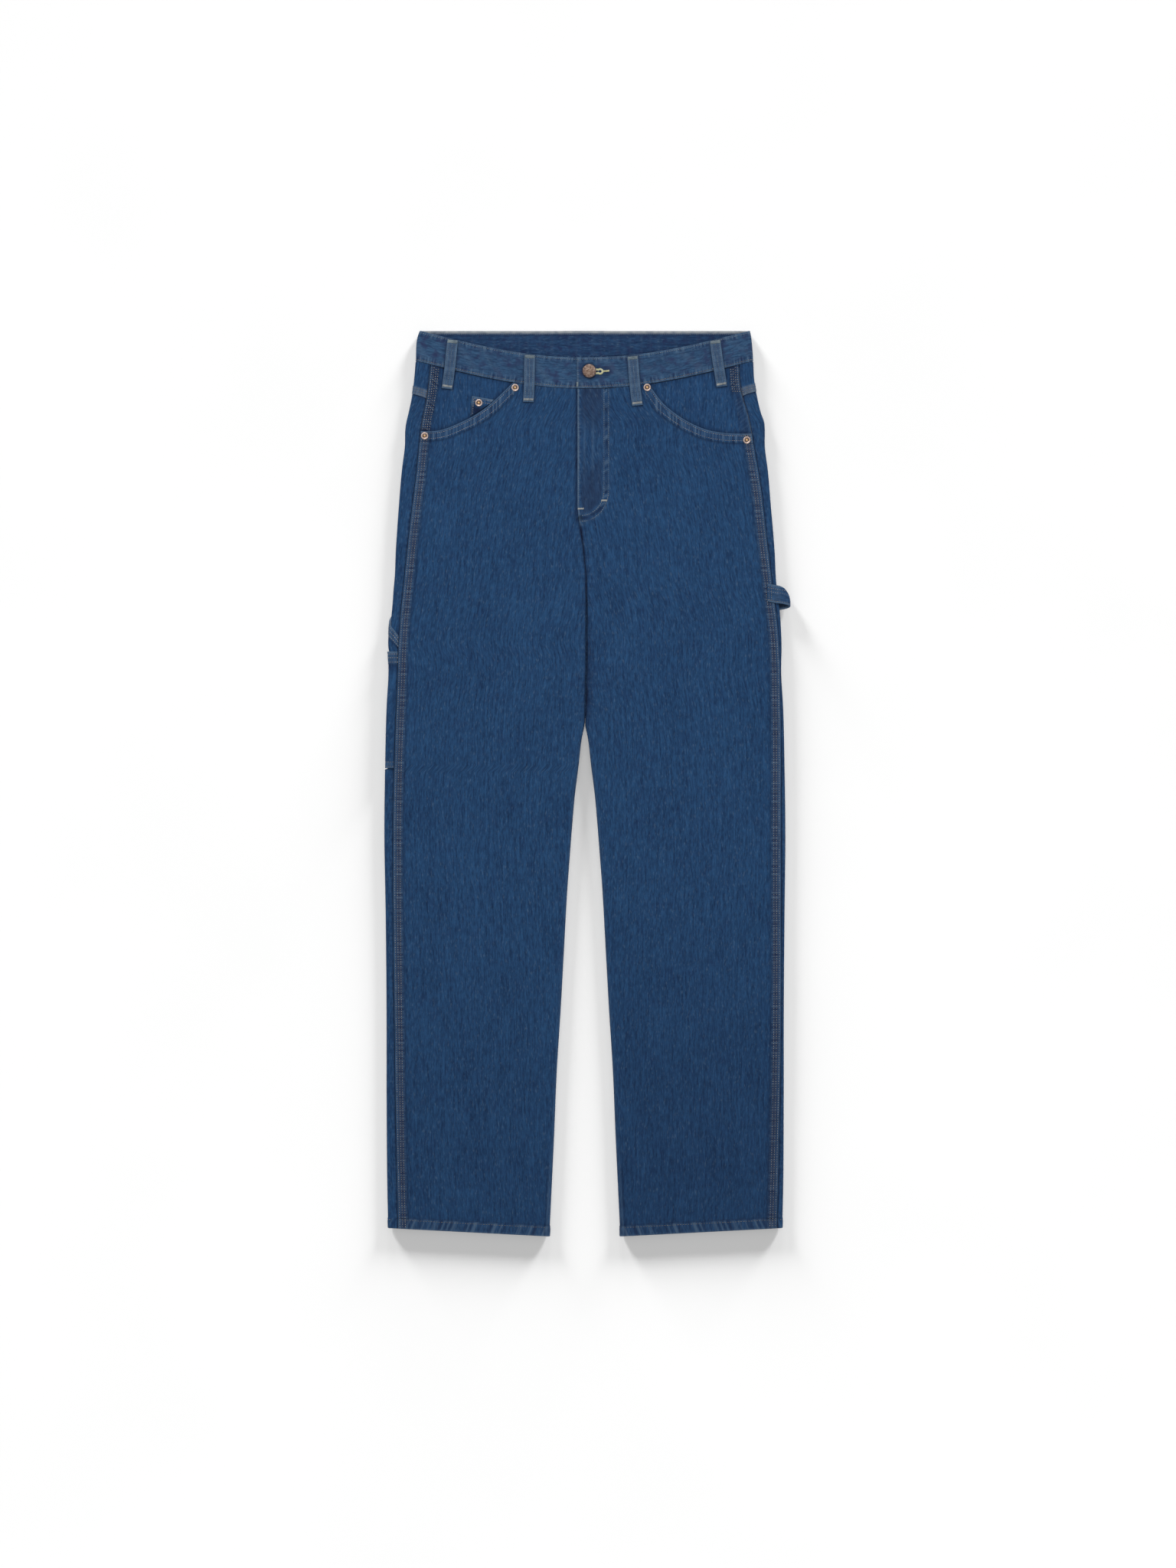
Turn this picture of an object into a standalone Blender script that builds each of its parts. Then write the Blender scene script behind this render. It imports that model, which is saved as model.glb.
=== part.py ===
"""Carpenter jeans laid flat with the front up, modelled as the pieces that are sewn together.

Sizes are in millimetres and become metres when a mesh is made. A place on the garment has a side
(-1 is the left of the view, +1 the right), a half coordinate u (distance from the centre line
towards that side) and a drop (distance below the highest waist edge). The legs and the seat are a
flattened ring: a lower run on the surface, an outer fold, an upper run and, below the crotch, an
inner fold. Every piece of cloth is cut from that ring, so neighbours meet along their seams.
"""

import math

import bmesh
import bpy
import numpy as np

MM = 0.001

# Cloth and make-up
CLOTH = 1.4
GAP = 0.3
LAYER = CLOTH + GAP
FOLD_DEPTH = 4.5
TOP_HEIGHT = 6.7
HEM_TOP_HEIGHT = 6.1
TAPER_START = 560.0
TAPER_END = 760.0
SEAM_RAISE = 0.8
SEAM_WIDTH = 11.5
SEAM_STEP = 0.8
HEM_WIDTH = 12.5

# Lengths, as drops below the waist
LENGTH = 1112.0
HEM_OUTER_DROP = 1101.7
HEM_SHEAR_START = 900.0
CROTCH_START = 300.0
CROTCH_END = 350.0
FIRST_STATION = 150.0

# Waistband
WAIST_HALF = 203.0
WAIST_DIP = 33.0
BAND_WIDTH = 38.0
BAND_THICKNESS = 2.4
BAND_RAISE = 0.5
BAND_OVERLAP_EDGE = -10.0
BAND_UNDERLAP_EDGE = -22.0
BAND_LIFT_END = 24.0
BAND_LIFT_RAMP = 26.0

# Fly
FLY_LIFT_END = 16.0
FLY_LIFT_RAMP = 20.0
FLY_STRAIGHT_DROP = 230.0
FLY_FLAT_DROP = 250.0

# Yoke, as drops
YOKE_CENTRE_DROP = 103.0
YOKE_SIDE_DROP = {-1: 76.0, 1: 73.0}
YOKE_WRAP_DROP = 7.0
YOKE_BAND = 9.6
YOKE_BAND_RAISE = 0.7

# Front pockets
FACING_UNDERLAP = 18.0
FACING_SEAM_UNDERLAP = 10.0
FACING_END = 70.0
FACING_EASE = 1.3
FACING_EASE_DROPS = (90.0, 110.0)
FACING_GAP = 0.6

# Back pockets
BACK_POCKET_INNER = 46.0
BACK_POCKET_OUTER = 200.0
BACK_POCKET_TAPER = 8.0
BACK_POCKET_BELOW_YOKE = 13.0
BACK_POCKET_SIDE_DROP = 255.0
BACK_POCKET_POINT = 18.0

# Lift of the seat over the back pockets: where it starts and ends, and its ramps
SEAT_LIFT_INNER = 32.0
SEAT_LIFT_INNER_RAMP = 14.0
SEAT_LIFT_BELOW_YOKE = 10.0
SEAT_LIFT_END = 285.0
SEAT_LIFT_END_RAMP = 20.0

# Tool pockets on the left leg
TOOL_SIDE = -1
TOOL_EDGE = 130.0
TOOL_BOTTOM_DROP = 537.0
TOOL_LOWER_MOUTH_DROP = 394.0
TOOL_INSET_START = (305.0, 330.0)
TOOL_INSET_END = (542.0, 560.0)
TOOL_FOLD_REACH = 18.0
TOOL_HEM = 15.0
TOOL_HEM_RAISE = 0.5

# Hammer loop on the right leg
HAMMER_SIDE = 1
HAMMER_THICKNESS = 2.0
HAMMER_WIDTH = 24.0
HAMMER_TOP_DROP = 310.5
HAMMER_SLIP = 7.5
HAMMER_REACH_TOP = 247.5
HAMMER_REACH_BOTTOM = 252.7
HAMMER_CENTRE = 235.0
HAMMER_FRONT_END = 224.0
HAMMER_BACK_END = 205.0
HAMMER_ARCH = 1.0
HAMMER_FULLNESS = 0.7

# Belt loops, button and rivets
LOOP_WIDTH = 13.2
LOOP_THICKNESS = 1.6
LOOP_ARCH = 1.3
LOOP_ALONG = np.array([0.0, 6.0, 13.0, 25.0, 40.5])
LOOP_RISE = np.array([0.0, 0.0, LOOP_ARCH, LOOP_ARCH, 0.4])
LOOP_FOOT = 9.0
BACK_LOOP_THICKNESS = 1.5
BACK_LOOP_LENGTH = 56.0
BUTTON_DIAMETER = 17.0
BUTTON_HEIGHT = 3.4
RIVET_DIAMETER = 9.2
RIVET_HEIGHT = 1.5
BUTTON_SIDES = 24
RIVET_SIDES = 16

# Outline of one half. Columns: drop, half width at the outer fold
OUTLINE = np.array([
    (0.0, 203.0), (5.6, 204.4), (35.7, 207.3), (58.3, 208.8), (80.8, 212.0), (103.4, 217.1),
    (118.4, 220.3), (141.0, 221.0), (171.0, 224.7), (214.3, 228.4), (270.7, 232.6),
    (308.3, 234.8), (330.0, 237.6), (410.0, 242.2), (460.0, 243.6),
    (510.0, 244.8), (560.0, 245.8), (609.0, 246.3), (721.9, 244.9), (834.7, 244.0),
    (947.5, 243.9),
    (1060.3, 243.0), (1101.7, 242.0)])

# Half the space between the legs. Columns: drop, distance of the inner fold from the centre line
INNER_EDGE = np.array([
    (484.0, 0.0), (496.3, 2.8), (533.9, 7.5), (571.5, 12.2), (609.1, 15.5), (646.7, 18.4),
    (684.3, 21.2), (759.5, 25.4), (834.7, 29.6), (909.9, 34.3), (985.1, 37.6),
    (1060.3, 41.4), (1112.0, 44.0)])

# Centre seam of the front, and the fly's edge above it. Columns: drop, distance to the right
CENTRE_FRONT = np.array([
    (0.0, -9.4), (215.0, -9.4), (230.0, -8.0), (250.0, -4.1), (274.0, -1.1), (302.0, 1.4),
    (330.0, 1.9), (400.0, 1.6), (446.0, 0.9), (484.0, 0.0)])

# Edge of the left front under the fly. Columns: drop, distance to the right
UNDER_FLY = np.array([(0.0, -1.0), (215.0, -1.0), (230.0, -8.0)])

# Centre seam of the back. Columns: drop, distance to the right
CENTRE_BACK = np.array([(0.0, 0.0), (250.0, 0.0), (302.0, 1.4), (330.0, 1.9), (400.0, 1.6),
                        (446.0, 0.9), (484.0, 0.0)])

# Outseam on the upper run. Columns: drop, half coordinate u
OUTSEAM = {
    -1: np.array([(38.0, 189.0), (84.6, 194.6), (108.1, 199.3), (132.5, 202.7), (175.8, 207.0),
                  (228.4, 213.5), (299.9, 221.3), (377.9, 228.4), (449.3, 231.2),
                  (521.7, 233.8), (881.7, 233.4), (1054.7, 230.5), (1101.7, 229.3)]),
    1: np.array([(38.0, 189.0), (68.0, 190.8), (107.0, 201.2), (150.3, 209.2), (198.3, 217.0),
                 (240.3, 221.7), (312.0, 230.3), (371.0, 237.4), (468.0, 240.4),
                 (611.0, 240.8), (883.0, 240.6), (1066.9, 236.9), (1101.7, 236.0)])}

# Curved mouth of each front pocket. Columns: half coordinate u, drop
POCKET_MOUTH = {
    -1: np.array([(82.0, 58.0), (94.0, 69.3), (105.8, 80.8), (119.4, 92.8), (136.0, 104.3),
                  (152.8, 112.8), (178.0, 122.2), (206.0, 123.4)]),
    1: np.array([(74.0, 60.0), (83.7, 73.3), (94.5, 87.4), (109.0, 100.2), (128.8, 112.8),
                 (150.2, 121.8), (170.0, 125.4), (210.0, 126.4)])}

# Mouth of the upper tool pocket. Columns: distance round the ring from the outseam, drop
TOOL_UPPER_MOUTH = np.array([(0.0, 375.0), (10.0, 361.0), (16.0, 348.0), (26.0, 334.0),
                             (130.0, 334.0)])

# Watch pocket on the left facing: its two upper corners. Columns: half coordinate u, drop
WATCH_CORNERS = np.array([(112.0, 84.6), (138.6, 80.0)])
WATCH_GAP = 0.8
WATCH_LEAN = 0.09

# Belt loops in front. Columns: name, u and drop at the top, u and drop at the bottom, on a facing
BELT_LOOPS = (
    ("belt_loop_1", -161.7, 11.6, -169.2, 71.4, True),
    ("belt_loop_2", -67.2, 30.2, -69.3, 87.8, False),
    ("belt_loop_3", 58.1, 31.6, 64.4, 92.1, False),
    ("belt_loop_4", 159.8, 12.2, 167.8, 68.6, True))

# Rivets. Columns: name, distance to the right, drop, height of the cloth under it
RIVETS = (
    ("rivet_1", -85.6, 70.0, TOP_HEIGHT + SEAM_RAISE),
    ("rivet_2", -196.6, 129.2, TOP_HEIGHT + SEAM_RAISE),
    ("rivet_3", -130.2, 88.6, TOP_HEIGHT),
    ("rivet_4", 76.5, 69.8, TOP_HEIGHT + SEAM_RAISE),
    ("rivet_5", 198.8, 134.4, TOP_HEIGHT + SEAM_RAISE))
BUTTON_PLACE = (5.4, 49.9)

# Sections of the button and the rivet. Columns: share of the radius, height
BUTTON_SECTION = np.array([
    (0.0, 0.0), (0.86, 0.0), (1.0, 1.0), (1.0, 2.4), (0.95, 3.1), (0.86, BUTTON_HEIGHT),
    (0.78, 3.2), (0.72, 2.95), (0.4, 3.0), (0.0, 3.1)])
RIVET_SECTION = np.array([
    (0.0, 0.0), (1.0, 0.0), (1.0, 0.5), (0.82, 1.0), (0.5, 0.8), (0.32, 1.2),
    (0.0, RIVET_HEIGHT)])

# Rows of the legs below the pockets, as drops
STATIONS = np.array([150.0, 185.0, 215.0, 230.0, 250.0, 285.0, 305.0, 330.0, 350.0, 375.0,
                     410.0, 460.0, 510.0, 542.0, 560.0, 620.0, 690.0, 760.0, 830.0, 900.0,
                     970.0, 1035.0, HEM_OUTER_DROP - HEM_WIDTH - SEAM_STEP,
                     HEM_OUTER_DROP - HEM_WIDTH, HEM_OUTER_DROP])

# Cloth that lies under the lower run near the outer fold and lifts it. Columns: side, u from
# which it lies there, drop from and to, ramp in u, ramp in drop above and below, lift
LIFTS = (
    (TOOL_SIDE, 112.0, 330.0, 542.0, 18.0, 25.0, 18.0, 2 * LAYER),
    (HAMMER_SIDE, 188.0, 305.0, 350.0, 18.0, 20.0, 25.0, HAMMER_THICKNESS + GAP))
BACK_LOOP_LIFT_HALF = 19.0
BACK_LOOP_LIFT_RAMP = 15.0
BACK_LOOP_LIFT_DROP = 62.0
BACK_LOOP_LIFT_DROP_RAMP = 20.0

# Ring parameter t: 0 to 1 inner fold below, 1 to 2 lower run, 2 to 4 outer fold, 4 to 5 upper
# run, 5 to 6 inner fold above
LOWER, OUTER, FOLD_MIDDLE, UPPER, INNER = 1.0, 2.0, 3.0, 4.0, 5.0
RING_END = 6.0
FOLD_COLUMNS = 7
RUN_COLUMNS = np.concatenate([[0.0, 0.5], LOWER + np.linspace(0.0, 1.0, 13)])
RING_COLUMNS = len(RUN_COLUMNS) + FOLD_COLUMNS

# Ring parameters of the waistband's columns, closest where the back belt loop lifts it
BAND_COLUMNS = np.concatenate([
    LOWER + np.array([0.0, 0.07, 0.14, 0.3, 0.45, 0.6, 0.75, 0.9]),
    np.linspace(OUTER, UPPER, 7)[:-1], np.linspace(UPPER, INNER, 13), [RING_END]])

# Rounds in which an edge that depends on its own place settles
SETTLING = 6

# Colours, roughness and metallic value of each finish
FINISHES = {
    "denim": ((0.017, 0.055, 0.155, 1.0), 0.9, 0.0),
    "denim_side": ((0.020, 0.062, 0.165, 1.0), 0.9, 0.0),
    "copper": ((0.42, 0.24, 0.14, 1.0), 0.35, 1.0)}


def table(rows, value):
    """Read the second column of a table at a value of the first, in straight stretches."""
    return np.interp(value, rows[:, 0], rows[:, 1])


def ramp(value, start, end):
    """Rise from 0 at start to 1 at end, in a straight line."""
    return np.clip((value - start) / (end - start), 0.0, 1.0)


def fall(value, start, end):
    """Sink from 1 at start to 0 at end, in a straight line."""
    return 1.0 - ramp(value, start, end)


def smooth(value, start, end):
    """Rise from 0 at start to 1 at end, level at both ends."""
    share = ramp(value, start, end)
    return share * share * (3.0 - 2.0 * share)


def top_height(drop):
    """Height of the upper run's outer skin."""
    return TOP_HEIGHT + (HEM_TOP_HEIGHT - TOP_HEIGHT) * smooth(drop, TAPER_START, TAPER_END)


def yoke_seam(side, u):
    """Drop of the yoke seam on the lower run, deepest at the centre back."""
    share = np.clip(u / (WAIST_HALF - FOLD_DEPTH), 0.0, 1.0)
    return YOKE_CENTRE_DROP + (YOKE_SIDE_DROP[side] - YOKE_CENTRE_DROP) * share


def low_height(side, u, drop):
    """Height of the lower run's outer skin, lifted by the pieces that lie under it."""
    seam = yoke_seam(side, u)
    across = ramp(u, SEAT_LIFT_INNER - SEAT_LIFT_INNER_RAMP, SEAT_LIFT_INNER)
    along = ramp(drop, seam, seam + SEAT_LIFT_BELOW_YOKE)
    along = along * fall(drop, SEAT_LIFT_END, SEAT_LIFT_END + SEAT_LIFT_END_RAMP)
    height = LAYER * across * along
    for on, u_from, drop_from, drop_to, ramp_u, ramp_above, ramp_below, lift in LIFTS:
        if on == side:
            across = ramp(u, u_from - ramp_u, u_from)
            along = ramp(drop, drop_from - ramp_above, drop_from)
            along = along * fall(drop, drop_to, drop_to + ramp_below)
            height = np.maximum(height, lift * across * along)
    loop = fall(np.abs(u), BACK_LOOP_LIFT_HALF, BACK_LOOP_LIFT_HALF + BACK_LOOP_LIFT_RAMP)
    loop = loop * fall(drop, BACK_LOOP_LIFT_DROP, BACK_LOOP_LIFT_DROP + BACK_LOOP_LIFT_DROP_RAMP)
    return np.maximum(height, (BACK_LOOP_THICKNESS + GAP) * loop)


def outer_edge(side, drop):
    """Half width at the outer fold, set in where tool pockets lie on the leg."""
    edge = table(OUTLINE, drop)
    if side == TOOL_SIDE:
        edge = edge - 2 * LAYER * ramp(drop, *TOOL_INSET_START) * fall(drop, *TOOL_INSET_END)
    return edge


def legs_apart(drop):
    """Half the space between the legs, which starts where their inner folds part."""
    return table(INNER_EDGE, drop)


def front_edge(side, drop):
    """Half coordinate of the front's edge at the centre seam, the fly or the inner fold."""
    line = table(CENTRE_FRONT, drop)
    if side == -1:
        line = np.where(drop < FLY_STRAIGHT_DROP, table(UNDER_FLY, drop), line)
    return side * line + legs_apart(drop) + 0.5 * GAP


def back_edge(side, drop):
    """Half coordinate of the back's edge at its centre seam or the inner fold."""
    return side * table(CENTRE_BACK, drop) + legs_apart(drop) + 0.5 * GAP


def skin(side, t, drop, depth, front_in=None, back_in=None, raise_top=0.0):
    """Points of the ring at parameter t and a drop, at a depth below its outer skin.

    Straight runs are a share of the way between folds. A fold is a half ellipse about the middle
    of the ring's height, its radii less the depth. Below the crotch the inner quarter folds bend
    from flat to upright. Returns u and z in millimetres.
    """
    t, drop, depth = np.broadcast_arrays(t, drop, depth)
    front_in = front_edge(side, drop) if front_in is None else front_in
    back_in = back_edge(side, drop) if back_in is None else back_in
    half = outer_edge(side, drop)
    centre = half - FOLD_DEPTH
    high = top_height(drop) + raise_top
    upright = smooth(drop, CROTCH_START, CROTCH_END)

    run = np.clip(t - LOWER, 0.0, 1.0)
    u_low = back_in + FOLD_DEPTH + (centre - back_in - FOLD_DEPTH) * run
    z_low = low_height(side, u_low, drop) + depth

    low_out = low_height(side, half, drop)
    middle = 0.5 * (high + low_out)
    angle = np.pi * 0.5 * (np.clip(t, OUTER, UPPER) - FOLD_MIDDLE)
    u_fold = centre + (FOLD_DEPTH - depth) * np.cos(angle)
    z_fold = middle + (high - middle - depth) * np.sin(angle)

    across = np.clip(t - UPPER, 0.0, 1.0)
    u_high = centre + (front_in + FOLD_DEPTH - centre) * across
    z_high = high - depth

    turn = np.clip(np.where(t < LOWER, 1.0 - t, t - INNER), 0.0, 1.0)
    low_in = low_height(side, back_in, drop)
    mid_in = 0.5 * (high + low_in)
    closing = math.asin(0.5 * GAP / (0.5 * HEM_TOP_HEIGHT))
    tilt = closing + (0.5 * np.pi - closing) * (1.0 - turn)
    edge_in = np.where(t < LOWER, back_in, front_in)
    sign = np.where(t < LOWER, -1.0, 1.0)
    u_up = edge_in + FOLD_DEPTH - (FOLD_DEPTH - depth) * np.cos(tilt)
    z_up = mid_in + sign * (high - mid_in - depth) * np.sin(tilt)
    u_flat = edge_in + FOLD_DEPTH * (1.0 - turn)
    z_flat = np.where(t < LOWER, low_in + depth, high - depth)
    u_inner = u_flat + (u_up - u_flat) * upright
    z_inner = z_flat + (z_up - z_flat) * upright

    lower = (t >= LOWER) & (t <= OUTER)
    fold = (t > OUTER) & (t < UPPER)
    upper = (t >= UPPER) & (t <= INNER)
    u = np.select([lower, fold, upper], [u_low, u_fold, u_high], u_inner)
    z = np.select([lower, fold, upper], [z_low, z_fold, z_high], z_inner)
    return u, z


def t_of_upper(side, u, drop, front_in=None):
    """Ring parameter of a place u on the upper side, also where the outer fold bends."""
    front_in = front_edge(side, drop) if front_in is None else front_in
    centre = outer_edge(side, drop) - FOLD_DEPTH
    bend = np.arccos(np.clip((u - centre) / FOLD_DEPTH, -1.0, 1.0)) / (0.5 * np.pi)
    flat = UPPER + (centre - u) / (centre - front_in - FOLD_DEPTH)
    return np.where(u > centre, FOLD_MIDDLE + bend, flat)


def t_of_lower(side, u, drop):
    """Ring parameter of a place u on the lower run."""
    centre = outer_edge(side, drop) - FOLD_DEPTH
    start = back_edge(side, drop) + FOLD_DEPTH
    return LOWER + (u - start) / (centre - start)


def wrap(side, share, drop, end_u):
    """Ring parameter at a share of the way from the lower run, round the fold, to a place end_u."""
    centre = outer_edge(side, drop) - FOLD_DEPTH
    radius = 0.5 * (FOLD_DEPTH + 0.5 * TOP_HEIGHT)
    bend_end = np.arccos(np.clip((end_u - centre) / FOLD_DEPTH, 0.0, 1.0))
    bend = radius * (0.5 * np.pi + bend_end)
    flat = np.maximum(centre - end_u, 0.0)
    along = share * (bend + flat)
    angle = along / radius - 0.5 * np.pi
    front_in = front_edge(side, drop)
    on_flat = UPPER + (along - bend) / (centre - front_in - FOLD_DEPTH)
    return np.where(along <= bend, FOLD_MIDDLE + angle / (0.5 * np.pi), on_flat)


def waist_dip(u):
    """Drop of the front waist edge below the back one, a quarter wave from side to centre."""
    share = np.clip(1.0 - np.abs(u) / WAIST_HALF, 0.0, 1.0)
    return WAIST_DIP * np.sin(0.5 * np.pi * share)


def hem_shear(u, drop):
    """Extra drop towards the inner fold, where the hems run lower."""
    share = fall(u, INNER_EDGE[-1, 1], OUTLINE[-1, 1])
    return (LENGTH - HEM_OUTER_DROP) * share * smooth(drop, HEM_SHEAR_START, HEM_OUTER_DROP)


def place(side, u, drop, z):
    """Turn half coordinates, drops and heights in millimetres into points in metres."""
    u, drop, z = np.broadcast_arrays(u, drop, z)
    points = np.stack([side * u, 0.5 * LENGTH - drop - hem_shear(u, drop), z], axis=-1)
    return points * MM


def on_top(t):
    """Share of a raised band that shows at ring parameter t: none below the fold's middle."""
    return ramp(t, FOLD_MIDDLE, 0.5 * (FOLD_MIDDLE + UPPER))


def finish(name, mesh, look):
    """Add a mesh to the scene as a named object with its own material."""
    colour, roughness, metallic = FINISHES[look]
    material = bpy.data.materials.new(f"{name}_finish")
    material.use_nodes = True
    shader = material.node_tree.nodes["Principled BSDF"]
    shader.inputs["Base Color"].default_value = colour
    shader.inputs["Roughness"].default_value = roughness
    shader.inputs["Metallic"].default_value = metallic
    mesh.materials.append(material)
    body = bpy.data.objects.new(name, mesh)
    bpy.context.scene.collection.objects.link(body)
    return body


def closed_mesh(name, points, faces):
    """Make a mesh whose faces all point outwards."""
    mesh = bpy.data.meshes.new(name)
    mesh.from_pydata(points.tolist(), [], faces)
    shell = bmesh.new()
    shell.from_mesh(mesh)
    bmesh.ops.recalc_face_normals(shell, faces=shell.faces)
    shell.to_mesh(mesh)
    shell.free()
    return mesh


def wall(name, outer, inner, look="denim"):
    """Close two grids of points, the outer and inner skins, into one wall of cloth."""
    rows, columns = outer.shape[:2]
    index = np.arange(rows * columns).reshape(rows, columns)
    a = index[:-1, :-1].ravel()
    b = index[:-1, 1:].ravel()
    c = index[1:, 1:].ravel()
    d = index[1:, :-1].ravel()
    skin_faces = np.concatenate([np.stack([a, b, c], 1), np.stack([a, c, d], 1)])
    offset = rows * columns
    faces = [skin_faces, skin_faces[:, ::-1] + offset]
    rim = np.concatenate([index[0, :-1], index[:-1, -1], index[-1, :0:-1], index[:0:-1, 0]])
    ahead = np.roll(rim, -1)
    faces.append(np.stack([ahead, rim, rim + offset], 1))
    faces.append(np.stack([ahead, rim + offset, ahead + offset], 1))
    points = np.concatenate([outer.reshape(-1, 3), inner.reshape(-1, 3)])
    return finish(name, closed_mesh(name, points, np.concatenate(faces).tolist()), look)


def turned(name, section, radius, centre, sides, look="copper"):
    """Turn a section of radius shares and heights, from pole to pole, round an upright axis."""
    profile = section * np.array([radius, 1.0])
    ring = profile[1:-1]
    angles = np.linspace(0.0, 2.0 * np.pi, sides, endpoint=False)
    x = centre[0] + ring[:, :1] * np.cos(angles)
    y = centre[1] + ring[:, :1] * np.sin(angles)
    z = centre[2] + np.repeat(ring[:, 1:], sides, axis=1)
    poles = [(centre[0], centre[1], centre[2] + profile[0, 1]),
             (centre[0], centre[1], centre[2] + profile[-1, 1])]
    points = np.concatenate([np.stack([x, y, z], -1).reshape(-1, 3), poles]) * MM
    rows = len(ring)
    faces = []
    for k in range(sides):
        n = (k + 1) % sides
        faces.append((rows * sides, n, k))
        faces.append((rows * sides + 1, (rows - 1) * sides + k, (rows - 1) * sides + n))
        for r in range(rows - 1):
            faces.append((r * sides + k, r * sides + n, (r + 1) * sides + n, (r + 1) * sides + k))
    return finish(name, closed_mesh(name, points, faces), look)


def front_panel(side, name):
    """Front of one leg, from the waist seam and the pocket mouth to the hem."""
    steps = np.array([0.0, SEAM_WIDTH, SEAM_WIDTH + SEAM_STEP])
    shares = np.linspace(0.0, 1.0, 11)[1:]
    turns = np.array([0.0, 0.5, 1.0])
    band = slice(0, len(steps))
    flat = slice(band.stop, band.stop + len(shares) - 1)
    columns = flat.stop + len(turns)

    def columns_at(drop):
        """Ring parameters of each column, for drops given by column."""
        seam = table(OUTSEAM[side], drop) - 0.5 * GAP
        near = seam[:, band] - steps
        start = seam[:, flat] - steps[-1]
        end = front_edge(side, drop[:, flat]) + FOLD_DEPTH
        far = start + (end - start) * shares[:-1]
        inner_fold = np.broadcast_to(INNER + turns, (len(drop), len(turns)))
        return np.concatenate([t_of_upper(side, near, drop[:, band]),
                               t_of_upper(side, far, drop[:, flat]), inner_fold], axis=1)

    def top_edge(u):
        """Drop of the panel's top edge: the waist seam, or the pocket mouth below it."""
        seam = waist_dip(u) + BAND_WIDTH + GAP
        rows = POCKET_MOUTH[side]
        mouth = np.where(u < rows[0, 0], 0.0, table(rows, u))
        return np.maximum(seam, mouth)

    top = np.full((1, columns), FIRST_STATION)
    for _ in range(SETTLING):
        u, _ = skin(side, columns_at(top), top, 0.0)
        top = top_edge(u)
    first = top + HEM_WIDTH
    below = first + SEAM_STEP
    middle = 0.5 * (below + FIRST_STATION)
    drop = np.concatenate([top, first, below, middle,
                           np.repeat(STATIONS[:, None], columns, axis=1)])
    t = columns_at(drop)
    u, _ = skin(side, t, drop, 0.0)

    lift = np.zeros(drop.shape)
    lift[:2] = SEAM_RAISE * (u[0] > POCKET_MOUTH[side][0, 0])
    lift[:, :2] = SEAM_RAISE
    lift[-2:] = SEAM_RAISE
    fly = np.zeros(drop.shape)
    if side == 1:
        fly = LAYER * fall(u, FLY_LIFT_END, FLY_LIFT_END + FLY_LIFT_RAMP)
        fly = fly * fall(drop, FLY_STRAIGHT_DROP, FLY_FLAT_DROP)
    outer = skin(side, t, drop, -lift - fly)
    inner = skin(side, t, drop, CLOTH - fly)
    wall(name, place(side, outer[0], drop, outer[1]), place(side, inner[0], drop, inner[1]))


def ring_columns(side, drop):
    """Ring parameters of a piece that runs from the centre back round the fold to the outseam."""
    shares = np.linspace(0.0, 1.0, FOLD_COLUMNS + 1)[1:]
    start = np.broadcast_to(RUN_COLUMNS, (len(drop), len(RUN_COLUMNS)))
    folded = drop[:, len(RUN_COLUMNS):]
    seam = table(OUTSEAM[side], folded) + 0.5 * GAP
    return np.concatenate([start, wrap(side, shares, folded, seam)], axis=1)


def ring_piece(side, name, drop, raised=0.0, thicker=0.0):
    """Wall of cloth on the ring for a grid of drops, one column for each ring parameter.

    It can be raised outwards where it shows from above, and thicker on its inner side.
    """
    t = ring_columns(side, drop)
    outer = skin(side, t, drop, -raised * on_top(t))
    inner = skin(side, t, drop, CLOTH + thicker)
    wall(name, place(side, outer[0], drop, outer[1]), place(side, inner[0], drop, inner[1]),
         "denim_side")


def ring_lines(side):
    """Drops of the waist seam and the yoke seam at each column of a ring piece."""
    share = np.zeros(RING_COLUMNS)
    share[-FOLD_COLUMNS:] = np.linspace(0.0, 1.0, FOLD_COLUMNS + 1)[1:]
    waist = np.full((1, RING_COLUMNS), BAND_WIDTH)
    seam = np.full((1, RING_COLUMNS), YOKE_SIDE_DROP[side])
    for _ in range(SETTLING):
        t = ring_columns(side, waist)
        u, _ = skin(side, t, waist, 0.0)
        waist = np.where(t > FOLD_MIDDLE, waist_dip(u), 0.0) + BAND_WIDTH
        u, _ = skin(side, ring_columns(side, seam), seam, 0.0)
        seam = yoke_seam(side, u) + YOKE_WRAP_DROP * share
    return waist, seam


def yoke(side, name):
    """Yoke of one side, from the waist seam to the yoke seam, with a raised band along it."""
    waist, seam = ring_lines(side)
    top = waist + GAP
    bottom = seam - GAP
    band = bottom - YOKE_BAND
    above = band - SEAM_STEP
    drop = np.concatenate([top, 0.5 * (top + above), above, band, bottom])
    raised = np.zeros(drop.shape)
    raised[-2:] = YOKE_BAND_RAISE
    ring_piece(side, name, drop, raised)


def back_panel(side, name):
    """Back of one leg, from the yoke seam to the hem, round the outer fold to the outseam."""
    _, seam = ring_lines(side)
    first = seam + SEAT_LIFT_BELOW_YOKE
    middle = 0.5 * (first + FIRST_STATION)
    stations = np.repeat(STATIONS[:, None], RING_COLUMNS, axis=1)
    drop = np.concatenate([seam, first, middle, stations])
    thicker = np.zeros(drop.shape)
    thicker[-2:] = 0.5 * SEAM_RAISE
    ring_piece(side, name, drop, thicker=thicker)


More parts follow.
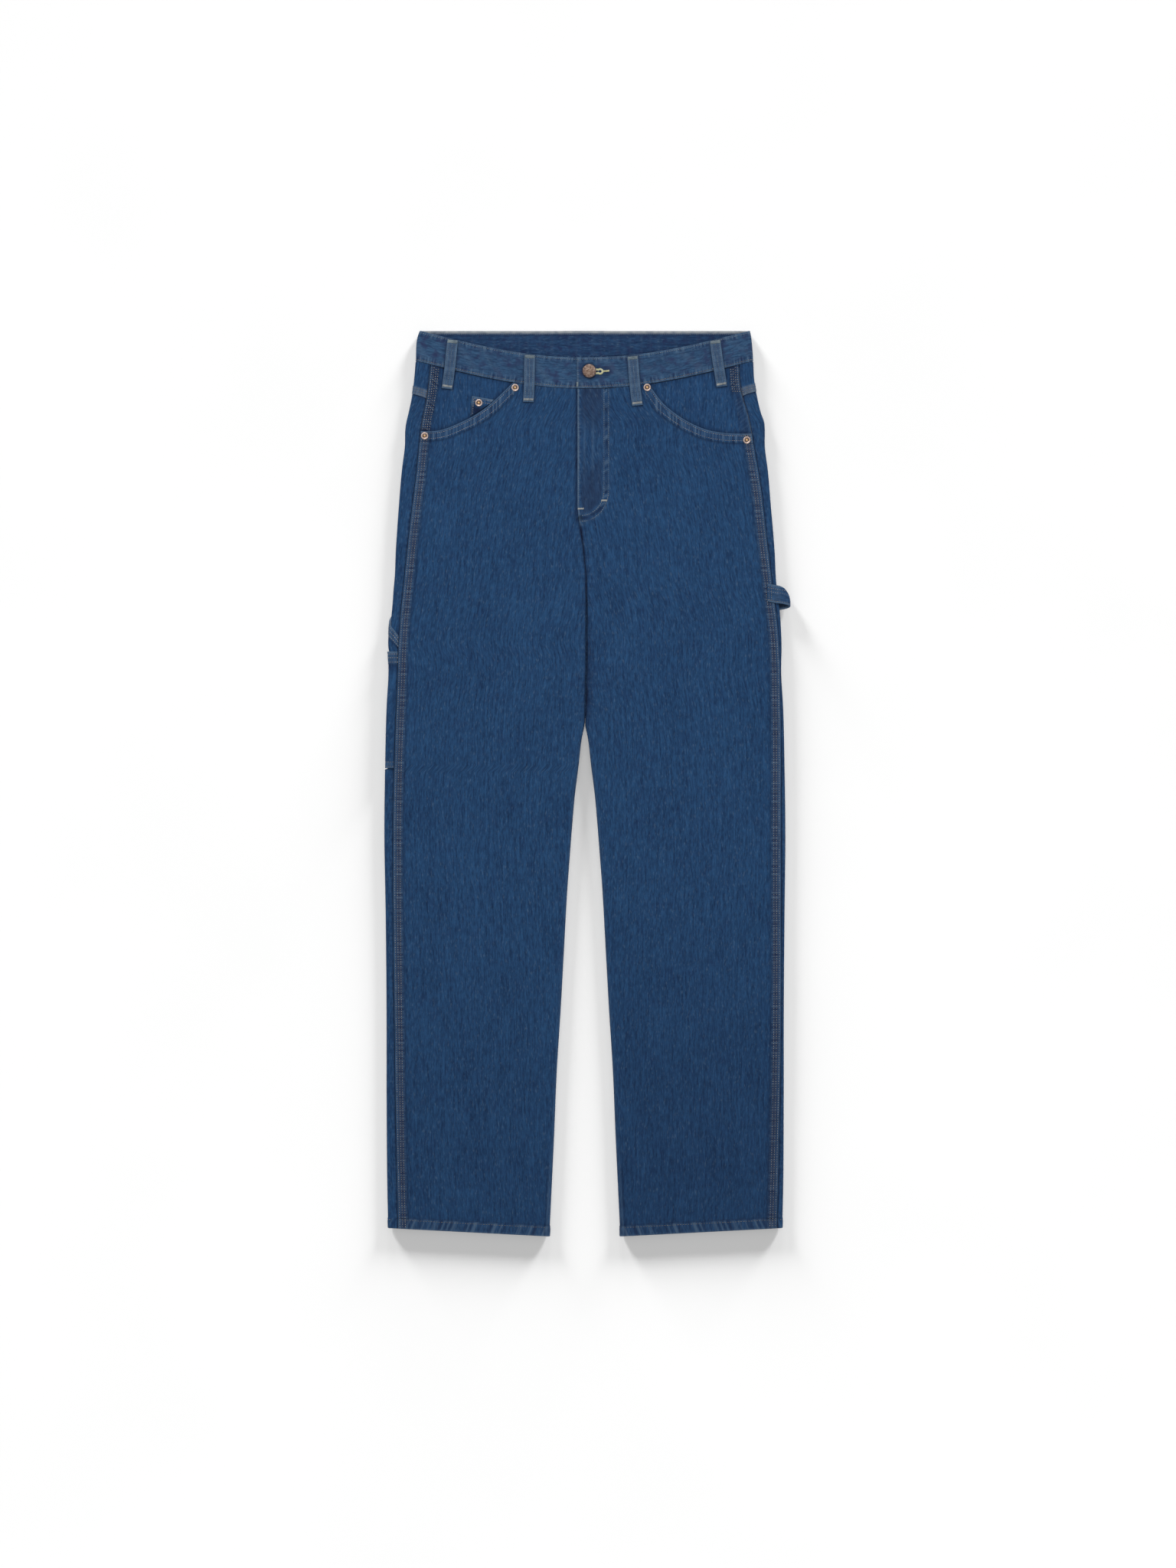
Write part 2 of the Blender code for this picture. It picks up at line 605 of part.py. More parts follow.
def facing(side, name):
    """Cloth inside a front pocket's mouth, sewn to the outseam and under the front."""
    shares = np.linspace(0.0, 1.0, 9)
    drop = np.full((1, 10), 0.5 * FIRST_STATION)

    def across(drop):
        """Half coordinate of each column: the seam band, then equal shares."""
        seam = table(OUTSEAM[side], drop) - FACING_GAP
        far = seam[:, 1:] - SEAM_WIDTH
        return np.concatenate([seam[:, :1], far + (FACING_END - far) * shares], axis=1)

    waist = drop
    bottom = drop
    for _ in range(SETTLING):
        waist = waist_dip(across(waist)) + BAND_WIDTH + GAP
        mouth = table(POCKET_MOUTH[side], across(bottom)) + FACING_UNDERLAP
        bottom = np.maximum(mouth, waist + FACING_SEAM_UNDERLAP)
    rows = np.linspace(0.0, 1.0, 8)[:, None]
    drop = waist + (bottom - waist) * rows
    u = across(drop)
    recess = np.full(drop.shape, LAYER)
    recess[:, 0] -= FACING_EASE * fall(drop[:, 0], *FACING_EASE_DROPS)
    z = top_height(drop) - recess
    wall(name, place(side, u, drop, z), place(side, u, drop, z - CLOTH), "denim_side")


def watch_pocket():
    """Small pocket on the left facing, whose lower end meets the front's curved mouth."""
    u = np.linspace(WATCH_CORNERS[0, 0], WATCH_CORNERS[1, 0], 6)[None, :]
    top = table(WATCH_CORNERS, u)
    mouth = table(POCKET_MOUTH[-1], u) - WATCH_GAP
    drop = top + (mouth - top) * np.array([[0.0], [0.5], [1.0]])
    u = np.broadcast_to(u, drop.shape) + WATCH_LEAN * (drop - top)
    z = np.full(drop.shape, TOP_HEIGHT)
    wall("watch_pocket", place(-1, u, drop, z), place(-1, u, drop, z - CLOTH), "denim_side")


def back_pocket(side, name):
    """Patch pocket under the seat: a straight mouth beside the yoke and a pointed lower edge."""
    share = np.linspace(-1.0, 1.0, 7)[None, :]
    centre = 0.5 * (BACK_POCKET_INNER + BACK_POCKET_OUTER)
    reach = 0.5 * (BACK_POCKET_OUTER - BACK_POCKET_INNER)
    mouth = yoke_seam(side, centre + reach * share) + BACK_POCKET_BELOW_YOKE
    bottom = BACK_POCKET_SIDE_DROP + BACK_POCKET_POINT * (1.0 - np.abs(share))
    rows = np.array([[0.0], [0.5], [1.0]])
    drop = mouth + (bottom - mouth) * rows
    u = centre + (reach - BACK_POCKET_TAPER * rows) * share
    low = place(side, u, drop, 0.0)
    wall(name, low, place(side, u, drop, CLOTH), "denim_side")


def tool_pocket(name, layer, mouth):
    """Pocket on the back of the left leg, from the outseam round the fold to its inner edge.

    The mouth is a table, or None for a straight one. Its hem stands up where it shows.
    """
    side = TOOL_SIDE
    fold_shares = np.linspace(1.0, 0.0, FOLD_COLUMNS + 1)
    run_shares = np.linspace(0.0, 1.0, 7)[1:]
    columns = FOLD_COLUMNS + 1 + len(run_shares)
    top = np.full((1, columns), TOOL_LOWER_MOUTH_DROP)

    def columns_at(drop):
        """Ring parameters of each column, from the outseam inwards along the back."""
        seam = table(OUTSEAM[side], drop[:, :FOLD_COLUMNS + 1]) + 0.5 * GAP
        fold = wrap(side, fold_shares, drop[:, :FOLD_COLUMNS + 1], seam)
        edge = t_of_lower(side, TOOL_EDGE, drop[:, FOLD_COLUMNS + 1:])
        return np.concatenate([fold, OUTER + (edge - OUTER) * run_shares], axis=1)

    if mouth is not None:
        u, _ = skin(side, columns_at(top), top, 0.0)
        beyond = u[0, FOLD_COLUMNS] - u[0, FOLD_COLUMNS + 1:]
        around = TOOL_FOLD_REACH + np.concatenate([-TOOL_FOLD_REACH * fold_shares, beyond])
        top = table(mouth, around)[None, :]
    hem = top + TOOL_HEM
    inside = STATIONS[(STATIONS > np.max(hem) + 2 * SEAM_STEP) & (STATIONS < TOOL_BOTTOM_DROP)]
    below = np.append(inside, TOOL_BOTTOM_DROP)
    drop = np.concatenate([top, hem, hem + SEAM_STEP,
                           np.repeat(below[:, None], columns, axis=1)])
    t = columns_at(drop)
    raised = np.zeros(drop.shape)
    raised[:2] = TOOL_HEM_RAISE
    outer = skin(side, t, drop, -layer * LAYER - raised * on_top(t))
    inner = skin(side, t, drop, -layer * LAYER + CLOTH)
    wall(name, place(side, outer[0], drop, outer[1]), place(side, inner[0], drop, inner[1]),
         "denim_side")


def hammer_loop():
    """Strap that stands off the right leg: sewn over the outseam, round the outside, and behind."""
    angles = np.linspace(0.5 * np.pi, -0.5 * np.pi, 13)
    across = np.abs(np.cos(angles)) ** HAMMER_FULLNESS
    upward = np.sign(np.sin(angles)) * np.abs(np.sin(angles)) ** HAMMER_FULLNESS
    top = TOP_HEIGHT + SEAM_RAISE + GAP + HAMMER_THICKNESS
    middle = 0.5 * (top + HAMMER_ARCH)
    rows = np.array([[0.0], [0.5], [1.0]])
    reach = HAMMER_REACH_TOP + (HAMMER_REACH_BOTTOM - HAMMER_REACH_TOP) * np.sqrt(rows)

    def path(inset):
        """Points of the strap's skin at an inset from its outer side."""
        bend_u = HAMMER_CENTRE + (reach - HAMMER_CENTRE - inset) * across
        bend_z = middle + (middle - inset) * upward
        back_u = np.linspace(HAMMER_CENTRE, HAMMER_BACK_END, 3)[1:]
        front = np.full((len(rows), 1), HAMMER_FRONT_END)
        back = np.repeat(back_u[None, :], len(rows), axis=0)
        u = np.concatenate([front, bend_u, back], axis=1)
        z = np.concatenate([[top - inset], bend_z, np.full(len(back_u), inset)])
        slip = HAMMER_SLIP * np.linspace(0.0, 1.0, u.shape[1])
        return place(HAMMER_SIDE, u, HAMMER_TOP_DROP + HAMMER_WIDTH * rows + slip, z)

    wall("hammer_loop", path(0.0), path(HAMMER_THICKNESS))


def waistband():
    """Band round the waist in one strip, its right end lying over its left at the centre front."""
    halves = []
    for side, end in ((-1, BAND_UNDERLAP_EDGE), (1, BAND_OVERLAP_EDGE)):
        t = BAND_COLUMNS
        if side == 1:
            t = np.concatenate([[0.0], t])
        level = BAND_WIDTH * np.array([[0.0], [0.5], [1.0]])
        drop = np.repeat(level, len(t), axis=1)
        for _ in range(SETTLING):
            u, _ = skin(side, t[None, :], drop, 0.0, front_in=end, back_in=0.0)
            drop = np.where(t > FOLD_MIDDLE, waist_dip(u), 0.0) + level
        over = np.zeros(drop.shape)
        if side == 1:
            over = (BAND_THICKNESS + GAP) * fall(u, BAND_LIFT_END, BAND_LIFT_END + BAND_LIFT_RAMP)
            over = np.where(t > UPPER, over, 0.0)
        skins = []
        for depth in (0.0, BAND_THICKNESS):
            u_at, z_at = skin(side, t[None, :], drop, depth - over, end, 0.0, BAND_RAISE)
            skins.append(place(side, u_at, drop, z_at))
        halves.append(skins)
    outer = np.concatenate([halves[0][0][:, ::-1], halves[1][0]], axis=1)
    inner = np.concatenate([halves[0][1][:, ::-1], halves[1][1]], axis=1)
    wall("waistband", outer, inner)


def belt_loop(name, u_top, drop_top, u_bottom, drop_bottom, on_facing):
    """Strip sewn at both ends that arches over the band and comes down on the cloth below."""
    band = TOP_HEIGHT + BAND_RAISE + GAP
    cloth = TOP_HEIGHT + GAP
    if on_facing:
        cloth = cloth - LAYER
    length = drop_bottom - drop_top
    along = np.concatenate([LOOP_ALONG, [BAND_WIDTH + LOOP_FOOT, length]])
    seat = np.concatenate([band + LOOP_RISE, [cloth, cloth]])
    share = (along / length)[:, None]
    across = np.array([[-0.5, 0.5]]) * LOOP_WIDTH
    u = u_top + (u_bottom - u_top) * share + across
    drop = drop_top + along[:, None] + 0.0 * across
    low = seat[:, None] + 0.0 * across
    wall(name, place(1, u, drop, low + LOOP_THICKNESS), place(1, u, drop, low))


def back_belt_loop():
    """Strip at the centre back, pressed flat under the band."""
    across = np.array([[-0.5, 0.5]]) * LOOP_WIDTH
    drop = np.array([[1.0], [0.5 * BACK_LOOP_LENGTH], [1.0 + BACK_LOOP_LENGTH]])
    wall("belt_loop_back", place(1, across, drop, 0.0),
         place(1, across, drop, BACK_LOOP_THICKNESS))


def waist_button():
    """Cast button: a low rim round a face that is almost flat."""
    base = TOP_HEIGHT + BAND_RAISE + BAND_THICKNESS + GAP + GAP
    centre = (BUTTON_PLACE[0], 0.5 * LENGTH - BUTTON_PLACE[1], base)
    turned("waist_button", BUTTON_SECTION, 0.5 * BUTTON_DIAMETER, centre, BUTTON_SIDES)


def rivet(name, x, drop, seat):
    """Round-headed rivet: a ring round a small domed point."""
    centre = (x, 0.5 * LENGTH - drop, seat + GAP)
    turned(name, RIVET_SECTION, 0.5 * RIVET_DIAMETER, centre, RIVET_SIDES)


def recentre(bodies):
    """Move every mesh so that the middle of the garment's underside is the origin."""
    corners = []
    for body in bodies:
        points = np.empty(len(body.data.vertices) * 3)
        body.data.vertices.foreach_get("co", points)
        points = points.reshape(-1, 3)
        corners.append(points.min(axis=0))
        corners.append(points.max(axis=0))
    low = np.min(corners, axis=0)
    high = np.max(corners, axis=0)
    shift = np.array([0.5 * (low[0] + high[0]), 0.5 * (low[1] + high[1]), low[2]])
    for body in bodies:
        points = np.empty(len(body.data.vertices) * 3)
        body.data.vertices.foreach_get("co", points)
        points = points.reshape(-1, 3) - shift
        body.data.vertices.foreach_set("co", points.ravel())
        body.data.update()


def main():
    """Clear the scene and build the jeans piece by piece."""
    for body in list(bpy.data.objects):
        bpy.data.objects.remove(body, do_unlink=True)
    for side, word in ((-1, "left"), (1, "right")):
        front_panel(side, f"front_{word}")
        back_panel(side, f"back_{word}")
        yoke(side, f"yoke_{word}")
        facing(side, f"pocket_facing_{word}")
        back_pocket(side, f"back_pocket_{word}")
    watch_pocket()
    tool_pocket("tool_pocket_upper", 1, TOOL_UPPER_MOUTH)
    tool_pocket("tool_pocket_lower", 2, None)
    hammer_loop()
    waistband()
    for row in BELT_LOOPS:
        belt_loop(*row)
    back_belt_loop()
    waist_button()
    for row in RIVETS:
        rivet(*row)
    recentre([body for body in bpy.data.objects if body.type == "MESH"])


main()
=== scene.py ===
"""Looks of carpenter jeans laid flat with the front up, in the frame of their solids.

Sizes are in millimetres until a mesh is made. A place on the garment has a side (-1 is the left of
the view, +1 the right), a half coordinate u from the centre line towards that side, and a drop
below the highest waist edge. The seat and legs are a flattened ring of cloth with a parameter t.
"""

import logging
import math
from dataclasses import dataclass, field
from enum import Enum

import bpy
import numpy as np
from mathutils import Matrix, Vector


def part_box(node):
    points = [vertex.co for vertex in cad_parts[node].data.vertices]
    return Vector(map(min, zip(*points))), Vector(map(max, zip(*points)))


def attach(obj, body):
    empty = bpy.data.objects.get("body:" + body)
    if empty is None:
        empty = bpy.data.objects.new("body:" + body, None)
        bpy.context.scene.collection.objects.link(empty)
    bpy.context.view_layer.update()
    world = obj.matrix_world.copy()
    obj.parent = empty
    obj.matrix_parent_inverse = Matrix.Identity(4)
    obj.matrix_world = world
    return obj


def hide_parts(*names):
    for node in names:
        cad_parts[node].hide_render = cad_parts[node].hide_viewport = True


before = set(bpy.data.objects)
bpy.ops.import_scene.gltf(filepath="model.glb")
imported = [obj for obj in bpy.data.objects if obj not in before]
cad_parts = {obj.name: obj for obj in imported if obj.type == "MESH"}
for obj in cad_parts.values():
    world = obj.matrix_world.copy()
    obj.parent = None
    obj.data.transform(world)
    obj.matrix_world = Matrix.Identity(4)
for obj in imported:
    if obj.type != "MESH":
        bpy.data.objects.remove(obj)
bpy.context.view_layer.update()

Array = np.ndarray
LOG = logging.getLogger("jeans")
MM = 0.001
LEFT = -1
RIGHT = 1
UP = np.array([0.0, 0.0, 1.0])

# Distance from an edge that isn't near
FAR = 99.0

# Ring parameter t: 0 to 1 inner fold below, 1 to 2 lower run, 2 to 4 outer fold, 4 to 5 upper
# run, 5 to 6 inner fold above
LOWER, OUTER, MIDDLE, UPPER, INNER, END = 1.0, 2.0, 3.0, 4.0, 5.0, 6.0

# Outline of each half, without tool pockets. Columns: drop, half width at the outer fold
OUTLINE = {
    LEFT: np.array([
        (0.0, 203.0), (5.6, 204.9), (35.7, 207.7), (58.3, 209.6), (80.8, 212.4), (103.4, 217.1),
        (111.0, 219.0), (118.4, 220.2), (141.0, 221.0), (171.0, 224.7), (214.3, 228.4),
        (270.7, 232.2), (308.3, 234.1), (330.0, 237.2), (345.9, 238.8), (364.7, 240.6),
        (383.5, 241.6), (421.1, 241.2), (458.7, 243.3), (534.0, 245.3), (609.0, 246.3),
        (721.9, 244.6), (834.7, 243.6), (947.5, 243.5), (1060.3, 242.5), (1101.7, 241.6)]),
    RIGHT: np.array([
        (0.0, 203.0), (5.6, 204.0), (35.7, 206.8), (58.3, 207.9), (80.8, 211.5), (103.4, 217.1),
        (111.0, 220.0), (118.4, 220.9), (141.0, 221.0), (171.0, 224.7), (214.3, 228.4),
        (270.7, 233.1), (308.3, 235.0), (345.9, 239.5), (383.5, 241.6), (421.1, 241.2),
        (458.7, 243.4), (534.0, 245.3), (609.0, 246.3), (721.9, 245.3), (834.7, 244.4),
        (947.5, 244.3), (1060.3, 243.5), (1101.7, 242.5)])}

# Half the space between the legs. Columns: drop, distance of the inner fold from the centre line
INNER_EDGE = np.array([
    (484.0, 0.0), (496.3, 2.8), (533.9, 7.5), (571.5, 12.2), (609.1, 15.5), (646.7, 18.4),
    (684.3, 21.2), (759.5, 25.4), (834.7, 29.6), (909.9, 34.3), (985.1, 37.6),
    (1060.3, 41.4), (1112.0, 44.0)])

# Centre seam of the front, and the fly's edge above it. Columns: drop, distance to the right
CENTRE_FRONT = np.array([
    (0.0, -9.4), (215.0, -9.4), (230.0, -8.0), (250.0, -4.1), (274.0, -1.1), (302.0, 1.4),
    (330.0, 1.9), (400.0, 1.6), (446.0, 0.9), (484.0, 0.0)])

# Edge of the left front under the fly. Columns: drop, distance to the right
UNDER_FLY = np.array([(0.0, -1.0), (215.0, -1.0), (230.0, -8.0)])

# Centre seam of the back, beside the front's so that no floor shows between them. Columns: drop,
# distance to the right
CENTRE_BACK = np.array([
    (0.0, 0.0), (250.0, 0.0), (302.0, 2.2), (330.0, 2.9), (400.0, 2.6), (446.0, 1.9),
    (470.0, 1.0), (484.0, 0.0)])

# Outseam on the upper run. Columns: drop, half coordinate u
OUTSEAM = {
    LEFT: np.array([
        (38.0, 189.0), (84.6, 194.6), (108.1, 199.3), (132.5, 202.7), (175.8, 207.0),
        (228.4, 213.5), (299.9, 221.3), (377.9, 228.4), (449.3, 231.2), (521.7, 233.8),
        (881.7, 233.4), (1054.7, 230.5), (1101.7, 229.3)]),
    RIGHT: np.array([
        (38.0, 189.0), (68.0, 190.8), (107.0, 201.2), (150.3, 209.2), (198.3, 217.0),
        (240.3, 221.7), (312.0, 230.3), (371.0, 237.4), (468.0, 240.4), (611.0, 240.8),
        (883.0, 240.6), (1066.9, 236.9), (1101.7, 236.0)])}

# Curved mouth of each front pocket. Columns: half coordinate u, drop
MOUTH = {
    LEFT: np.array([
        (82.0, 58.0), (94.0, 69.3), (105.8, 80.8), (119.4, 92.8), (136.0, 104.3),
        (152.8, 112.8), (178.0, 122.2), (206.0, 123.4)]),
    RIGHT: np.array([
        (74.0, 60.0), (83.7, 73.3), (94.5, 87.4), (109.0, 100.2), (128.8, 112.8),
        (150.2, 121.8), (170.0, 125.4), (210.0, 126.4)])}

# Mouth of the upper tool pocket. Columns: distance round the ring from the outseam, drop
TOOL_MOUTH = np.array([(0.0, 375.0), (10.0, 361.0), (16.0, 348.0), (26.0, 334.0),
                       (130.0, 334.0)])

# Watch pocket: its two upper corners. Columns: half coordinate u, drop
WATCH_CORNERS = np.array([(112.0, 84.6), (138.6, 80.0)])

# Cloth that lies under the lower run and lifts it. Columns: side (0 is both), u from and to,
# drop from (the yoke seam for both) and to, ramp in u, ramp in drop at the top and at the bottom,
# lift
LIFTS = (
    (0, 32.0, 400.0, 0.0, 285.0, 14.0, 1.0, 20.0, 1.7),
    (LEFT, 112.0, 400.0, 330.0, 542.0, 18.0, 25.0, 18.0, 3.4),
    (RIGHT, 188.0, 400.0, 305.0, 350.0, 18.0, 20.0, 25.0, 2.3))

# Soft creases of the upper run. Columns: side, u, drop, length, width, turn from straight down in
# degrees, height, bow
UPPER_FOLDS = (
    (RIGHT, 4.0, 142.0, 74.0, 3.4, 2.0, 0.55, 1.0),
    (RIGHT, 11.0, 150.0, 62.0, 3.0, -3.0, -0.45, -1.0),
    (RIGHT, 17.0, 138.0, 70.0, 3.6, 4.0, 0.40, 1.5),
    (RIGHT, 13.0, 199.0, 14.0, 2.6, -38.0, 0.45, 0.0),
    (RIGHT, 6.0, 249.0, 20.0, 2.4, 52.0, 0.45, 0.5),
    (RIGHT, 9.0, 257.0, 18.0, 2.2, 60.0, -0.35, 0.5),
    (RIGHT, 40.0, 290.0, 150.0, 11.0, 34.0, 0.55, 6.0),
    (LEFT, 36.0, 300.0, 150.0, 12.0, 30.0, 0.50, -6.0),
    (RIGHT, 60.0, 350.0, 130.0, 13.0, 48.0, -0.45, 5.0),
    (LEFT, 58.0, 356.0, 120.0, 12.0, 44.0, -0.40, -5.0),
    (LEFT, 192.0, 142.0, 18.0, 2.2, -10.0, 0.55, 0.0),
    (LEFT, 80.0, 87.0, 14.0, 2.0, -12.0, 0.50, 0.0),
    (RIGHT, 80.0, 88.0, 13.0, 2.0, 14.0, 0.45, 0.0),
    (RIGHT, 194.0, 148.0, 16.0, 2.2, 12.0, 0.45, 0.0),
    (RIGHT, 36.0, 55.0, 12.0, 1.8, 20.0, 0.40, 0.0),
    (LEFT, 120.0, 240.0, 210.0, 26.0, 8.0, 0.60, 8.0),
    (RIGHT, 128.0, 232.0, 190.0, 24.0, -10.0, 0.55, -8.0),
    (LEFT, 150.0, 420.0, 180.0, 22.0, 66.0, 0.55, 9.0),
    (RIGHT, 140.0, 436.0, 170.0, 24.0, -60.0, 0.60, 8.0),
    (LEFT, 110.0, 560.0, 150.0, 16.0, 82.0, 0.50, 5.0),
    (LEFT, 150.0, 606.0, 130.0, 14.0, 96.0, -0.45, 6.0),
    (RIGHT, 120.0, 574.0, 150.0, 17.0, -80.0, 0.50, 6.0),
    (RIGHT, 160.0, 628.0, 120.0, 14.0, -98.0, -0.40, 4.0),
    (LEFT, 128.0, 780.0, 320.0, 30.0, 3.0, 0.65, 10.0),
    (RIGHT, 134.0, 800.0, 300.0, 32.0, -2.0, 0.60, -9.0),
    (LEFT, 90.0, 980.0, 180.0, 18.0, 14.0, -0.45, 6.0),
    (RIGHT, 100.0, 1000.0, 160.0, 18.0, -12.0, -0.40, -6.0),
    (LEFT, 190.0, 905.0, 170.0, 16.0, -9.0, 0.45, 4.0),
    (RIGHT, 196.0, 930.0, 150.0, 15.0, 10.0, 0.40, -4.0))

# Soft creases of the lower run, all hollows seen from below. Same columns
LOWER_FOLDS = (
    (LEFT, 60.0, 330.0, 130.0, 10.0, 40.0, 0.55, 5.0),
    (RIGHT, 64.0, 320.0, 120.0, 11.0, 46.0, 0.60, -5.0),
    (LEFT, 90.0, 390.0, 110.0, 12.0, 62.0, 0.45, 4.0),
    (RIGHT, 120.0, 400.0, 130.0, 12.0, 58.0, 0.50, 5.0),
    (RIGHT, 130.0, 560.0, 170.0, 14.0, 84.0, 0.60, 6.0),
    (LEFT, 130.0, 606.0, 150.0, 13.0, 78.0, 0.50, 6.0),
    (RIGHT, 150.0, 612.0, 120.0, 12.0, 98.0, 0.50, 4.0),
    (LEFT, 120.0, 820.0, 300.0, 24.0, 4.0, 0.60, 9.0),
    (RIGHT, 130.0, 850.0, 280.0, 22.0, -5.0, 0.55, -9.0),
    (LEFT, 70.0, 980.0, 140.0, 14.0, 16.0, 0.45, 5.0),
    (RIGHT, 90.0, 1010.0, 120.0, 14.0, -14.0, 0.45, 4.0))

# Belt loops in front. Columns: name, u and drop at the top, u and drop at the bottom, on a facing
BELT_LOOPS = (
    ("belt_loop_1", -161.7, 11.6, -169.2, 71.4, True),
    ("belt_loop_2", -67.2, 30.2, -69.3, 87.8, False),
    ("belt_loop_3", 58.1, 31.6, 64.4, 92.1, False),
    ("belt_loop_4", 159.8, 12.2, 167.8, 68.6, True))

# Rivets. Columns: name, distance to the right, drop, height of the cloth under it
RIVETS = (
    ("rivet_1", -85.6, 70.0, 7.5), ("rivet_2", -196.6, 129.2, 7.5),
    ("rivet_3", -130.2, 88.6, 6.7), ("rivet_4", 76.5, 69.8, 7.5),
    ("rivet_5", 198.8, 134.4, 7.5))
BUTTON_PLACE = (5.4, 49.9)

# Places on the bolt of cloth where kinds of piece start, so that few show the same stretch of weave
WEAVE = {"panel": 700.0, "facing": 300.0, "watch": 400.0, "pocket": 500.0, "band": 900.0,
         "strip": 1500.0, "strap": 1800.0}

# Drop below which the rows of a leg's grid are level, and the step between them
LEVEL, ROW_STEP = 150.0, 4.0

# Drops between which the tool pockets' lower edge sets the outline in
POCKET_END = (537.3, 538.8)

# Drops between which the fly gives way to the centre seam, and that seam to the inseams
FLY_FOOT = (236.0, 252.0)
CROTCH = (470.0, 500.0)

# Rows of sewing in from the outseam, and from the middle of a belt loop
SEAM_ROWS = (2.3, 5.6, 9.0)
LOOP_ROWS = (-4.3, 0.0, 4.3)

# Square rings of a stitch, and the corners of one. Columns: share of its length, size, rise as a
# share of the thread's width; places to the side and up
STITCH_RINGS = ((0.0, 0.5, -0.25), (0.2, 1.0, 0.25), (0.8, 1.0, 0.25), (1.0, 0.5, -0.25))
STITCH_CORNERS = ((1.0, 0.0), (0.0, 0.8), (-1.0, 0.0), (0.0, -0.8))

# Waistband's thickness, and how far it stands above the cloth below it
BAND_THICK, BAND_RAISED = 2.4, 0.5

# Lamps that light all but the floor. Columns: name, place, size, power
LAMPS = (
    ("key", (-0.35, 1.75, 2.4), 1.3, 36.0),
    ("fill", (1.4, -1.0, 3.2), 2.6, 22.0))

# Suns that light the floor alone, three low and one straight above, which casts no shadow beside
# the garment. Columns: name, azimuth, elevation, spread, strength
FLOOR_SUNS = (
    ("floor_sun_above", 0.0, 90.0, 2.0, 1.76),
    ("floor_sun_middle", 0.0, 7.4, 13.0, 1.9),
    ("floor_sun_left", -32.0, 6.9, 12.5, 12.0),
    ("floor_sun_right", 32.0, 6.9, 12.5, 12.0))

# Grid steps in from the fold where a leg's run meets it, and columns round that fold
INNER_STEPS = np.array([12.5, 11.0, 9.5, 8.0, 6.8, 5.6])
TURN_COLUMNS = 8

# Grid steps in from a sewn edge, close at the edge and at the rows of sewing
EDGE_STEPS = np.array([0.0, 0.2, 0.5, 1.0, 1.8, 2.8, 3.8, 5.0, 6.4, 7.8, 8.9, 10.0, 11.0, 11.6,
                       12.2, 13.2, 15.0])


def ramp(value: Array, start: float, end: float) -> Array:
    """Rise from 0 at start to 1 at end, in a straight line."""
    return np.clip((value - start) / (end - start), 0.0, 1.0)


def smooth(value: Array, start: float, end: float) -> Array:
    """Rise from 0 at start to 1 at end, level at both ends."""
    share = ramp(value, start, end)
    return share * share * (3.0 - 2.0 * share)


def fading(value: Array, start: float, end: float) -> Array:
    """Fall from 1 at start to 0 at end, level at both ends."""
    return 1.0 - smooth(value, start, end)


def bump(value: Array, centre: float, width: float) -> Array:
    """A bell of height 1 at a centre, down to a third at a width from it."""
    return np.exp(-((value - centre) / width) ** 2)


def table(rows: Array, value: Array) -> Array:
    """Read a table's second column at a value of its first, in straight stretches."""
    return np.interp(value, rows[:, 0], rows[:, 1])


def curve(rows: Array, value: Array) -> Array:
    """Read a table's second column at a value of its first, along a smooth curve.

    Each stretch is a cubic whose ends take the table's own slopes.

    Args:
        rows: Table of two columns, rising in the first.
        value: Where to read it.
    Returns:
        The curve's values.
    """
    x, y = rows[:, 0], rows[:, 1]
    slope = np.gradient(y, x)
    at = np.clip(np.searchsorted(x, value, side="right") - 1, 0, len(x) - 2)
    span = x[at + 1] - x[at]
    share = np.clip((value - x[at]) / span, 0.0, 1.0)
    rest = 1.0 - share
    low = (1.0 + 2.0 * share) * rest ** 2 * y[at] + share * rest ** 2 * span * slope[at]
    high = share ** 2 * (3.0 - 2.0 * share) * y[at + 1] - share ** 2 * rest * span * slope[at + 1]
    return low + high


def uneven(value: Array, period: float, seed: float) -> Array:
    """An uneven wave between -1 and 1: three sines whose periods share no common multiple.

    Args:
        value: Where to read it.
        period: Length of the first sine.
        seed: Shift of the sines.
    Returns:
        The wave.
    """
    turn = 2.0 * math.pi * value / period
    first = np.sin(turn + seed)
    second = np.sin(turn * 0.618 + 2.1 * seed + 1.0)
    third = np.sin(turn * 1.37 + 0.7 * seed + 2.0)
    return (first + 0.8 * second + 0.6 * third) / 2.4


def roll(distance: Array, radius: float) -> Array:
    """How far a rounded cloth edge falls away, as a share of its radius, by a quarter circle."""
    back = 1.0 - np.clip(distance / radius, 0.0, 1.0)
    return 1.0 - np.sqrt(np.maximum(1.0 - back * back, 0.0))


def grooved(rise: Array, distance: Array, places: tuple[float, ...], depth: float,
            width: float = 0.8, share: Array | float = 1.0) -> Array:
    """Press a bell-shaped hollow into a rise at each row of sewing.

    Args:
        rise: Height of the cloth before.
        distance: Distance from the edge that the rows follow.
        places: The rows, as distances from that edge.
        depth: Depth of a hollow.
        width: Its width.
        share: Share of the depth at each point.
    Returns:
        The height with its hollows.
    """
    for at in places:
        rise = rise - depth * bump(distance, at, width) * share
    return rise


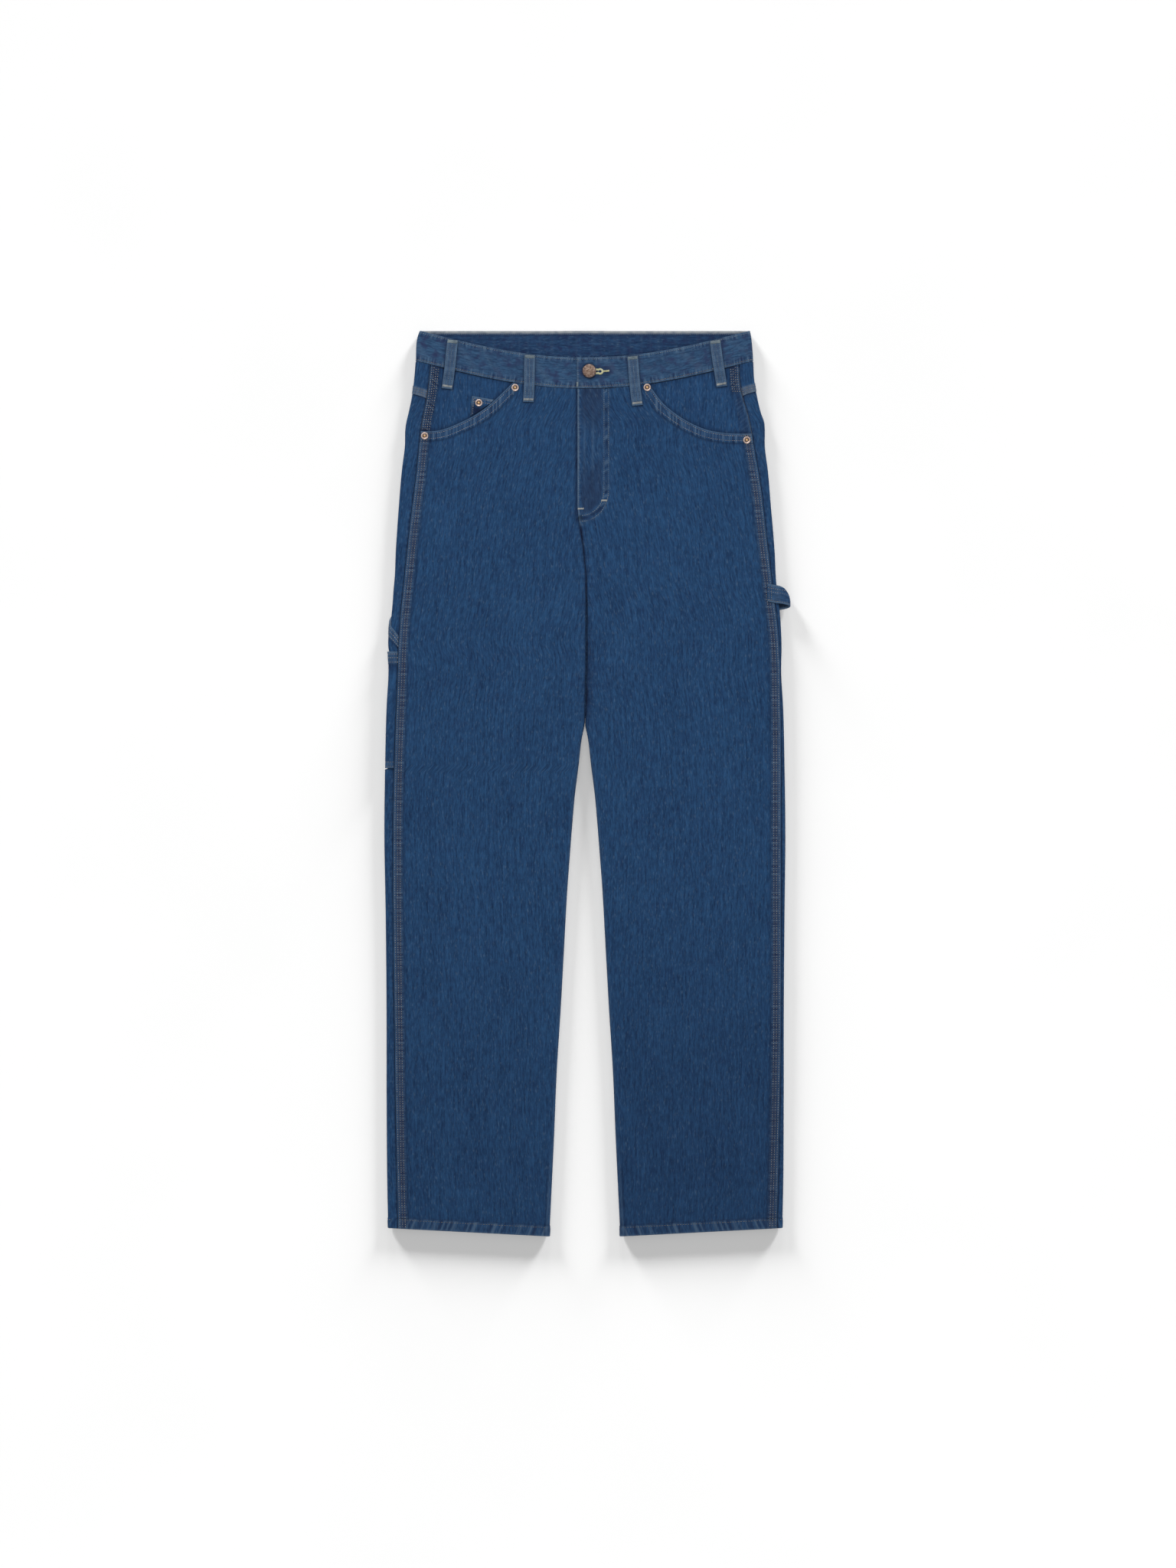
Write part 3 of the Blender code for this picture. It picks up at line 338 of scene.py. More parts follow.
def fold_heights(folds: tuple, side: int, u: Array, drop: Array) -> Array:
    """Sum of soft creases, each a bell across its line that fades at both ends.

    Args:
        folds: Rows of side, u, drop, length, width, turn, height and bow.
        side: Which half of the garment.
        u: Half coordinate of each point.
        drop: Drop of each point.
    Returns:
        The height of the creases at each point.
    """
    height = np.zeros(np.broadcast(u, drop).shape)
    for on, u0, drop0, length, width, turn, rise, bow in folds:
        if on != side:
            continue
        c, s = math.cos(math.radians(turn)), math.sin(math.radians(turn))
        along = ((drop - drop0) * c + (u - u0) * s) / (0.5 * length)
        across = (u - u0) * c - (drop - drop0) * s - bow * along ** 2
        height = height + rise * bump(across, 0.0, width) * fading(np.abs(along), 0.3, 1.0)
    return height


def loop_shadow(side: int, u: Array, drop: Array) -> Array:
    """Soft shadow on the cloth beside and just below the belt loops of a side, from 0 to 1.

    Args:
        side: Which half of the garment.
        u: Half coordinate of each point.
        drop: Drop of each point.
    Returns:
        The shadow.
    """
    mask = np.zeros(np.broadcast(u, drop).shape)
    for _, u_top, drop_top, u_bottom, drop_bottom, _ in BELT_LOOPS:
        if u_top * side > 0.0:
            share = ramp(drop, drop_top, drop_bottom)
            away = np.abs(side * u - u_top - (u_bottom - u_top) * share) - 6.4
            beyond = np.maximum(drop_top - drop, drop - drop_bottom)
            near = np.hypot(np.maximum(away, 0.0), np.maximum(beyond, 0.0))
            mask = np.maximum(mask, bump(near, 0.0, 2.0))
    return mask


@dataclass(frozen=True)
class Ring:
    """The flattened ring of cloth that every panel is cut from, with its sizes."""

    cloth: float = 1.4
    gap: float = 0.3
    layer: float = 1.7
    fold: float = 4.5
    top: float = 6.7
    hem_top: float = 6.1
    length: float = 1112.0
    hem_drop: float = 1101.7
    waist_half: float = 203.0
    waist_fall: float = 33.0
    band_width: float = 38.0
    yoke_centre: float = 103.0
    yoke_sides: tuple[float, float] = (76.0, 73.0)
    shift: tuple[float, float] = (0.0, 0.0)

    def top_height(self, drop: Array) -> Array:
        """Height of the upper run's outer skin."""
        return self.top + (self.hem_top - self.top) * smooth(drop, 560.0, 760.0)

    def yoke_seam(self, side: int, u: Array) -> Array:
        """Drop of the yoke seam on the lower run.

        Args:
            side: Which half of the garment.
            u: Half coordinate of each point.
        Returns:
            The drop.
        """
        at_side = self.yoke_sides[0] if side == LEFT else self.yoke_sides[1]
        share = np.clip(u / (self.waist_half - self.fold), 0.0, 1.0)
        return self.yoke_centre + (at_side - self.yoke_centre) * share

    def low_height(self, side: int, u: Array, drop: Array) -> Array:
        """Height of the lower run's outer skin over the pieces that lie under it.

        Args:
            side: Which half of the garment.
            u: Half coordinate of each point.
            drop: Drop of each point.
        Returns:
            The height.
        """
        height = np.zeros(np.broadcast(u, drop).shape)
        for on, u0, u1, drop0, drop1, ramp_u, above, below, lift in LIFTS:
            if on not in (0, side):
                continue
            across = smooth(u, u0 - ramp_u, u0) * smooth(-u, -u1 - ramp_u, -u1)
            if on == 0:
                start = self.yoke_seam(side, u)
                fall = smooth(drop - start, 0.0, 10.0)
            else:
                fall = smooth(drop, drop0 - above, drop0)
            end = smooth(-drop, -drop1 - below, -drop1)
            height = np.maximum(height, lift * across * fall * end)
        loop = smooth(-np.abs(u), -34.0, -19.0) * smooth(-drop, -82.0, -62.0)
        return np.maximum(height, 1.8 * loop)

    def outer_edge(self, side: int, drop: Array) -> Array:
        """Half width at the outer fold, set in where tool pockets lie on the leg.

        Args:
            side: Which half of the garment.
            drop: Drop of each point.
        Returns:
            The half width.
        """
        edge = curve(OUTLINE[side], drop)
        if side == LEFT:
            layers = smooth(drop, 308.0, 336.0) + smooth(drop, 382.0, 402.0)
            edge = edge - layers * self.layer * smooth(-drop, -POCKET_END[1], -POCKET_END[0])
        return edge

    def front_edge(self, side: int, drop: Array) -> Array:
        """Half coordinate of the front's edge at the centre seam, the fly or the inner fold.

        Args:
            side: Which half of the garment.
            drop: Drop of each point.
        Returns:
            The half coordinate.
        """
        line = table(CENTRE_FRONT, drop)
        if side == LEFT:
            line = np.where(drop < 230.0, table(UNDER_FLY, drop), line)
        return side * line + curve(INNER_EDGE, drop) + 0.5 * self.gap

    def back_edge(self, side: int, drop: Array) -> Array:
        """Half coordinate of the back's edge at its centre seam or the inner fold."""
        return side * table(CENTRE_BACK, drop) + curve(INNER_EDGE, drop) + 0.5 * self.gap

    def skin(self, side: int, t: Array, drop: Array, depth: Array, front_in: float | None = None,
             back_in: float | None = None, raised: float = 0.0) -> tuple[Array, Array]:
        """Points of the ring at parameter t and a drop, at a depth below its outer skin.

        Straight runs are a share of the way between folds. A fold is a half ellipse about the
        middle of the ring's height, its radii less the depth. Below the crotch the inner quarter
        folds bend from flat to upright. The soft creases are added to the runs.

        Args:
            side: Which half of the garment.
            t: Ring parameter.
            drop: Drop below the waist.
            depth: Depth below the outer skin.
            front_in: Half coordinate of the front's inner edge, if not the panel's own.
            back_in: Half coordinate of the back's inner edge, if not the panel's own.
            raised: Extra height of the upper run.
        Returns:
            Half coordinate and height.
        """
        t, drop, depth = np.broadcast_arrays(t, drop, depth)
        front_in = self.front_edge(side, drop) if front_in is None else front_in
        back_in = self.back_edge(side, drop) if back_in is None else back_in
        half = self.outer_edge(side, drop)
        centre = half - self.fold
        high = self.top_height(drop) + raised
        upright = smooth(drop, 300.0, 350.0)

        u_low = back_in + self.fold + (centre - back_in - self.fold) * np.clip(t - LOWER, 0, 1)
        z_low = self.low_height(side, u_low, drop) + depth

        middle = 0.5 * (high + self.low_height(side, half, drop))
        angle = np.pi * 0.5 * (np.clip(t, OUTER, UPPER) - MIDDLE)
        u_fold = centre + (self.fold - depth) * np.cos(angle)
        z_fold = middle + (high - middle - depth) * np.sin(angle)

        u_high = centre + (front_in + self.fold - centre) * np.clip(t - UPPER, 0, 1)
        z_high = high - depth

        turn = np.clip(np.where(t < LOWER, 1.0 - t, t - INNER), 0.0, 1.0)
        low_in = self.low_height(side, back_in, drop)
        mid_in = 0.5 * (high + low_in)
        closing = math.asin(self.gap / self.hem_top)
        tilt = closing + (0.5 * np.pi - closing) * (1.0 - turn)
        edge_in = np.where(t < LOWER, back_in, front_in)
        sign = np.where(t < LOWER, -1.0, 1.0)
        u_up = edge_in + self.fold - (self.fold - depth) * np.cos(tilt)
        z_up = mid_in + sign * (high - mid_in - depth) * np.sin(tilt)
        u_flat = edge_in + self.fold * (1.0 - turn)
        z_flat = np.where(t < LOWER, low_in + depth, high - depth)
        u_inner = u_flat + (u_up - u_flat) * upright
        z_inner = z_flat + (z_up - z_flat) * upright

        runs = [(t >= LOWER) & (t <= OUTER), (t > OUTER) & (t < UPPER), (t >= UPPER) & (t <= INNER)]
        u = np.select(runs, [u_low, u_fold, u_high], u_inner)
        z = np.select(runs, [z_low, z_fold, z_high], z_inner)
        on_top = smooth(t, MIDDLE, UPPER) * fading(t, INNER, END)
        below = smooth(t, 0.0, LOWER) * fading(t, 1.9, OUTER)
        z = z + on_top * fold_heights(UPPER_FOLDS, side, u, drop)
        return u, z + below * fold_heights(LOWER_FOLDS, side, u, drop)

    def t_of_upper(self, side: int, u: Array, drop: Array) -> Array:
        """Ring parameter of a place u on the upper side, also where a fold bends.

        Args:
            side: Which half of the garment.
            u: Half coordinate of each point.
            drop: Drop of each point.
        Returns:
            The ring parameter.
        """
        centre = self.outer_edge(side, drop) - self.fold
        bend = np.arccos(np.clip((u - centre) / self.fold, -1.0, 1.0)) / (0.5 * np.pi)
        inner = self.front_edge(side, drop) + self.fold
        flat = np.where(u < inner, INNER + (inner - u) / self.fold,
                        UPPER + (centre - u) / (centre - inner))
        return np.where(u > centre, MIDDLE + bend, flat)

    def t_of_lower(self, side: int, u: Array, drop: Array) -> Array:
        """Ring parameter of a place u on the lower run.

        Args:
            side: Which half of the garment.
            u: Half coordinate of each point.
            drop: Drop of each point.
        Returns:
            The ring parameter.
        """
        centre = self.outer_edge(side, drop) - self.fold
        start = self.back_edge(side, drop) + self.fold
        return LOWER + (u - start) / (centre - start)

    def wrap(self, side: int, share: Array, drop: Array, end_u: Array) -> Array:
        """Ring parameter at a share of the way from the lower run, round the fold, to end_u.

        Args:
            side: Which half of the garment.
            share: Share of the way.
            drop: Drop of each point.
            end_u: Half coordinate where the way ends.
        Returns:
            The ring parameter.
        """
        centre = self.outer_edge(side, drop) - self.fold
        radius = 0.5 * (self.fold + 0.5 * self.top)
        bend_end = np.arccos(np.clip((end_u - centre) / self.fold, 0.0, 1.0))
        bend = radius * (0.5 * np.pi + bend_end)
        along = share * (bend + np.maximum(centre - end_u, 0.0))
        span = centre - self.front_edge(side, drop) - self.fold
        around = MIDDLE + (along / radius - 0.5 * np.pi) / (0.5 * np.pi)
        return np.where(along <= bend, around, UPPER + (along - bend) / span)

    def waist_dip(self, u: Array) -> Array:
        """Drop of the front waist edge below the back one, a quarter wave."""
        share = np.clip(1.0 - np.abs(u) / self.waist_half, 0.0, 1.0)
        return self.waist_fall * np.sin(0.5 * np.pi * share)

    def place(self, side: int, u: Array | float, drop: Array | float,
              z: Array | float) -> Array:
        """Turn half coordinates, drops and heights in millimetres into points in metres.

        Args:
            side: Which half of the garment.
            u: Half coordinate of each point.
            drop: Drop of each point.
            z: Height of each point.
        Returns:
            The points.
        """
        u, drop, z = np.broadcast_arrays(u, drop, z)
        share = ramp(-u, -OUTLINE[RIGHT][-1, 1], -INNER_EDGE[-1, 1])
        shear = (self.length - self.hem_drop) * share * smooth(drop, 900.0, self.hem_drop)
        x = side * u + self.shift[0]
        y = 0.5 * self.length - drop - shear + self.shift[1]
        return np.stack([x, y, z], axis=-1) * MM


class Marks:
    """What a finish reads at each point of a grid: masks from 0 to 1, and a length in mm."""

    NAMES = ("wear", "shade", "pucker", "along", "pale", "tan")

    def __init__(self, shape: tuple[int, ...]) -> None:
        """Start with every mask at nothing."""
        self.values = {name: np.zeros(shape) for name in self.NAMES}

    def add(self, name: str, value: Array) -> None:
        """Add to a mask, up to 1."""
        self.values[name] = np.clip(self.values[name] + value, 0.0, 1.0)

    def bell(self, name: str, distance: Array, height: float, at: float, width: float,
             share: Array | float = 1.0) -> None:
        """Add a bell of a height and a width at a distance from an edge."""
        self.add(name, height * bump(distance, at, width) * share)

    def sewn(self, mask: Array, along: Array) -> None:
        """Mark where a seam gathers the cloth in small puckers along a length.

        Args:
            mask: How much it gathers at each point.
            along: Length along the seam at each point, which the stronger seam gives.
        """
        take = mask > self.values["pucker"]
        self.values["along"] = np.where(take, along, self.values["along"])
        self.values["pucker"] = np.maximum(self.values["pucker"], mask)


class Graph:
    """Short ways to build a node material."""

    def __init__(self, name: str) -> None:
        """Make an empty node material that holds one Principled shader.

        Args:
            name: The material's name.
        """
        self.material = bpy.data.materials.new(name)
        self.material.use_nodes = True
        self.tree = self.material.node_tree
        self.shader = self.tree.nodes["Principled BSDF"]

    def put(self, socket: bpy.types.NodeSocket, value: object) -> None:
        """Set a socket to a constant, or link another node's output to it.

        Args:
            socket: The socket.
            value: A constant, or an output.
        """
        if isinstance(value, bpy.types.NodeSocket):
            self.tree.links.new(value, socket)
        else:
            socket.default_value = value

    def math(self, kind: str, a: object, b: object = 0.0, clamp: bool = False) -> object:
        """A Math node's result.

        Args:
            kind: The operation.
            a: First value.
            b: Second value.
            clamp: Whether the result is held between 0 and 1.
        Returns:
            The node's output.
        """
        node = self.tree.nodes.new("ShaderNodeMath")
        node.operation = kind
        node.use_clamp = clamp
        self.put(node.inputs[0], a)
        self.put(node.inputs[1], b)
        return node.outputs[0]

    def join(self, x: object, y: object, z: object) -> object:
        """A vector from three values.

        Args:
            x: First part.
            y: Second part.
            z: Third part.
        Returns:
            The vector's output.
        """
        node = self.tree.nodes.new("ShaderNodeCombineXYZ")
        for socket, value in zip(node.inputs, (x, y, z)):
            self.put(socket, value)
        return node.outputs[0]

    def mask(self, name: str) -> object:
        """The value of one of a mesh's own attributes.

        Args:
            name: The attribute.
        Returns:
            The node's output.
        """
        node = self.tree.nodes.new("ShaderNodeAttribute")
        node.attribute_name = name
        return node.outputs["Fac"]

    def noise(self, vector: object, scale: float, detail: float = 2.0,
              rough: float = 0.5) -> object:
        """Soft noise between 0 and 1.

        Args:
            vector: Where to read it.
            scale: Its scale.
            detail: Its detail.
            rough: Its roughness.
        Returns:
            The node's output.
        """
        node = self.tree.nodes.new("ShaderNodeTexNoise")
        self.put(node.inputs["Vector"], vector)
        node.inputs["Scale"].default_value = scale
        node.inputs["Detail"].default_value = detail
        node.inputs["Roughness"].default_value = rough
        return node.outputs["Fac"]

    def span(self, value: object, low: float, high: float, start: float = 0.0,
             end: float = 1.0) -> object:
        """A value stretched from one range to another, and held inside it.

        Args:
            value: The value.
            low: Low end it comes from.
            high: High end it comes from.
            start: What the low end becomes.
            end: What the high end becomes.
        Returns:
            The node's output.
        """
        node = self.tree.nodes.new("ShaderNodeMapRange")
        self.put(node.inputs["Value"], value)
        for name, number in (("From Min", low), ("From Max", high), ("To Min", start),
                             ("To Max", end)):
            node.inputs[name].default_value = number
        return node.outputs["Result"]

    def mix(self, share: object, a: object, b: object) -> object:
        """A colour between two colours.

        Args:
            share: Share of the second.
            a: First colour.
            b: Second colour.
        Returns:
            The node's output.
        """
        node = self.tree.nodes.new("ShaderNodeMix")
        node.data_type = "RGBA"
        self.put(node.inputs[0], share)
        self.put(node.inputs[6], a)
        self.put(node.inputs[7], b)
        return node.outputs[2]

    def height(self, value: object, distance: float) -> None:
        """Link a bump of a height in metres to the shader.

        Args:
            value: Height from 0 to 1.
            distance: The full height.
        """
        node = self.tree.nodes.new("ShaderNodeBump")
        node.inputs["Strength"].default_value = 1.0
        node.inputs["Distance"].default_value = distance
        self.put(node.inputs["Height"], value)
        self.put(self.shader.inputs["Normal"], node.outputs["Normal"])


Colour = tuple[float, float, float, float]


@dataclass(frozen=True)
class Denim:
    """Twill cloth of streaked indigo yarn, as one finish."""

    name: str
    dark: Colour = (0.0048, 0.0220, 0.0695, 1.0)
    light: Colour = (0.0236, 0.0830, 0.1990, 1.0)
    worn: Colour = (0.100, 0.165, 0.255, 1.0)
    blot: Colour = (0.011, 0.028, 0.092, 1.0)
    tan: Colour = (0.046, 0.044, 0.062, 1.0)
    trough: Colour = (0.006, 0.018, 0.062, 1.0)
    # Dark colour of painted shade, mixed in where the shade mask is set
    painted_shade: Colour = (0.0045, 0.011, 0.040, 1.0)
    pale: Colour = (0.300, 0.325, 0.345, 1.0)
    pucker: float = 4.3
    twill: tuple[float, float] = (1.05, 2.1)
    streak: float = 1.0
    blots: float = 0.25
    mottle: float = 1.0
    seed: float = 0.0

    def build(self) -> bpy.types.Material:
        """Make the material.

        The colour runs between a dark and a light yarn by noise stretched along the warp, then
        takes broad patches, worn ridges, painted shade, pale edges and tan seams from the masks.

        Returns:
            The material.
        """
        g = Graph(self.name)
        uv = g.tree.nodes.new("ShaderNodeUVMap")
        uv.uv_map = "UVMap"
        parts = g.tree.nodes.new("ShaderNodeSeparateXYZ")
        g.put(parts.inputs[0], uv.outputs[0])
        u, v = parts.outputs[0], parts.outputs[1]

        def grain(across: float, down: float, detail: float, rough: float, at: float) -> object:
            """Noise with cells of a size across and down the cloth, in millimetres.

            Args:
                across: A cell's width.
                down: A cell's length.
                detail: The noise's detail.
                rough: Its roughness.
                at: Which slice of it.
            Returns:
                The noise's output.
            """
            x = g.math("MULTIPLY", u, 1.0 / (across * MM))
            y = g.math("MULTIPLY", v, 1.0 / (down * MM))
            return g.noise(g.join(x, y, self.seed + at), 1.0, detail, rough)

        def uneven_mask(name: str, noise: object, low: float, high: float, start: float,
                        end: float, clamp: bool = False) -> object:
            """A mask of the mesh, times a noise stretched between two values."""
            return g.math("MULTIPLY", g.mask(name), g.span(noise, low, high, start, end), clamp)

        slub = grain(3.0, 52.0, 3.0, 0.65, 0.0)
        fine = grain(1.8, 10.0, 3.0, 0.7, 3.1)
        speck = grain(1.5, 5.5, 1.0, 0.5, 15.3)
        weft = grain(7.0, 0.8, 2.0, 0.5, 5.7)
        broad = grain(46.0, 90.0, 2.0, 0.5, 8.2)
        patch = grain(13.0 * self.mottle, 17.0 * self.mottle, 3.0, 0.6, 11.9)

        tone = g.span(slub, 0.34, 0.68)
        tone = g.math("MULTIPLY", tone, 0.44 * self.streak)
        tone = g.math("ADD", tone, g.math("MULTIPLY", g.span(fine, 0.39, 0.61), 0.50))
        tone = g.math("ADD", tone, g.math("MULTIPLY", g.span(weft, 0.3, 0.7), 0.06))
        tone = g.math("ADD", tone, g.math("MULTIPLY", g.span(broad, 0.3, 0.7), 0.12), True)
        colour = g.mix(tone, self.dark, self.light)
        colour = g.mix(g.span(speck, 0.60, 0.78, 0.0, 0.36), colour, self.worn)
        colour = g.mix(g.span(patch, 0.48, 0.72, 0.0, self.blots), colour, self.blot)

        lane = g.math("MULTIPLY", g.mask("along"), 1.0 / self.pucker)
        ladder = g.noise(g.join(lane, self.seed, 0.0), 1.0, 1.5, 0.5)
        ladder = g.span(ladder, 0.36, 0.64)
        pucker = g.mask("pucker")
        crest = g.math("MULTIPLY", pucker, g.span(ladder, 0.5, 1.0, 0.0, 0.55))
        trough = g.math("MULTIPLY", pucker, g.span(ladder, 0.0, 0.45, 0.75, 0.0))
        colour = g.mix(uneven_mask("tan", fine, 0.3, 0.7, 0.45, 0.95), colour, self.tan)
        colour = g.mix(crest, colour, self.worn)
        colour = g.mix(trough, colour, self.trough)
        colour = g.mix(uneven_mask("wear", fine, 0.2, 0.7, 0.45, 0.9), colour, self.worn)
        # Painted shade: darken unevenly towards the painted shade colour where the shade mask is
        # set
        shade = uneven_mask("shade", patch, 0.36, 0.62, 1.20, 0.65, True)
        colour = g.mix(shade, colour, self.painted_shade)
        colour = g.mix(uneven_mask("pale", patch, 0.3, 0.6, 0.5, 1.0), colour, self.pale)
        g.put(g.shader.inputs["Base Color"], colour)
        g.put(g.shader.inputs["Roughness"], g.span(fine, 0.3, 0.7, 0.82, 0.95))
        g.shader.inputs["Specular IOR Level"].default_value = 0.15
        g.shader.inputs["Sheen Weight"].default_value = 0.02
        g.shader.inputs["Sheen Roughness"].default_value = 0.6

        rib = g.math("ADD", g.math("MULTIPLY", u, 2.0 * math.pi / (self.twill[0] * MM)),
                     g.math("MULTIPLY", v, 2.0 * math.pi / (self.twill[1] * MM)))
        relief = g.math("MULTIPLY", g.math("SINE", rib), 0.07)
        relief = g.math("ADD", relief, g.math("MULTIPLY", fine, 0.22))
        relief = g.math("ADD", relief, g.math("MULTIPLY", slub, 0.16))
        relief = g.math("ADD", relief, g.math("MULTIPLY", patch, 0.35))
        relief = g.math("ADD", relief, g.math("MULTIPLY", g.math("MULTIPLY", ladder, pucker), 0.9))
        g.height(relief, 0.6 * MM)
        return g.material


@dataclass(frozen=True)
class Thread:
    """Sewing thread of one colour, faded unevenly along its rows."""

    name: str
    colour: Colour
    faded: Colour

    def build(self) -> bpy.types.Material:
        """Make the material, mixed from its two colours by noise in the object's own space.

        Returns:
            The material.
        """
        g = Graph(self.name)
        at = g.tree.nodes.new("ShaderNodeTexCoord").outputs["Object"]
        g.put(g.shader.inputs["Base Color"],
              g.mix(g.span(g.noise(at, 160.0, 3.0), 0.35, 0.65), self.colour, self.faded))
        g.shader.inputs["Roughness"].default_value = 0.8
        g.height(g.noise(at, 5200.0, 1.0), 0.08 * MM)
        return g.material


@dataclass(frozen=True)
class Copper:
    """Copper plate, tarnished in spots."""

    name: str
    bright: Colour = (0.57, 0.445, 0.39, 1.0)
    dull: Colour = (0.090, 0.050, 0.040, 1.0)
    gold: Colour = (0.58, 0.37, 0.17, 1.0)

    def build(self) -> bpy.types.Material:
        """Make the material: bright rims, dull hollows and noise spots, gold where it is worn.

        Returns:
            The material.
        """
        g = Graph(self.name)
        at = g.tree.nodes.new("ShaderNodeTexCoord").outputs["Object"]
        spots = g.noise(at, 420.0, 4.0, 0.65)
        share = g.math("ADD", g.span(spots, 0.35, 0.65, -0.20, 0.30), g.mask("shade"), True)
        colour = g.mix(share, self.bright, self.dull)
        g.put(g.shader.inputs["Base Color"], g.mix(g.mask("pale"), colour, self.gold))
        g.shader.inputs["Metallic"].default_value = 0.6
        g.put(g.shader.inputs["Roughness"], g.span(spots, 0.3, 0.7, 0.3, 0.5))
        g.height(g.noise(at, 900.0, 3.0), 0.12 * MM)
        return g.material


class Finish(Enum):
    """The finishes of the jeans, by the recipe of each."""

    FRONT = Denim("denim_front")
    BACK = Denim("denim_back", seed=21.0)
    FACING = Denim("denim_facing", dark=(0.0042, 0.0225, 0.0710, 1.0),
                   light=(0.0225, 0.0800, 0.1960, 1.0), seed=43.0)
    BAND = Denim("denim_band", dark=(0.0085, 0.028, 0.078, 1.0), light=(0.044, 0.110, 0.218, 1.0),
                 blot=(0.024, 0.036, 0.098, 1.0), streak=0.9, blots=0.95, mottle=0.7, seed=65.0)
    BAND_INSIDE = Denim("denim_band_inside", dark=(0.0038, 0.018, 0.061, 1.0),
                        light=(0.026, 0.073, 0.168, 1.0), blot=(0.014, 0.025, 0.080, 1.0),
                        streak=0.9, blots=0.9, mottle=0.5, seed=87.0)
    LOOP = Denim("denim_loop", dark=(0.018, 0.046, 0.105, 1.0), light=(0.066, 0.126, 0.222, 1.0),
                 blot=(0.030, 0.036, 0.080, 1.0), blots=0.5, seed=99.0)
    # Near-black denim of painted shade, for the hammer loop's inner skin where the strap shades
    # itself
    LOOP_PAINTED_SHADE = Denim("denim_loop_painted_shade", dark=(0.003, 0.010, 0.026, 1.0),
                        light=(0.010, 0.026, 0.060, 1.0), seed=111.0)
    REVERSE = Denim("denim_reverse", dark=(0.11, 0.15, 0.22, 1.0), light=(0.22, 0.27, 0.36, 1.0),
                    worn=(0.3, 0.34, 0.4, 1.0), blots=0.1, seed=121.0)
    OLIVE = Thread("thread_olive", (0.10, 0.10, 0.10, 1.0), (0.27, 0.25, 0.22, 1.0))
    SAND = Thread("thread_sand", (0.13, 0.128, 0.135, 1.0), (0.42, 0.41, 0.40, 1.0))
    BLUE = Thread("thread_blue_grey", (0.09, 0.13, 0.19, 1.0), (0.23, 0.28, 0.33, 1.0))
    PALE = Thread("thread_pale", (0.19, 0.18, 0.19, 1.0), (0.38, 0.355, 0.36, 1.0))
    GREEN = Thread("thread_green_grey", (0.110, 0.150, 0.190, 1.0), (0.25, 0.31, 0.34, 1.0))
    GREY = Thread("thread_grey", (0.15, 0.175, 0.20, 1.0), (0.37, 0.39, 0.39, 1.0))
    WHITE = Thread("thread_white", (0.34, 0.35, 0.34, 1.0), (0.56, 0.55, 0.52, 1.0))
    CREAM = Thread("thread_cream", (0.52, 0.52, 0.26, 1.0), (0.62, 0.60, 0.45, 1.0))
    COPPER = Copper("copper_plate")

    def material(self) -> bpy.types.Material:
        """This finish's material, made the first time it is asked for."""
        made = bpy.data.materials.get(self.value.name)
        return made if made is not None else self.value.build()


def quad_mesh(name: str, points: Array, faces: Array) -> bpy.types.Mesh:
    """Make a smooth mesh of quads from arrays.

    Args:
        name: The mesh's name.
        points: Points in metres.
        faces: Four indices a row.
    Returns:
        The mesh.
    """
    mesh = bpy.data.meshes.new(name)
    mesh.vertices.add(len(points))
    mesh.vertices.foreach_set("co", np.ascontiguousarray(points, float).ravel())
    mesh.loops.add(faces.size)
    mesh.loops.foreach_set("vertex_index", np.ascontiguousarray(faces, np.int32).ravel())
    mesh.polygons.add(len(faces))
    mesh.polygons.foreach_set("loop_start", np.arange(0, faces.size, 4, dtype=np.int32))
    mesh.polygons.foreach_set("use_smooth", np.ones(len(faces), bool))
    mesh.update(calc_edges=True)
    return mesh


def grid_faces(rows: int, columns: int, around: bool = False) -> Array:
    """Quads of a grid of points, joined round its columns if it is a tube.

    Args:
        rows: Rows of points.
        columns: Columns of points.
        around: Whether it is a tube.
    Returns:
        Four indices a row.
    """
    index = np.arange(rows * columns).reshape(rows, columns)
    if around:
        index = np.concatenate([index, index[:, :1]], axis=1)
    return np.stack([index[:-1, :-1].ravel(), index[:-1, 1:].ravel(), index[1:, 1:].ravel(),
                     index[1:, :-1].ravel()], axis=1)


def add_piece(mesh: bpy.types.Mesh, nodes: tuple[str, ...]) -> bpy.types.Object:
    """Add a finished mesh to the scene as a piece that rides on the garment's one body.

    Args:
        mesh: Its mesh, which gives its name.
        nodes: The solids that it replaces, if any.
    Returns:
        The piece.
    """
    piece = bpy.data.objects.new(mesh.name, mesh)
    bpy.context.scene.collection.objects.link(piece)
    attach(piece, "root")
    if nodes:
        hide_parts(*nodes)
    LOG.info("%s: %d faces", mesh.name, len(mesh.polygons))
    return piece


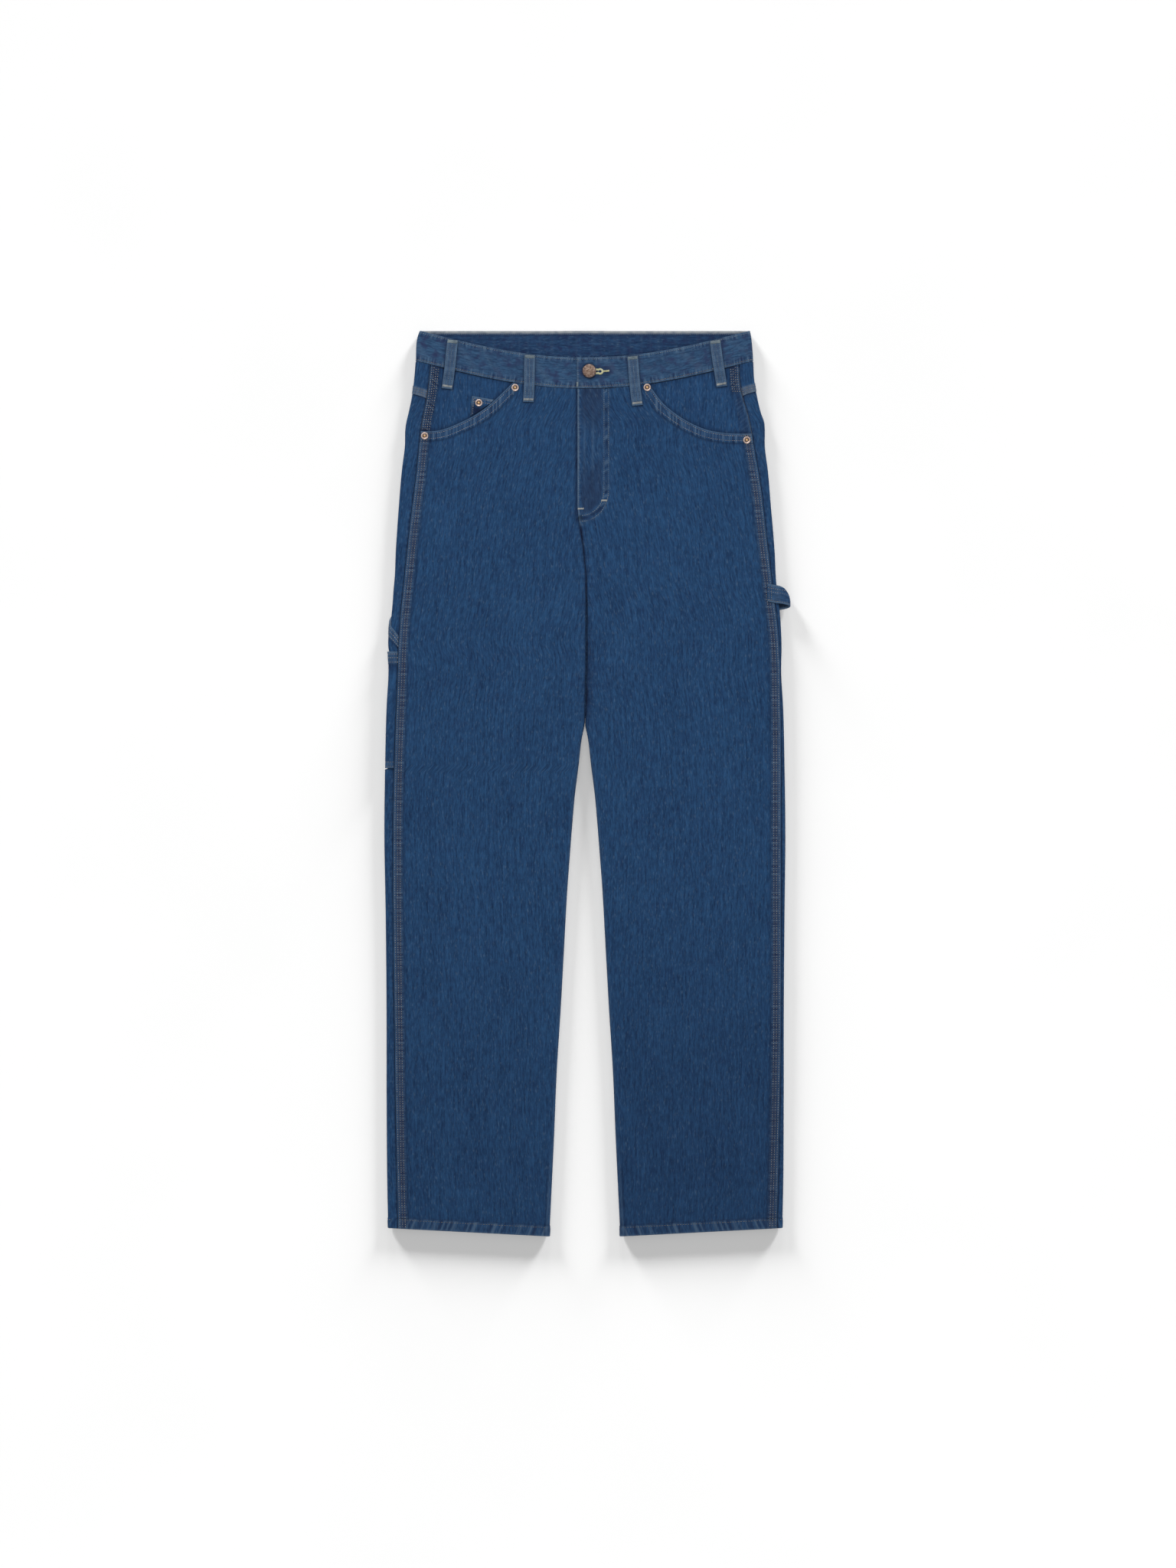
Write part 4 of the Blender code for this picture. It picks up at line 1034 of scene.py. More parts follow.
def cloth_piece(name: str, node: str, outer: Array, inner: Array, uv: tuple[Array, Array],
                marks: Marks, outside: Finish, inside: Finish) -> bpy.types.Object:
    """Close two grids of points into one wall of cloth with its finishes.

    Args:
        name: The piece's name.
        node: The solid that it replaces.
        outer: Grid of points of the outer skin, in metres.
        inner: Grid of points of the inner skin.
        uv: Distance across and down the cloth at each point, in millimetres. Both broadcast.
        marks: What the finishes read.
        outside: Finish of the outer skin and the rim.
        inside: Finish of the inner skin.
    Returns:
        The piece.
    """
    rows, columns = outer.shape[:2]
    count = rows * columns
    skin = grid_faces(rows, columns)
    a, b, d = outer[:-1, :-1], outer[:-1, 1:], outer[1:, :-1]
    facing = np.sum(np.cross(b - a, d - a) * (outer - inner)[:-1, :-1])
    index = np.arange(count).reshape(rows, columns)
    rim = np.concatenate([index[0, :-1], index[:-1, -1], index[-1, :0:-1], index[:0:-1, 0]])
    ahead = np.roll(rim, -1)
    band = np.stack([ahead, rim, rim + count, ahead + count], axis=1)
    faces = np.concatenate([skin, skin[:, ::-1] + count, band])
    if facing < 0.0:
        faces = faces[:, ::-1]
    mesh = quad_mesh(name, np.concatenate([outer.reshape(-1, 3), inner.reshape(-1, 3)]), faces)
    flat = np.stack(np.broadcast_arrays(*uv), axis=-1).reshape(-1, 2) * MM
    flat = np.concatenate([flat, flat])
    layer = mesh.uv_layers.new(name="UVMap")
    layer.data.foreach_set("uv", flat[faces.ravel()].ravel())
    for key, value in marks.values.items():
        held = mesh.attributes.new(key, "FLOAT", "POINT")
        held.data.foreach_set("value", np.tile(value.ravel(), 2))
    mesh.materials.append(outside.material())
    mesh.materials.append(inside.material())
    slots = np.zeros(len(faces), np.int32)
    slots[len(skin):2 * len(skin)] = 1
    mesh.polygons.foreach_set("material_index", slots)
    piece = add_piece(mesh, (node,))
    return piece


@dataclass
class Sewing:
    """Rows of stitches, gathered by thread until they are made into joined meshes."""

    thick: float = 0.62
    bar_thick: float = 0.8
    starts: dict[Finish, list[Array]] = field(default_factory=dict)
    ends: dict[Finish, list[Array]] = field(default_factory=dict)
    ups: dict[Finish, list[Array]] = field(default_factory=dict)
    widths: dict[Finish, list[Array]] = field(default_factory=dict)
    rows: int = 0

    def add(self, thread: Finish, start: Array, end: Array, up: Array, thick: float) -> None:
        """Keep stitches given by their two ends and the direction out of the cloth.

        Args:
            thread: Which thread.
            start: First end of each stitch.
            end: Other end.
            up: Direction out of the cloth.
            thick: Thread's width, in millimetres.
        """
        for kept, value in ((self.starts, start), (self.ends, end), (self.ups, up),
                            (self.widths, np.full(len(start), thick))):
            kept.setdefault(thread, []).append(value)

    def row(self, thread: Finish, path: Array, above: Array, pitch: float = 3.1,
            share: float = 0.72, thick: float | None = None) -> None:
        """Sew along a path, a stitch to each pitch, lengths and places a little uneven.

        Args:
            thread: Which thread.
            path: Points on the cloth, in metres, in order.
            above: Points straight above them, which give the direction out of the cloth.
            pitch: Distance from stitch to stitch, in millimetres.
            share: Share of the pitch that the stitch shows.
            thick: Thread's width, if not the usual one.
        """
        self.rows += 1
        rng = np.random.default_rng(self.rows)
        lengths = np.linalg.norm(np.diff(path, axis=0), axis=1)
        along = np.concatenate([[0.0], np.cumsum(lengths)])
        count = int(along[-1] / (pitch * MM))
        if count < 1:
            return
        middle = (np.arange(count) + 0.5) * along[-1] / count
        middle = middle + rng.uniform(-0.06, 0.06, count) * pitch * MM
        half = 0.5 * share * pitch * MM * rng.uniform(0.86, 1.08, count)

        def at(points: Array, where: Array) -> Array:
            """Points along the path at given lengths."""
            return np.stack([np.interp(where, along, points[:, k]) for k in range(3)], axis=1)

        up = at(above, middle) - at(path, middle)
        up = up / np.linalg.norm(up, axis=1, keepdims=True)
        self.add(thread, at(path, middle - half), at(path, middle + half), up,
                 self.thick if thick is None else thick)

    def bar(self, thread: Finish, a: Array, b: Array, up: Array, width: float,
            pitch: float = 0.62) -> None:
        """Sew a dense bar of cross stitches from a to b.

        Args:
            thread: Which thread.
            a: One end, in metres.
            b: The other end.
            up: Direction out of the cloth.
            width: The bar's width in millimetres.
            pitch: Distance from stitch to stitch.
        """
        self.rows += 1
        rng = np.random.default_rng(self.rows)
        count = max(int(np.linalg.norm(b - a) / (pitch * MM)), 2)
        share = ((np.arange(count) + 0.5) / count)[:, None]
        across = np.cross(up, (b - a) / np.linalg.norm(b - a))
        middle = a + (b - a) * share
        reach = 0.5 * width * MM * rng.uniform(0.85, 1.12, (count, 1)) * across
        lean = 0.35 * pitch * MM * (b - a) / np.linalg.norm(b - a)
        self.add(thread, middle - reach - lean, middle + reach + lean, np.tile(up, (count, 1)),
                 self.bar_thick)

    def make(self) -> None:
        """Make each thread's stitches into one mesh.

        A stitch is four square rings from end to end: small and sunk at both ends, full and
        raised between them, with a quad across each end.
        """
        for thread in self.starts:
            start = np.concatenate(self.starts[thread])
            end = np.concatenate(self.ends[thread])
            up = np.concatenate(self.ups[thread])
            width = (np.concatenate(self.widths[thread]) * MM)[:, None]
            line = end - start
            side = np.cross(up, line)
            side = side / np.maximum(np.linalg.norm(side, axis=1, keepdims=True), 1e-9)
            rings = []
            for share, size, rise in STITCH_RINGS:
                centre = start + line * share + up * width * rise
                for s, h in STITCH_CORNERS:
                    rings.append(centre + 0.5 * size * width * (s * side + h * up))
            points = np.stack(rings, axis=1)
            tube = grid_faces(len(STITCH_RINGS), len(STITCH_CORNERS), around=True)
            one = np.concatenate([tube, [(3, 2, 1, 0), (12, 13, 14, 15)]])[:, ::-1]
            faces = one[None] + len(rings) * np.arange(len(points))[:, None, None]
            name = thread.value.name.replace("thread", "stitches")
            mesh = quad_mesh(name, points.reshape(-1, 3), faces.reshape(-1, 4))
            mesh.materials.append(thread.material())
            add_piece(mesh, ())


@dataclass
class RingPiece:
    """A piece of cloth on the ring. Each kind gives its own grid, relief and marks."""

    ring: Ring
    side: int
    name: str
    outside: Finish = Finish.FRONT
    edge_radius: float = 0.8
    edge_fall: float = 0.62

    def outseam(self, drop: Array) -> Array:
        """Half coordinate of the outseam."""
        return curve(OUTSEAM[self.side], drop)

    def whole(self, t: Array, u: Array, drop: Array) -> Array:
        """How far both skins are lifted."""
        return np.zeros(u.shape)

    def relief(self, t: Array, u: Array, drop: Array) -> Array:
        """How far the outer skin alone is raised."""
        return np.zeros(u.shape)

    def edge(self, t: Array, u: Array, drop: Array) -> Array:
        """Distance in from the nearest free edge."""
        return np.full(u.shape, FAR)

    def outer(self, t: Array, drop: Array, above: float = 0.0) -> Array:
        """Points on the outer skin, or a distance above it.

        Args:
            t: Ring parameter of each point.
            drop: Drop of each point.
            above: Height above the skin, in millimetres.
        Returns:
            The points, in metres.
        """
        t, drop = np.broadcast_arrays(t, drop)
        u, _ = self.ring.skin(self.side, t, drop, 0.0)
        lift = self.whole(t, u, drop) + self.relief(t, u, drop) + above
        lift = lift - self.edge_fall * roll(self.edge(t, u, drop), self.edge_radius)
        u_at, z_at = self.ring.skin(self.side, t, drop, -lift)
        return self.ring.place(self.side, u_at, drop, z_at)

    def inner(self, t: Array, drop: Array) -> Array:
        """Points on the inner skin.

        Args:
            t: Ring parameter of each point.
            drop: Drop of each point.
        Returns:
            The points, in metres.
        """
        u, _ = self.ring.skin(self.side, t, drop, 0.0)
        depth = self.ring.cloth - self.whole(t, u, drop)
        depth = depth - self.edge_fall * roll(self.edge(t, u, drop), self.edge_radius)
        u_at, z_at = self.ring.skin(self.side, t, drop, depth)
        return self.ring.place(self.side, u_at, drop, z_at)

    def across(self, t: Array, u: Array, drop: Array) -> Array:
        """Distance across the cloth, counted on round the outer fold.

        Args:
            t: Ring parameter of each point.
            u: Half coordinate of each point.
            drop: Drop of each point.
        Returns:
            The distance.
        """
        centre = self.ring.outer_edge(self.side, drop) - self.ring.fold
        radius = 0.5 * (self.ring.fold + 0.5 * self.ring.top)
        around = radius * 0.5 * np.pi * (np.clip(t, OUTER, UPPER) - OUTER)
        beyond = np.where(t < UPPER, centre + around, 2.0 * centre + around - u)
        return np.where(t <= OUTER, u, beyond)

    def level_rows(self, columns: int, *more: float) -> Array:
        """Drops of a leg's level rows: even steps, any more that are asked for, then the hem.

        Args:
            columns: How many columns the grid has.
            more: Drops of further rows.
        Returns:
            The drops, a row of them each.
        """
        hem = self.ring.hem_drop - EDGE_STEPS[::-1]
        rows = np.concatenate([np.arange(LEVEL, hem[0] - 1.0, ROW_STEP), more, hem])
        return np.repeat(np.sort(rows)[:, None], columns, axis=1)

    def marks(self, t: Array, u: Array, drop: Array) -> Marks:
        """Masks of the finish."""
        return Marks(u.shape)

    def build(self, t: Array, drop: Array) -> bpy.types.Object:
        """Make the piece from grids of ring parameters and drops.

        Args:
            t: Ring parameter of each point.
            drop: Drop of each point.
        Returns:
            The piece.
        """
        u, _ = self.ring.skin(self.side, t, drop, 0.0)
        uv = (self.across(t, u, drop) + self.side * WEAVE["panel"], drop)
        return cloth_piece(f"{self.name}_cloth", self.name, self.outer(t, drop),
                           self.inner(t, drop), uv, self.marks(t, u, drop), self.outside,
                           Finish.REVERSE)

    def sew(self, sewing: Sewing, thread: Finish, t: Array, drop: Array, pitch: float = 3.1,
            thick: float | None = None, share: float = 0.72) -> None:
        """Sew a row on the outer skin through places given by ring parameter and drop."""
        t, drop = np.broadcast_arrays(t, drop)
        sewing.row(thread, self.outer(t, drop), self.outer(t, drop, 1.0), pitch, share, thick)


@dataclass
class FrontPanel(RingPiece):
    """Front of one leg, from the waist seam and the pocket mouth to the hem."""

    seam_width: float = 11.8
    seam_rows: tuple[float, ...] = SEAM_ROWS
    mouth_width: float = 11.6
    mouth_rows: tuple[float, ...] = (2.8, 8.9)
    hem_width: float = 12.5
    fly_end: float = 250.0
    fly_turn: float = 196.0
    fly_sizes: tuple[tuple[float, float], ...] = ((27.5, 31.0), (33.0, 38.0))
    fly_centre: float = -4.0
    far_columns: int = 76

    def seam_distance(self, u: Array, drop: Array) -> Array:
        """Distance in from the outseam."""
        return self.outseam(drop) - 0.5 * self.ring.gap - u

    def mouth_slope(self, u: Array) -> Array:
        """How much longer a step down is than a step square to the mouth.

        Args:
            u: Half coordinate of each point.
        Returns:
            How many times longer.
        """
        rows = MOUTH[self.side]
        slope = 0.5 * (curve(rows, u + 1.0) - curve(rows, u - 1.0))
        return np.sqrt(1.0 + slope * slope)

    def mouth_distance(self, u: Array, drop: Array) -> Array:
        """Distance in from the pocket's mouth, large beside it.

        Args:
            u: Half coordinate of each point.
            drop: Drop of each point.
        Returns:
            The distance.
        """
        rows = MOUTH[self.side]
        below = (drop - curve(rows, u)) / self.mouth_slope(u)
        return np.where(u > rows[1, 0] - 9.0, below, FAR)

    def waist_distance(self, u: Array, drop: Array) -> Array:
        """Distance below the waist seam."""
        return drop - self.ring.waist_dip(u) - self.ring.band_width - self.ring.gap

    def columns(self, drop: Array) -> Array:
        """Ring parameter of each column, for drops given by column.

        Args:
            drop: Drop of each point.
        Returns:
            The ring parameters.
        """
        ring = self.ring
        near = len(EDGE_STEPS)
        seam = self.outseam(drop) - 0.5 * ring.gap
        inside = ring.front_edge(self.side, drop)
        close = seam[:, :near] - EDGE_STEPS
        steps = np.append(INNER_STEPS, ring.fold)
        last_columns = len(steps) + TURN_COLUMNS
        far_count = drop.shape[1] - near - last_columns
        shares = np.linspace(0.0, 1.0, far_count + 1)[1:]
        start = seam[:, near:near + far_count] - EDGE_STEPS[-1]
        stop = inside[:, near:near + far_count] + 14.0
        far = start + (stop - start) * shares
        last = inside[:, -last_columns:-TURN_COLUMNS] + steps
        turns = np.tile(INNER + np.linspace(0.0, 1.0, TURN_COLUMNS + 1)[1:], (len(drop), 1))
        u = np.concatenate([close, far, last], axis=1)
        on_run = ring.t_of_upper(self.side, u, drop[:, :-TURN_COLUMNS])
        return np.concatenate([on_run, turns], axis=1)

    def whole(self, t: Array, u: Array, drop: Array) -> Array:
        """Lift of the right front where it laps over the left one as the fly.

        Args:
            t: Ring parameter of each point.
            u: Half coordinate of each point.
            drop: Drop of each point.
        Returns:
            The lift.
        """
        if self.side == LEFT:
            return np.zeros(u.shape)
        lift = self.ring.layer * smooth(-u, -38.0, -14.0)
        return lift * smooth(-drop, -self.fly_end, -222.0)

    def edge(self, t: Array, u: Array, drop: Array) -> Array:
        """Distance in from the nearest free or lapped edge.

        Args:
            t: Ring parameter of each point.
            u: Half coordinate of each point.
            drop: Drop of each point.
        Returns:
            The distance.
        """
        seam = self.seam_distance(u, drop)
        mouth = np.maximum(self.mouth_distance(u, drop), 0.0)
        hem = self.ring.hem_drop - drop
        near = np.minimum(np.minimum(seam, mouth), hem)
        fly = np.where(drop < 232.0, u - self.ring.front_edge(self.side, drop), FAR)
        return np.minimum(near, np.maximum(fly, 0.0))

    def relief(self, t: Array, u: Array, drop: Array) -> Array:
        """Raised seams, hem and pocket edge, with hollows at the rows of sewing.

        Args:
            t: Ring parameter of each point.
            u: Half coordinate of each point.
            drop: Drop of each point.
        Returns:
            The rise.
        """
        seam = self.seam_distance(u, drop)
        mouth = self.mouth_distance(u, drop)
        hem = self.ring.hem_drop - drop
        on_seam = fading(seam, self.seam_width - 0.9, self.seam_width + 0.6)
        on_mouth = fading(mouth, self.mouth_width - 0.9, self.mouth_width + 0.7)
        on_hem = fading(hem, self.hem_width - 0.8, self.hem_width + 0.8)
        rise = 0.8 * np.maximum(np.maximum(on_seam, on_mouth), on_hem)
        rise = grooved(rise, seam, self.seam_rows, 0.24)
        rise = grooved(rise, mouth, self.mouth_rows, 0.24)
        rise = rise + 0.10 * on_seam * uneven(drop, 17.0, 1.0 + self.side)
        rise = rise - 0.25 * bump(hem, self.hem_width - 1.8, 1.0)
        rise = rise + 0.28 * on_hem * uneven(u + 0.35 * hem, 9.0, 2.0 + self.side)
        centre = u - self.ring.front_edge(self.side, drop)
        above_crotch = fading(drop, 440.0, 500.0)
        if self.side == LEFT:
            lap = fading(centre, 9.0, 10.6) * smooth(drop, *FLY_FOOT) * above_crotch
            rise = rise + 0.6 * lap
        rise = rise - 0.5 * bump(centre, 0.0, 1.1) * smooth(drop, 236.0, 250.0) * above_crotch
        inseam = smooth(drop, 930.0, 1010.0)
        if self.side == LEFT:
            rise = rise - 0.30 * inseam * bump(centre, 5.8, 1.1)
        else:
            rise = rise - 0.40 * inseam * bump(centre, 7.0, 1.2)
        if self.side == RIGHT:
            rise = rise + self.fly_relief(u, drop)
        return rise

    def fly_rows(self, u: Array, drop: Array) -> tuple[Array, Array]:
        """Distances from the fly's inner and outer rows of sewing, the J shape below included.

        Args:
            u: Half coordinate of each point.
            drop: Drop of each point.
        Returns:
            The distance from each row.
        """
        below = np.maximum(drop - self.fly_turn, 0.0)
        near, wide = ((np.hypot((u - self.fly_centre) / width, below / height) - 1.0) * width
                      for width, height in self.fly_sizes)
        return near, wide

    def fly_relief(self, u: Array, drop: Array) -> Array:
        """Hollows at the fly's rows of sewing and the small waves that they gather.

        Args:
            u: Half coordinate of each point.
            drop: Drop of each point.
        Returns:
            The rise.
        """
        near, wide = self.fly_rows(u, drop)
        fade = fading(drop, 232.0, 250.0)
        rise = -0.28 * (bump(near, 0.0, 1.0) + bump(wide, 0.0, 1.0)) * fade
        between = bump(near, 2.8, 3.4) * fade
        return rise + 0.16 * between * uneven(drop, 11.0, 4.0)

    def fly_marks(self, marks: Marks, u: Array, drop: Array) -> None:
        """Add the fly's worn edge and rows, its stained turn, painted shade and gathered cloth.

        Args:
            marks: The right front's masks.
            u: Half coordinate of each point.
            drop: Drop of each point.
        """
        near, wide = self.fly_rows(u, drop)
        fade = fading(drop, *FLY_FOOT)
        edge = u - self.ring.front_edge(self.side, drop)
        inside = smooth(-near, 0.5, 5.0) * fade
        middle = bump(drop, 142.0, 36.0)
        marks.add("wear", 0.85 * bump(edge, 0.8, 1.3) * fading(drop, 232.0, 244.0))
        marks.add("wear", 0.24 * (bump(near, 0.0, 1.2) + bump(wide, 0.0, 1.2)) * fade)
        marks.add("wear", 0.34 * inside * middle * smooth(uneven(u, 8.5, 1.0), 0.0, 0.7))
        marks.add("tan", 0.30 * inside * (1.0 - middle) * smooth(edge, 2.0, 8.0))
        # Painted shade at the fly's top and foot, and between its rows
        marks.add("shade", 0.44 * inside * (1.0 - middle) * smooth(edge, 2.0, 8.0)
                  * (0.75 + 0.35 * uneven(drop + 1.7 * u, 19.0, 2.0)))
        marks.add("shade", 0.55 * bump(near, 2.8, 2.1) * fade
                  * smooth(uneven(drop, 26.0, 5.0), -0.5, 0.6))
        marks.sewn(bump(near, 2.8, 2.6) * fade, 0.55 * drop + 0.3 * u)
        marks.sewn(0.6 * bump(edge, 2.4, 2.4) * fade, drop)

    def marks(self, t: Array, u: Array, drop: Array) -> Marks:
        """Worn seam ridges and pocket edge, gathered sewing, and painted shade.

        Args:
            t: Ring parameter of each point.
            u: Half coordinate of each point.
            drop: Drop of each point.
        Returns:
            The masks.
        """
        marks = Marks(u.shape)
        seam = self.seam_distance(u, drop)
        mouth = self.mouth_distance(u, drop)
        hem = self.ring.hem_drop - drop
        on_seam = fading(seam, self.seam_width - 0.5, self.seam_width + 0.8)
        on_mouth = fading(mouth, self.mouth_width - 0.9, self.mouth_width + 1.2)
        on_hem = fading(hem, self.hem_width - 0.5, self.hem_width + 1.0)
        wave = 0.75 + 0.25 * uneven(drop, 70.0, 3.0)
        marks.bell("wear", seam, 0.50, 1.6, 1.8, wave)
        marks.bell("wear", seam, 0.16, 11.0, 1.2, wave)
        marks.bell("wear", mouth, 0.70, 0.7, 1.0)
        marks.add("wear", 0.12 * on_mouth * bump(mouth, 6.0, 3.0))
        marks.add("wear", 0.45 * bump(hem, 0.6, 1.1) + 0.10 * on_hem)
        marks.add("wear", 0.40 * bump(hem, self.hem_width - 0.3, 0.9)
                  * smooth(uneven(u, 27.0, 1.0), -0.2, 0.5))
        marks.add("tan", 0.70 * on_seam * bump(seam, 6.8, 3.6))
        # Painted shade beside the outseam, the mouth hem and the hem, under the belt loops, and
        # darker down the lower legs
        marks.bell("shade", seam, 0.30, self.seam_width + 1.0, 1.3)
        marks.bell("shade", mouth, 0.40, self.mouth_width + 0.8, 1.5)
        marks.bell("shade", hem, 0.35, self.hem_width + 0.9, 1.4)
        marks.add("shade", 0.55 * loop_shadow(self.side, u, drop))
        marks.add("shade", (0.12 if self.side == LEFT else 0.24) * smooth(drop, 620.0, 1060.0))
        marks.sewn(0.75 * on_seam * smooth(seam, 2.6, 4.4), 1.35 * drop)
        marks.sewn(on_mouth * smooth(mouth, 1.0, 3.0), 1.1 * u)
        marks.sewn(on_hem, 0.7 * (u + 0.4 * hem))
        waist = self.waist_distance(u, drop)
        marks.sewn(0.45 * bump(waist, 0.0, 5.0) * smooth(-u, -88.0, -80.0), u)
        if self.side == RIGHT:
            self.fly_marks(marks, u, drop)
        centre = u - self.ring.front_edge(self.side, drop)
        seat = smooth(drop, *FLY_FOOT) * fading(drop, *CROTCH)
        marks.sewn(0.16 * bump(centre, 4.0, 5.0) * seat, drop)
        # Painted shade along the centre seam, under the fly's foot, and beside the fly's edge on
        # the left
        marks.bell("shade", centre, 0.85, 0.0, 1.5, seat)
        marks.add("shade", 0.6 * bump(centre, 0.0, 3.0) * bump(drop, 244.0, 9.0))
        if self.side == RIGHT:
            marks.add("shade", 0.62 * bump(centre, 1.0, 6.5) * seat * smooth(drop, 320.0, 430.0))
        else:
            beside = fading(drop, 228.0, 240.0) * smooth(drop, 66.0, 76.0)
            marks.bell("shade", u, 0.85, 9.6, 2.4, beside)
        legs = smooth(drop, 470.0, 540.0)
        marks.add("wear", 0.20 * legs * bump(centre, 1.0, 1.8))
        low = smooth(drop, 985.0, 1065.0)
        marks.add("wear", 0.42 * low * bump(centre, 3.6, 1.1))
        marks.add("shade", 0.45 * low * bump(centre, 6.2, 1.1))
        return marks

    def drops(self) -> Array:
        """Drops of the grid: bands along the top edge, then even rows, then the hem.

        Returns:
            The drops.
        """
        columns = len(EDGE_STEPS) + self.far_columns + len(INNER_STEPS) + 1 + TURN_COLUMNS
        top = np.full((1, columns), LEVEL)
        rows = MOUTH[self.side]
        for _ in range(8):
            u, _ = self.ring.skin(self.side, self.columns(top), top, 0.0)
            seam = self.ring.waist_dip(u) + self.ring.band_width + self.ring.gap
            mouth = np.where(u < rows[0, 0], 0.0, curve(rows, u))
            top = np.maximum(seam, mouth)
        stretch = np.where(top > seam, self.mouth_slope(u), 1.0)
        band = top + EDGE_STEPS[:, None] * stretch
        band = np.minimum(band, LEVEL - 2.0)
        shares = np.linspace(0.0, 1.0, 16)[1:-1, None]
        between = band[-1:] + (LEVEL - band[-1:]) * shares
        return np.concatenate([band, between, self.level_rows(columns)])

    def make(self, sewing: Sewing) -> bpy.types.Object:
        """Make the panel and its sewing.

        Args:
            sewing: Where the stitches are kept.
        Returns:
            The piece.
        """
        drop = self.drops()
        piece = self.build(self.columns(drop), drop)
        ring, side = self.ring, self.side
        start = float(curve(MOUTH[side], np.array(205.0))) + 1.0
        line = np.arange(start, ring.hem_drop - 0.8, 2.0)
        for at in self.seam_rows:
            u = self.outseam(line) - at
            self.sew(sewing, Finish.SAND, ring.t_of_upper(side, u, line), line, 2.9, 0.66, 0.5)
        for at in self.mouth_rows:
            first = MOUTH[side][1, 0] - 5.0 - 0.5 * at
            u = np.linspace(first, self.outseam(np.array(126.0)) - 1.5, 160)
            drop_at = curve(MOUTH[side], u) + at * self.mouth_slope(u)
            self.sew(sewing, Finish.SAND, ring.t_of_upper(side, u, drop_at), drop_at, 2.6, 0.56)
        inside = ring.front_edge(side, np.array(1090.0)) + 3.0
        u = np.linspace(inside, self.outseam(np.array(1090.0)) - 1.0, 90)
        hem = np.full(u.shape, ring.hem_drop - self.hem_width + 1.8)
        self.sew(sewing, Finish.OLIVE, ring.t_of_upper(side, u, hem), hem, 3.2, 0.45)
        if side == RIGHT:
            self.sew_fly(sewing)
        return piece

    def sew_fly(self, sewing: Sewing) -> None:
        """Sew the fly's edge, its two J-shaped rows and the bars that hold them.

        Args:
            sewing: Where the stitches are kept.
        """
        ring, side = self.ring, self.side
        line = np.arange(72.0, 226.0, 2.0)
        u = ring.front_edge(side, line) + 1.7
        self.sew(sewing, Finish.BLUE, ring.t_of_upper(side, u, line), line, 2.4, 0.5)
        turn = np.radians(np.arange(0.0, 92.0, 3.0))
        for width, height in self.fly_sizes:
            for thread, u, drop in (
                    (Finish.BLUE, np.full(40, width), np.linspace(70.0, self.fly_turn - 1.0, 40)),
                    (Finish.GREY, width * np.cos(turn), self.fly_turn + height * np.sin(turn))):
                at = ring.t_of_upper(side, u + self.fly_centre, drop)
                self.sew(sewing, thread, at, drop, 2.6, 0.55)
        for x, drop in ((23.8, 208.5), (-5.0, 218.7)):
            u = np.array([x - 3.6, x + 3.6])
            ends = self.outer(ring.t_of_upper(side, u, np.full(2, drop)), np.full(2, drop), 0.2)
            ends[:, 2] = ends[:, 2].max()
            sewing.bar(Finish.WHITE, ends[0], ends[1], UP, 2.2)


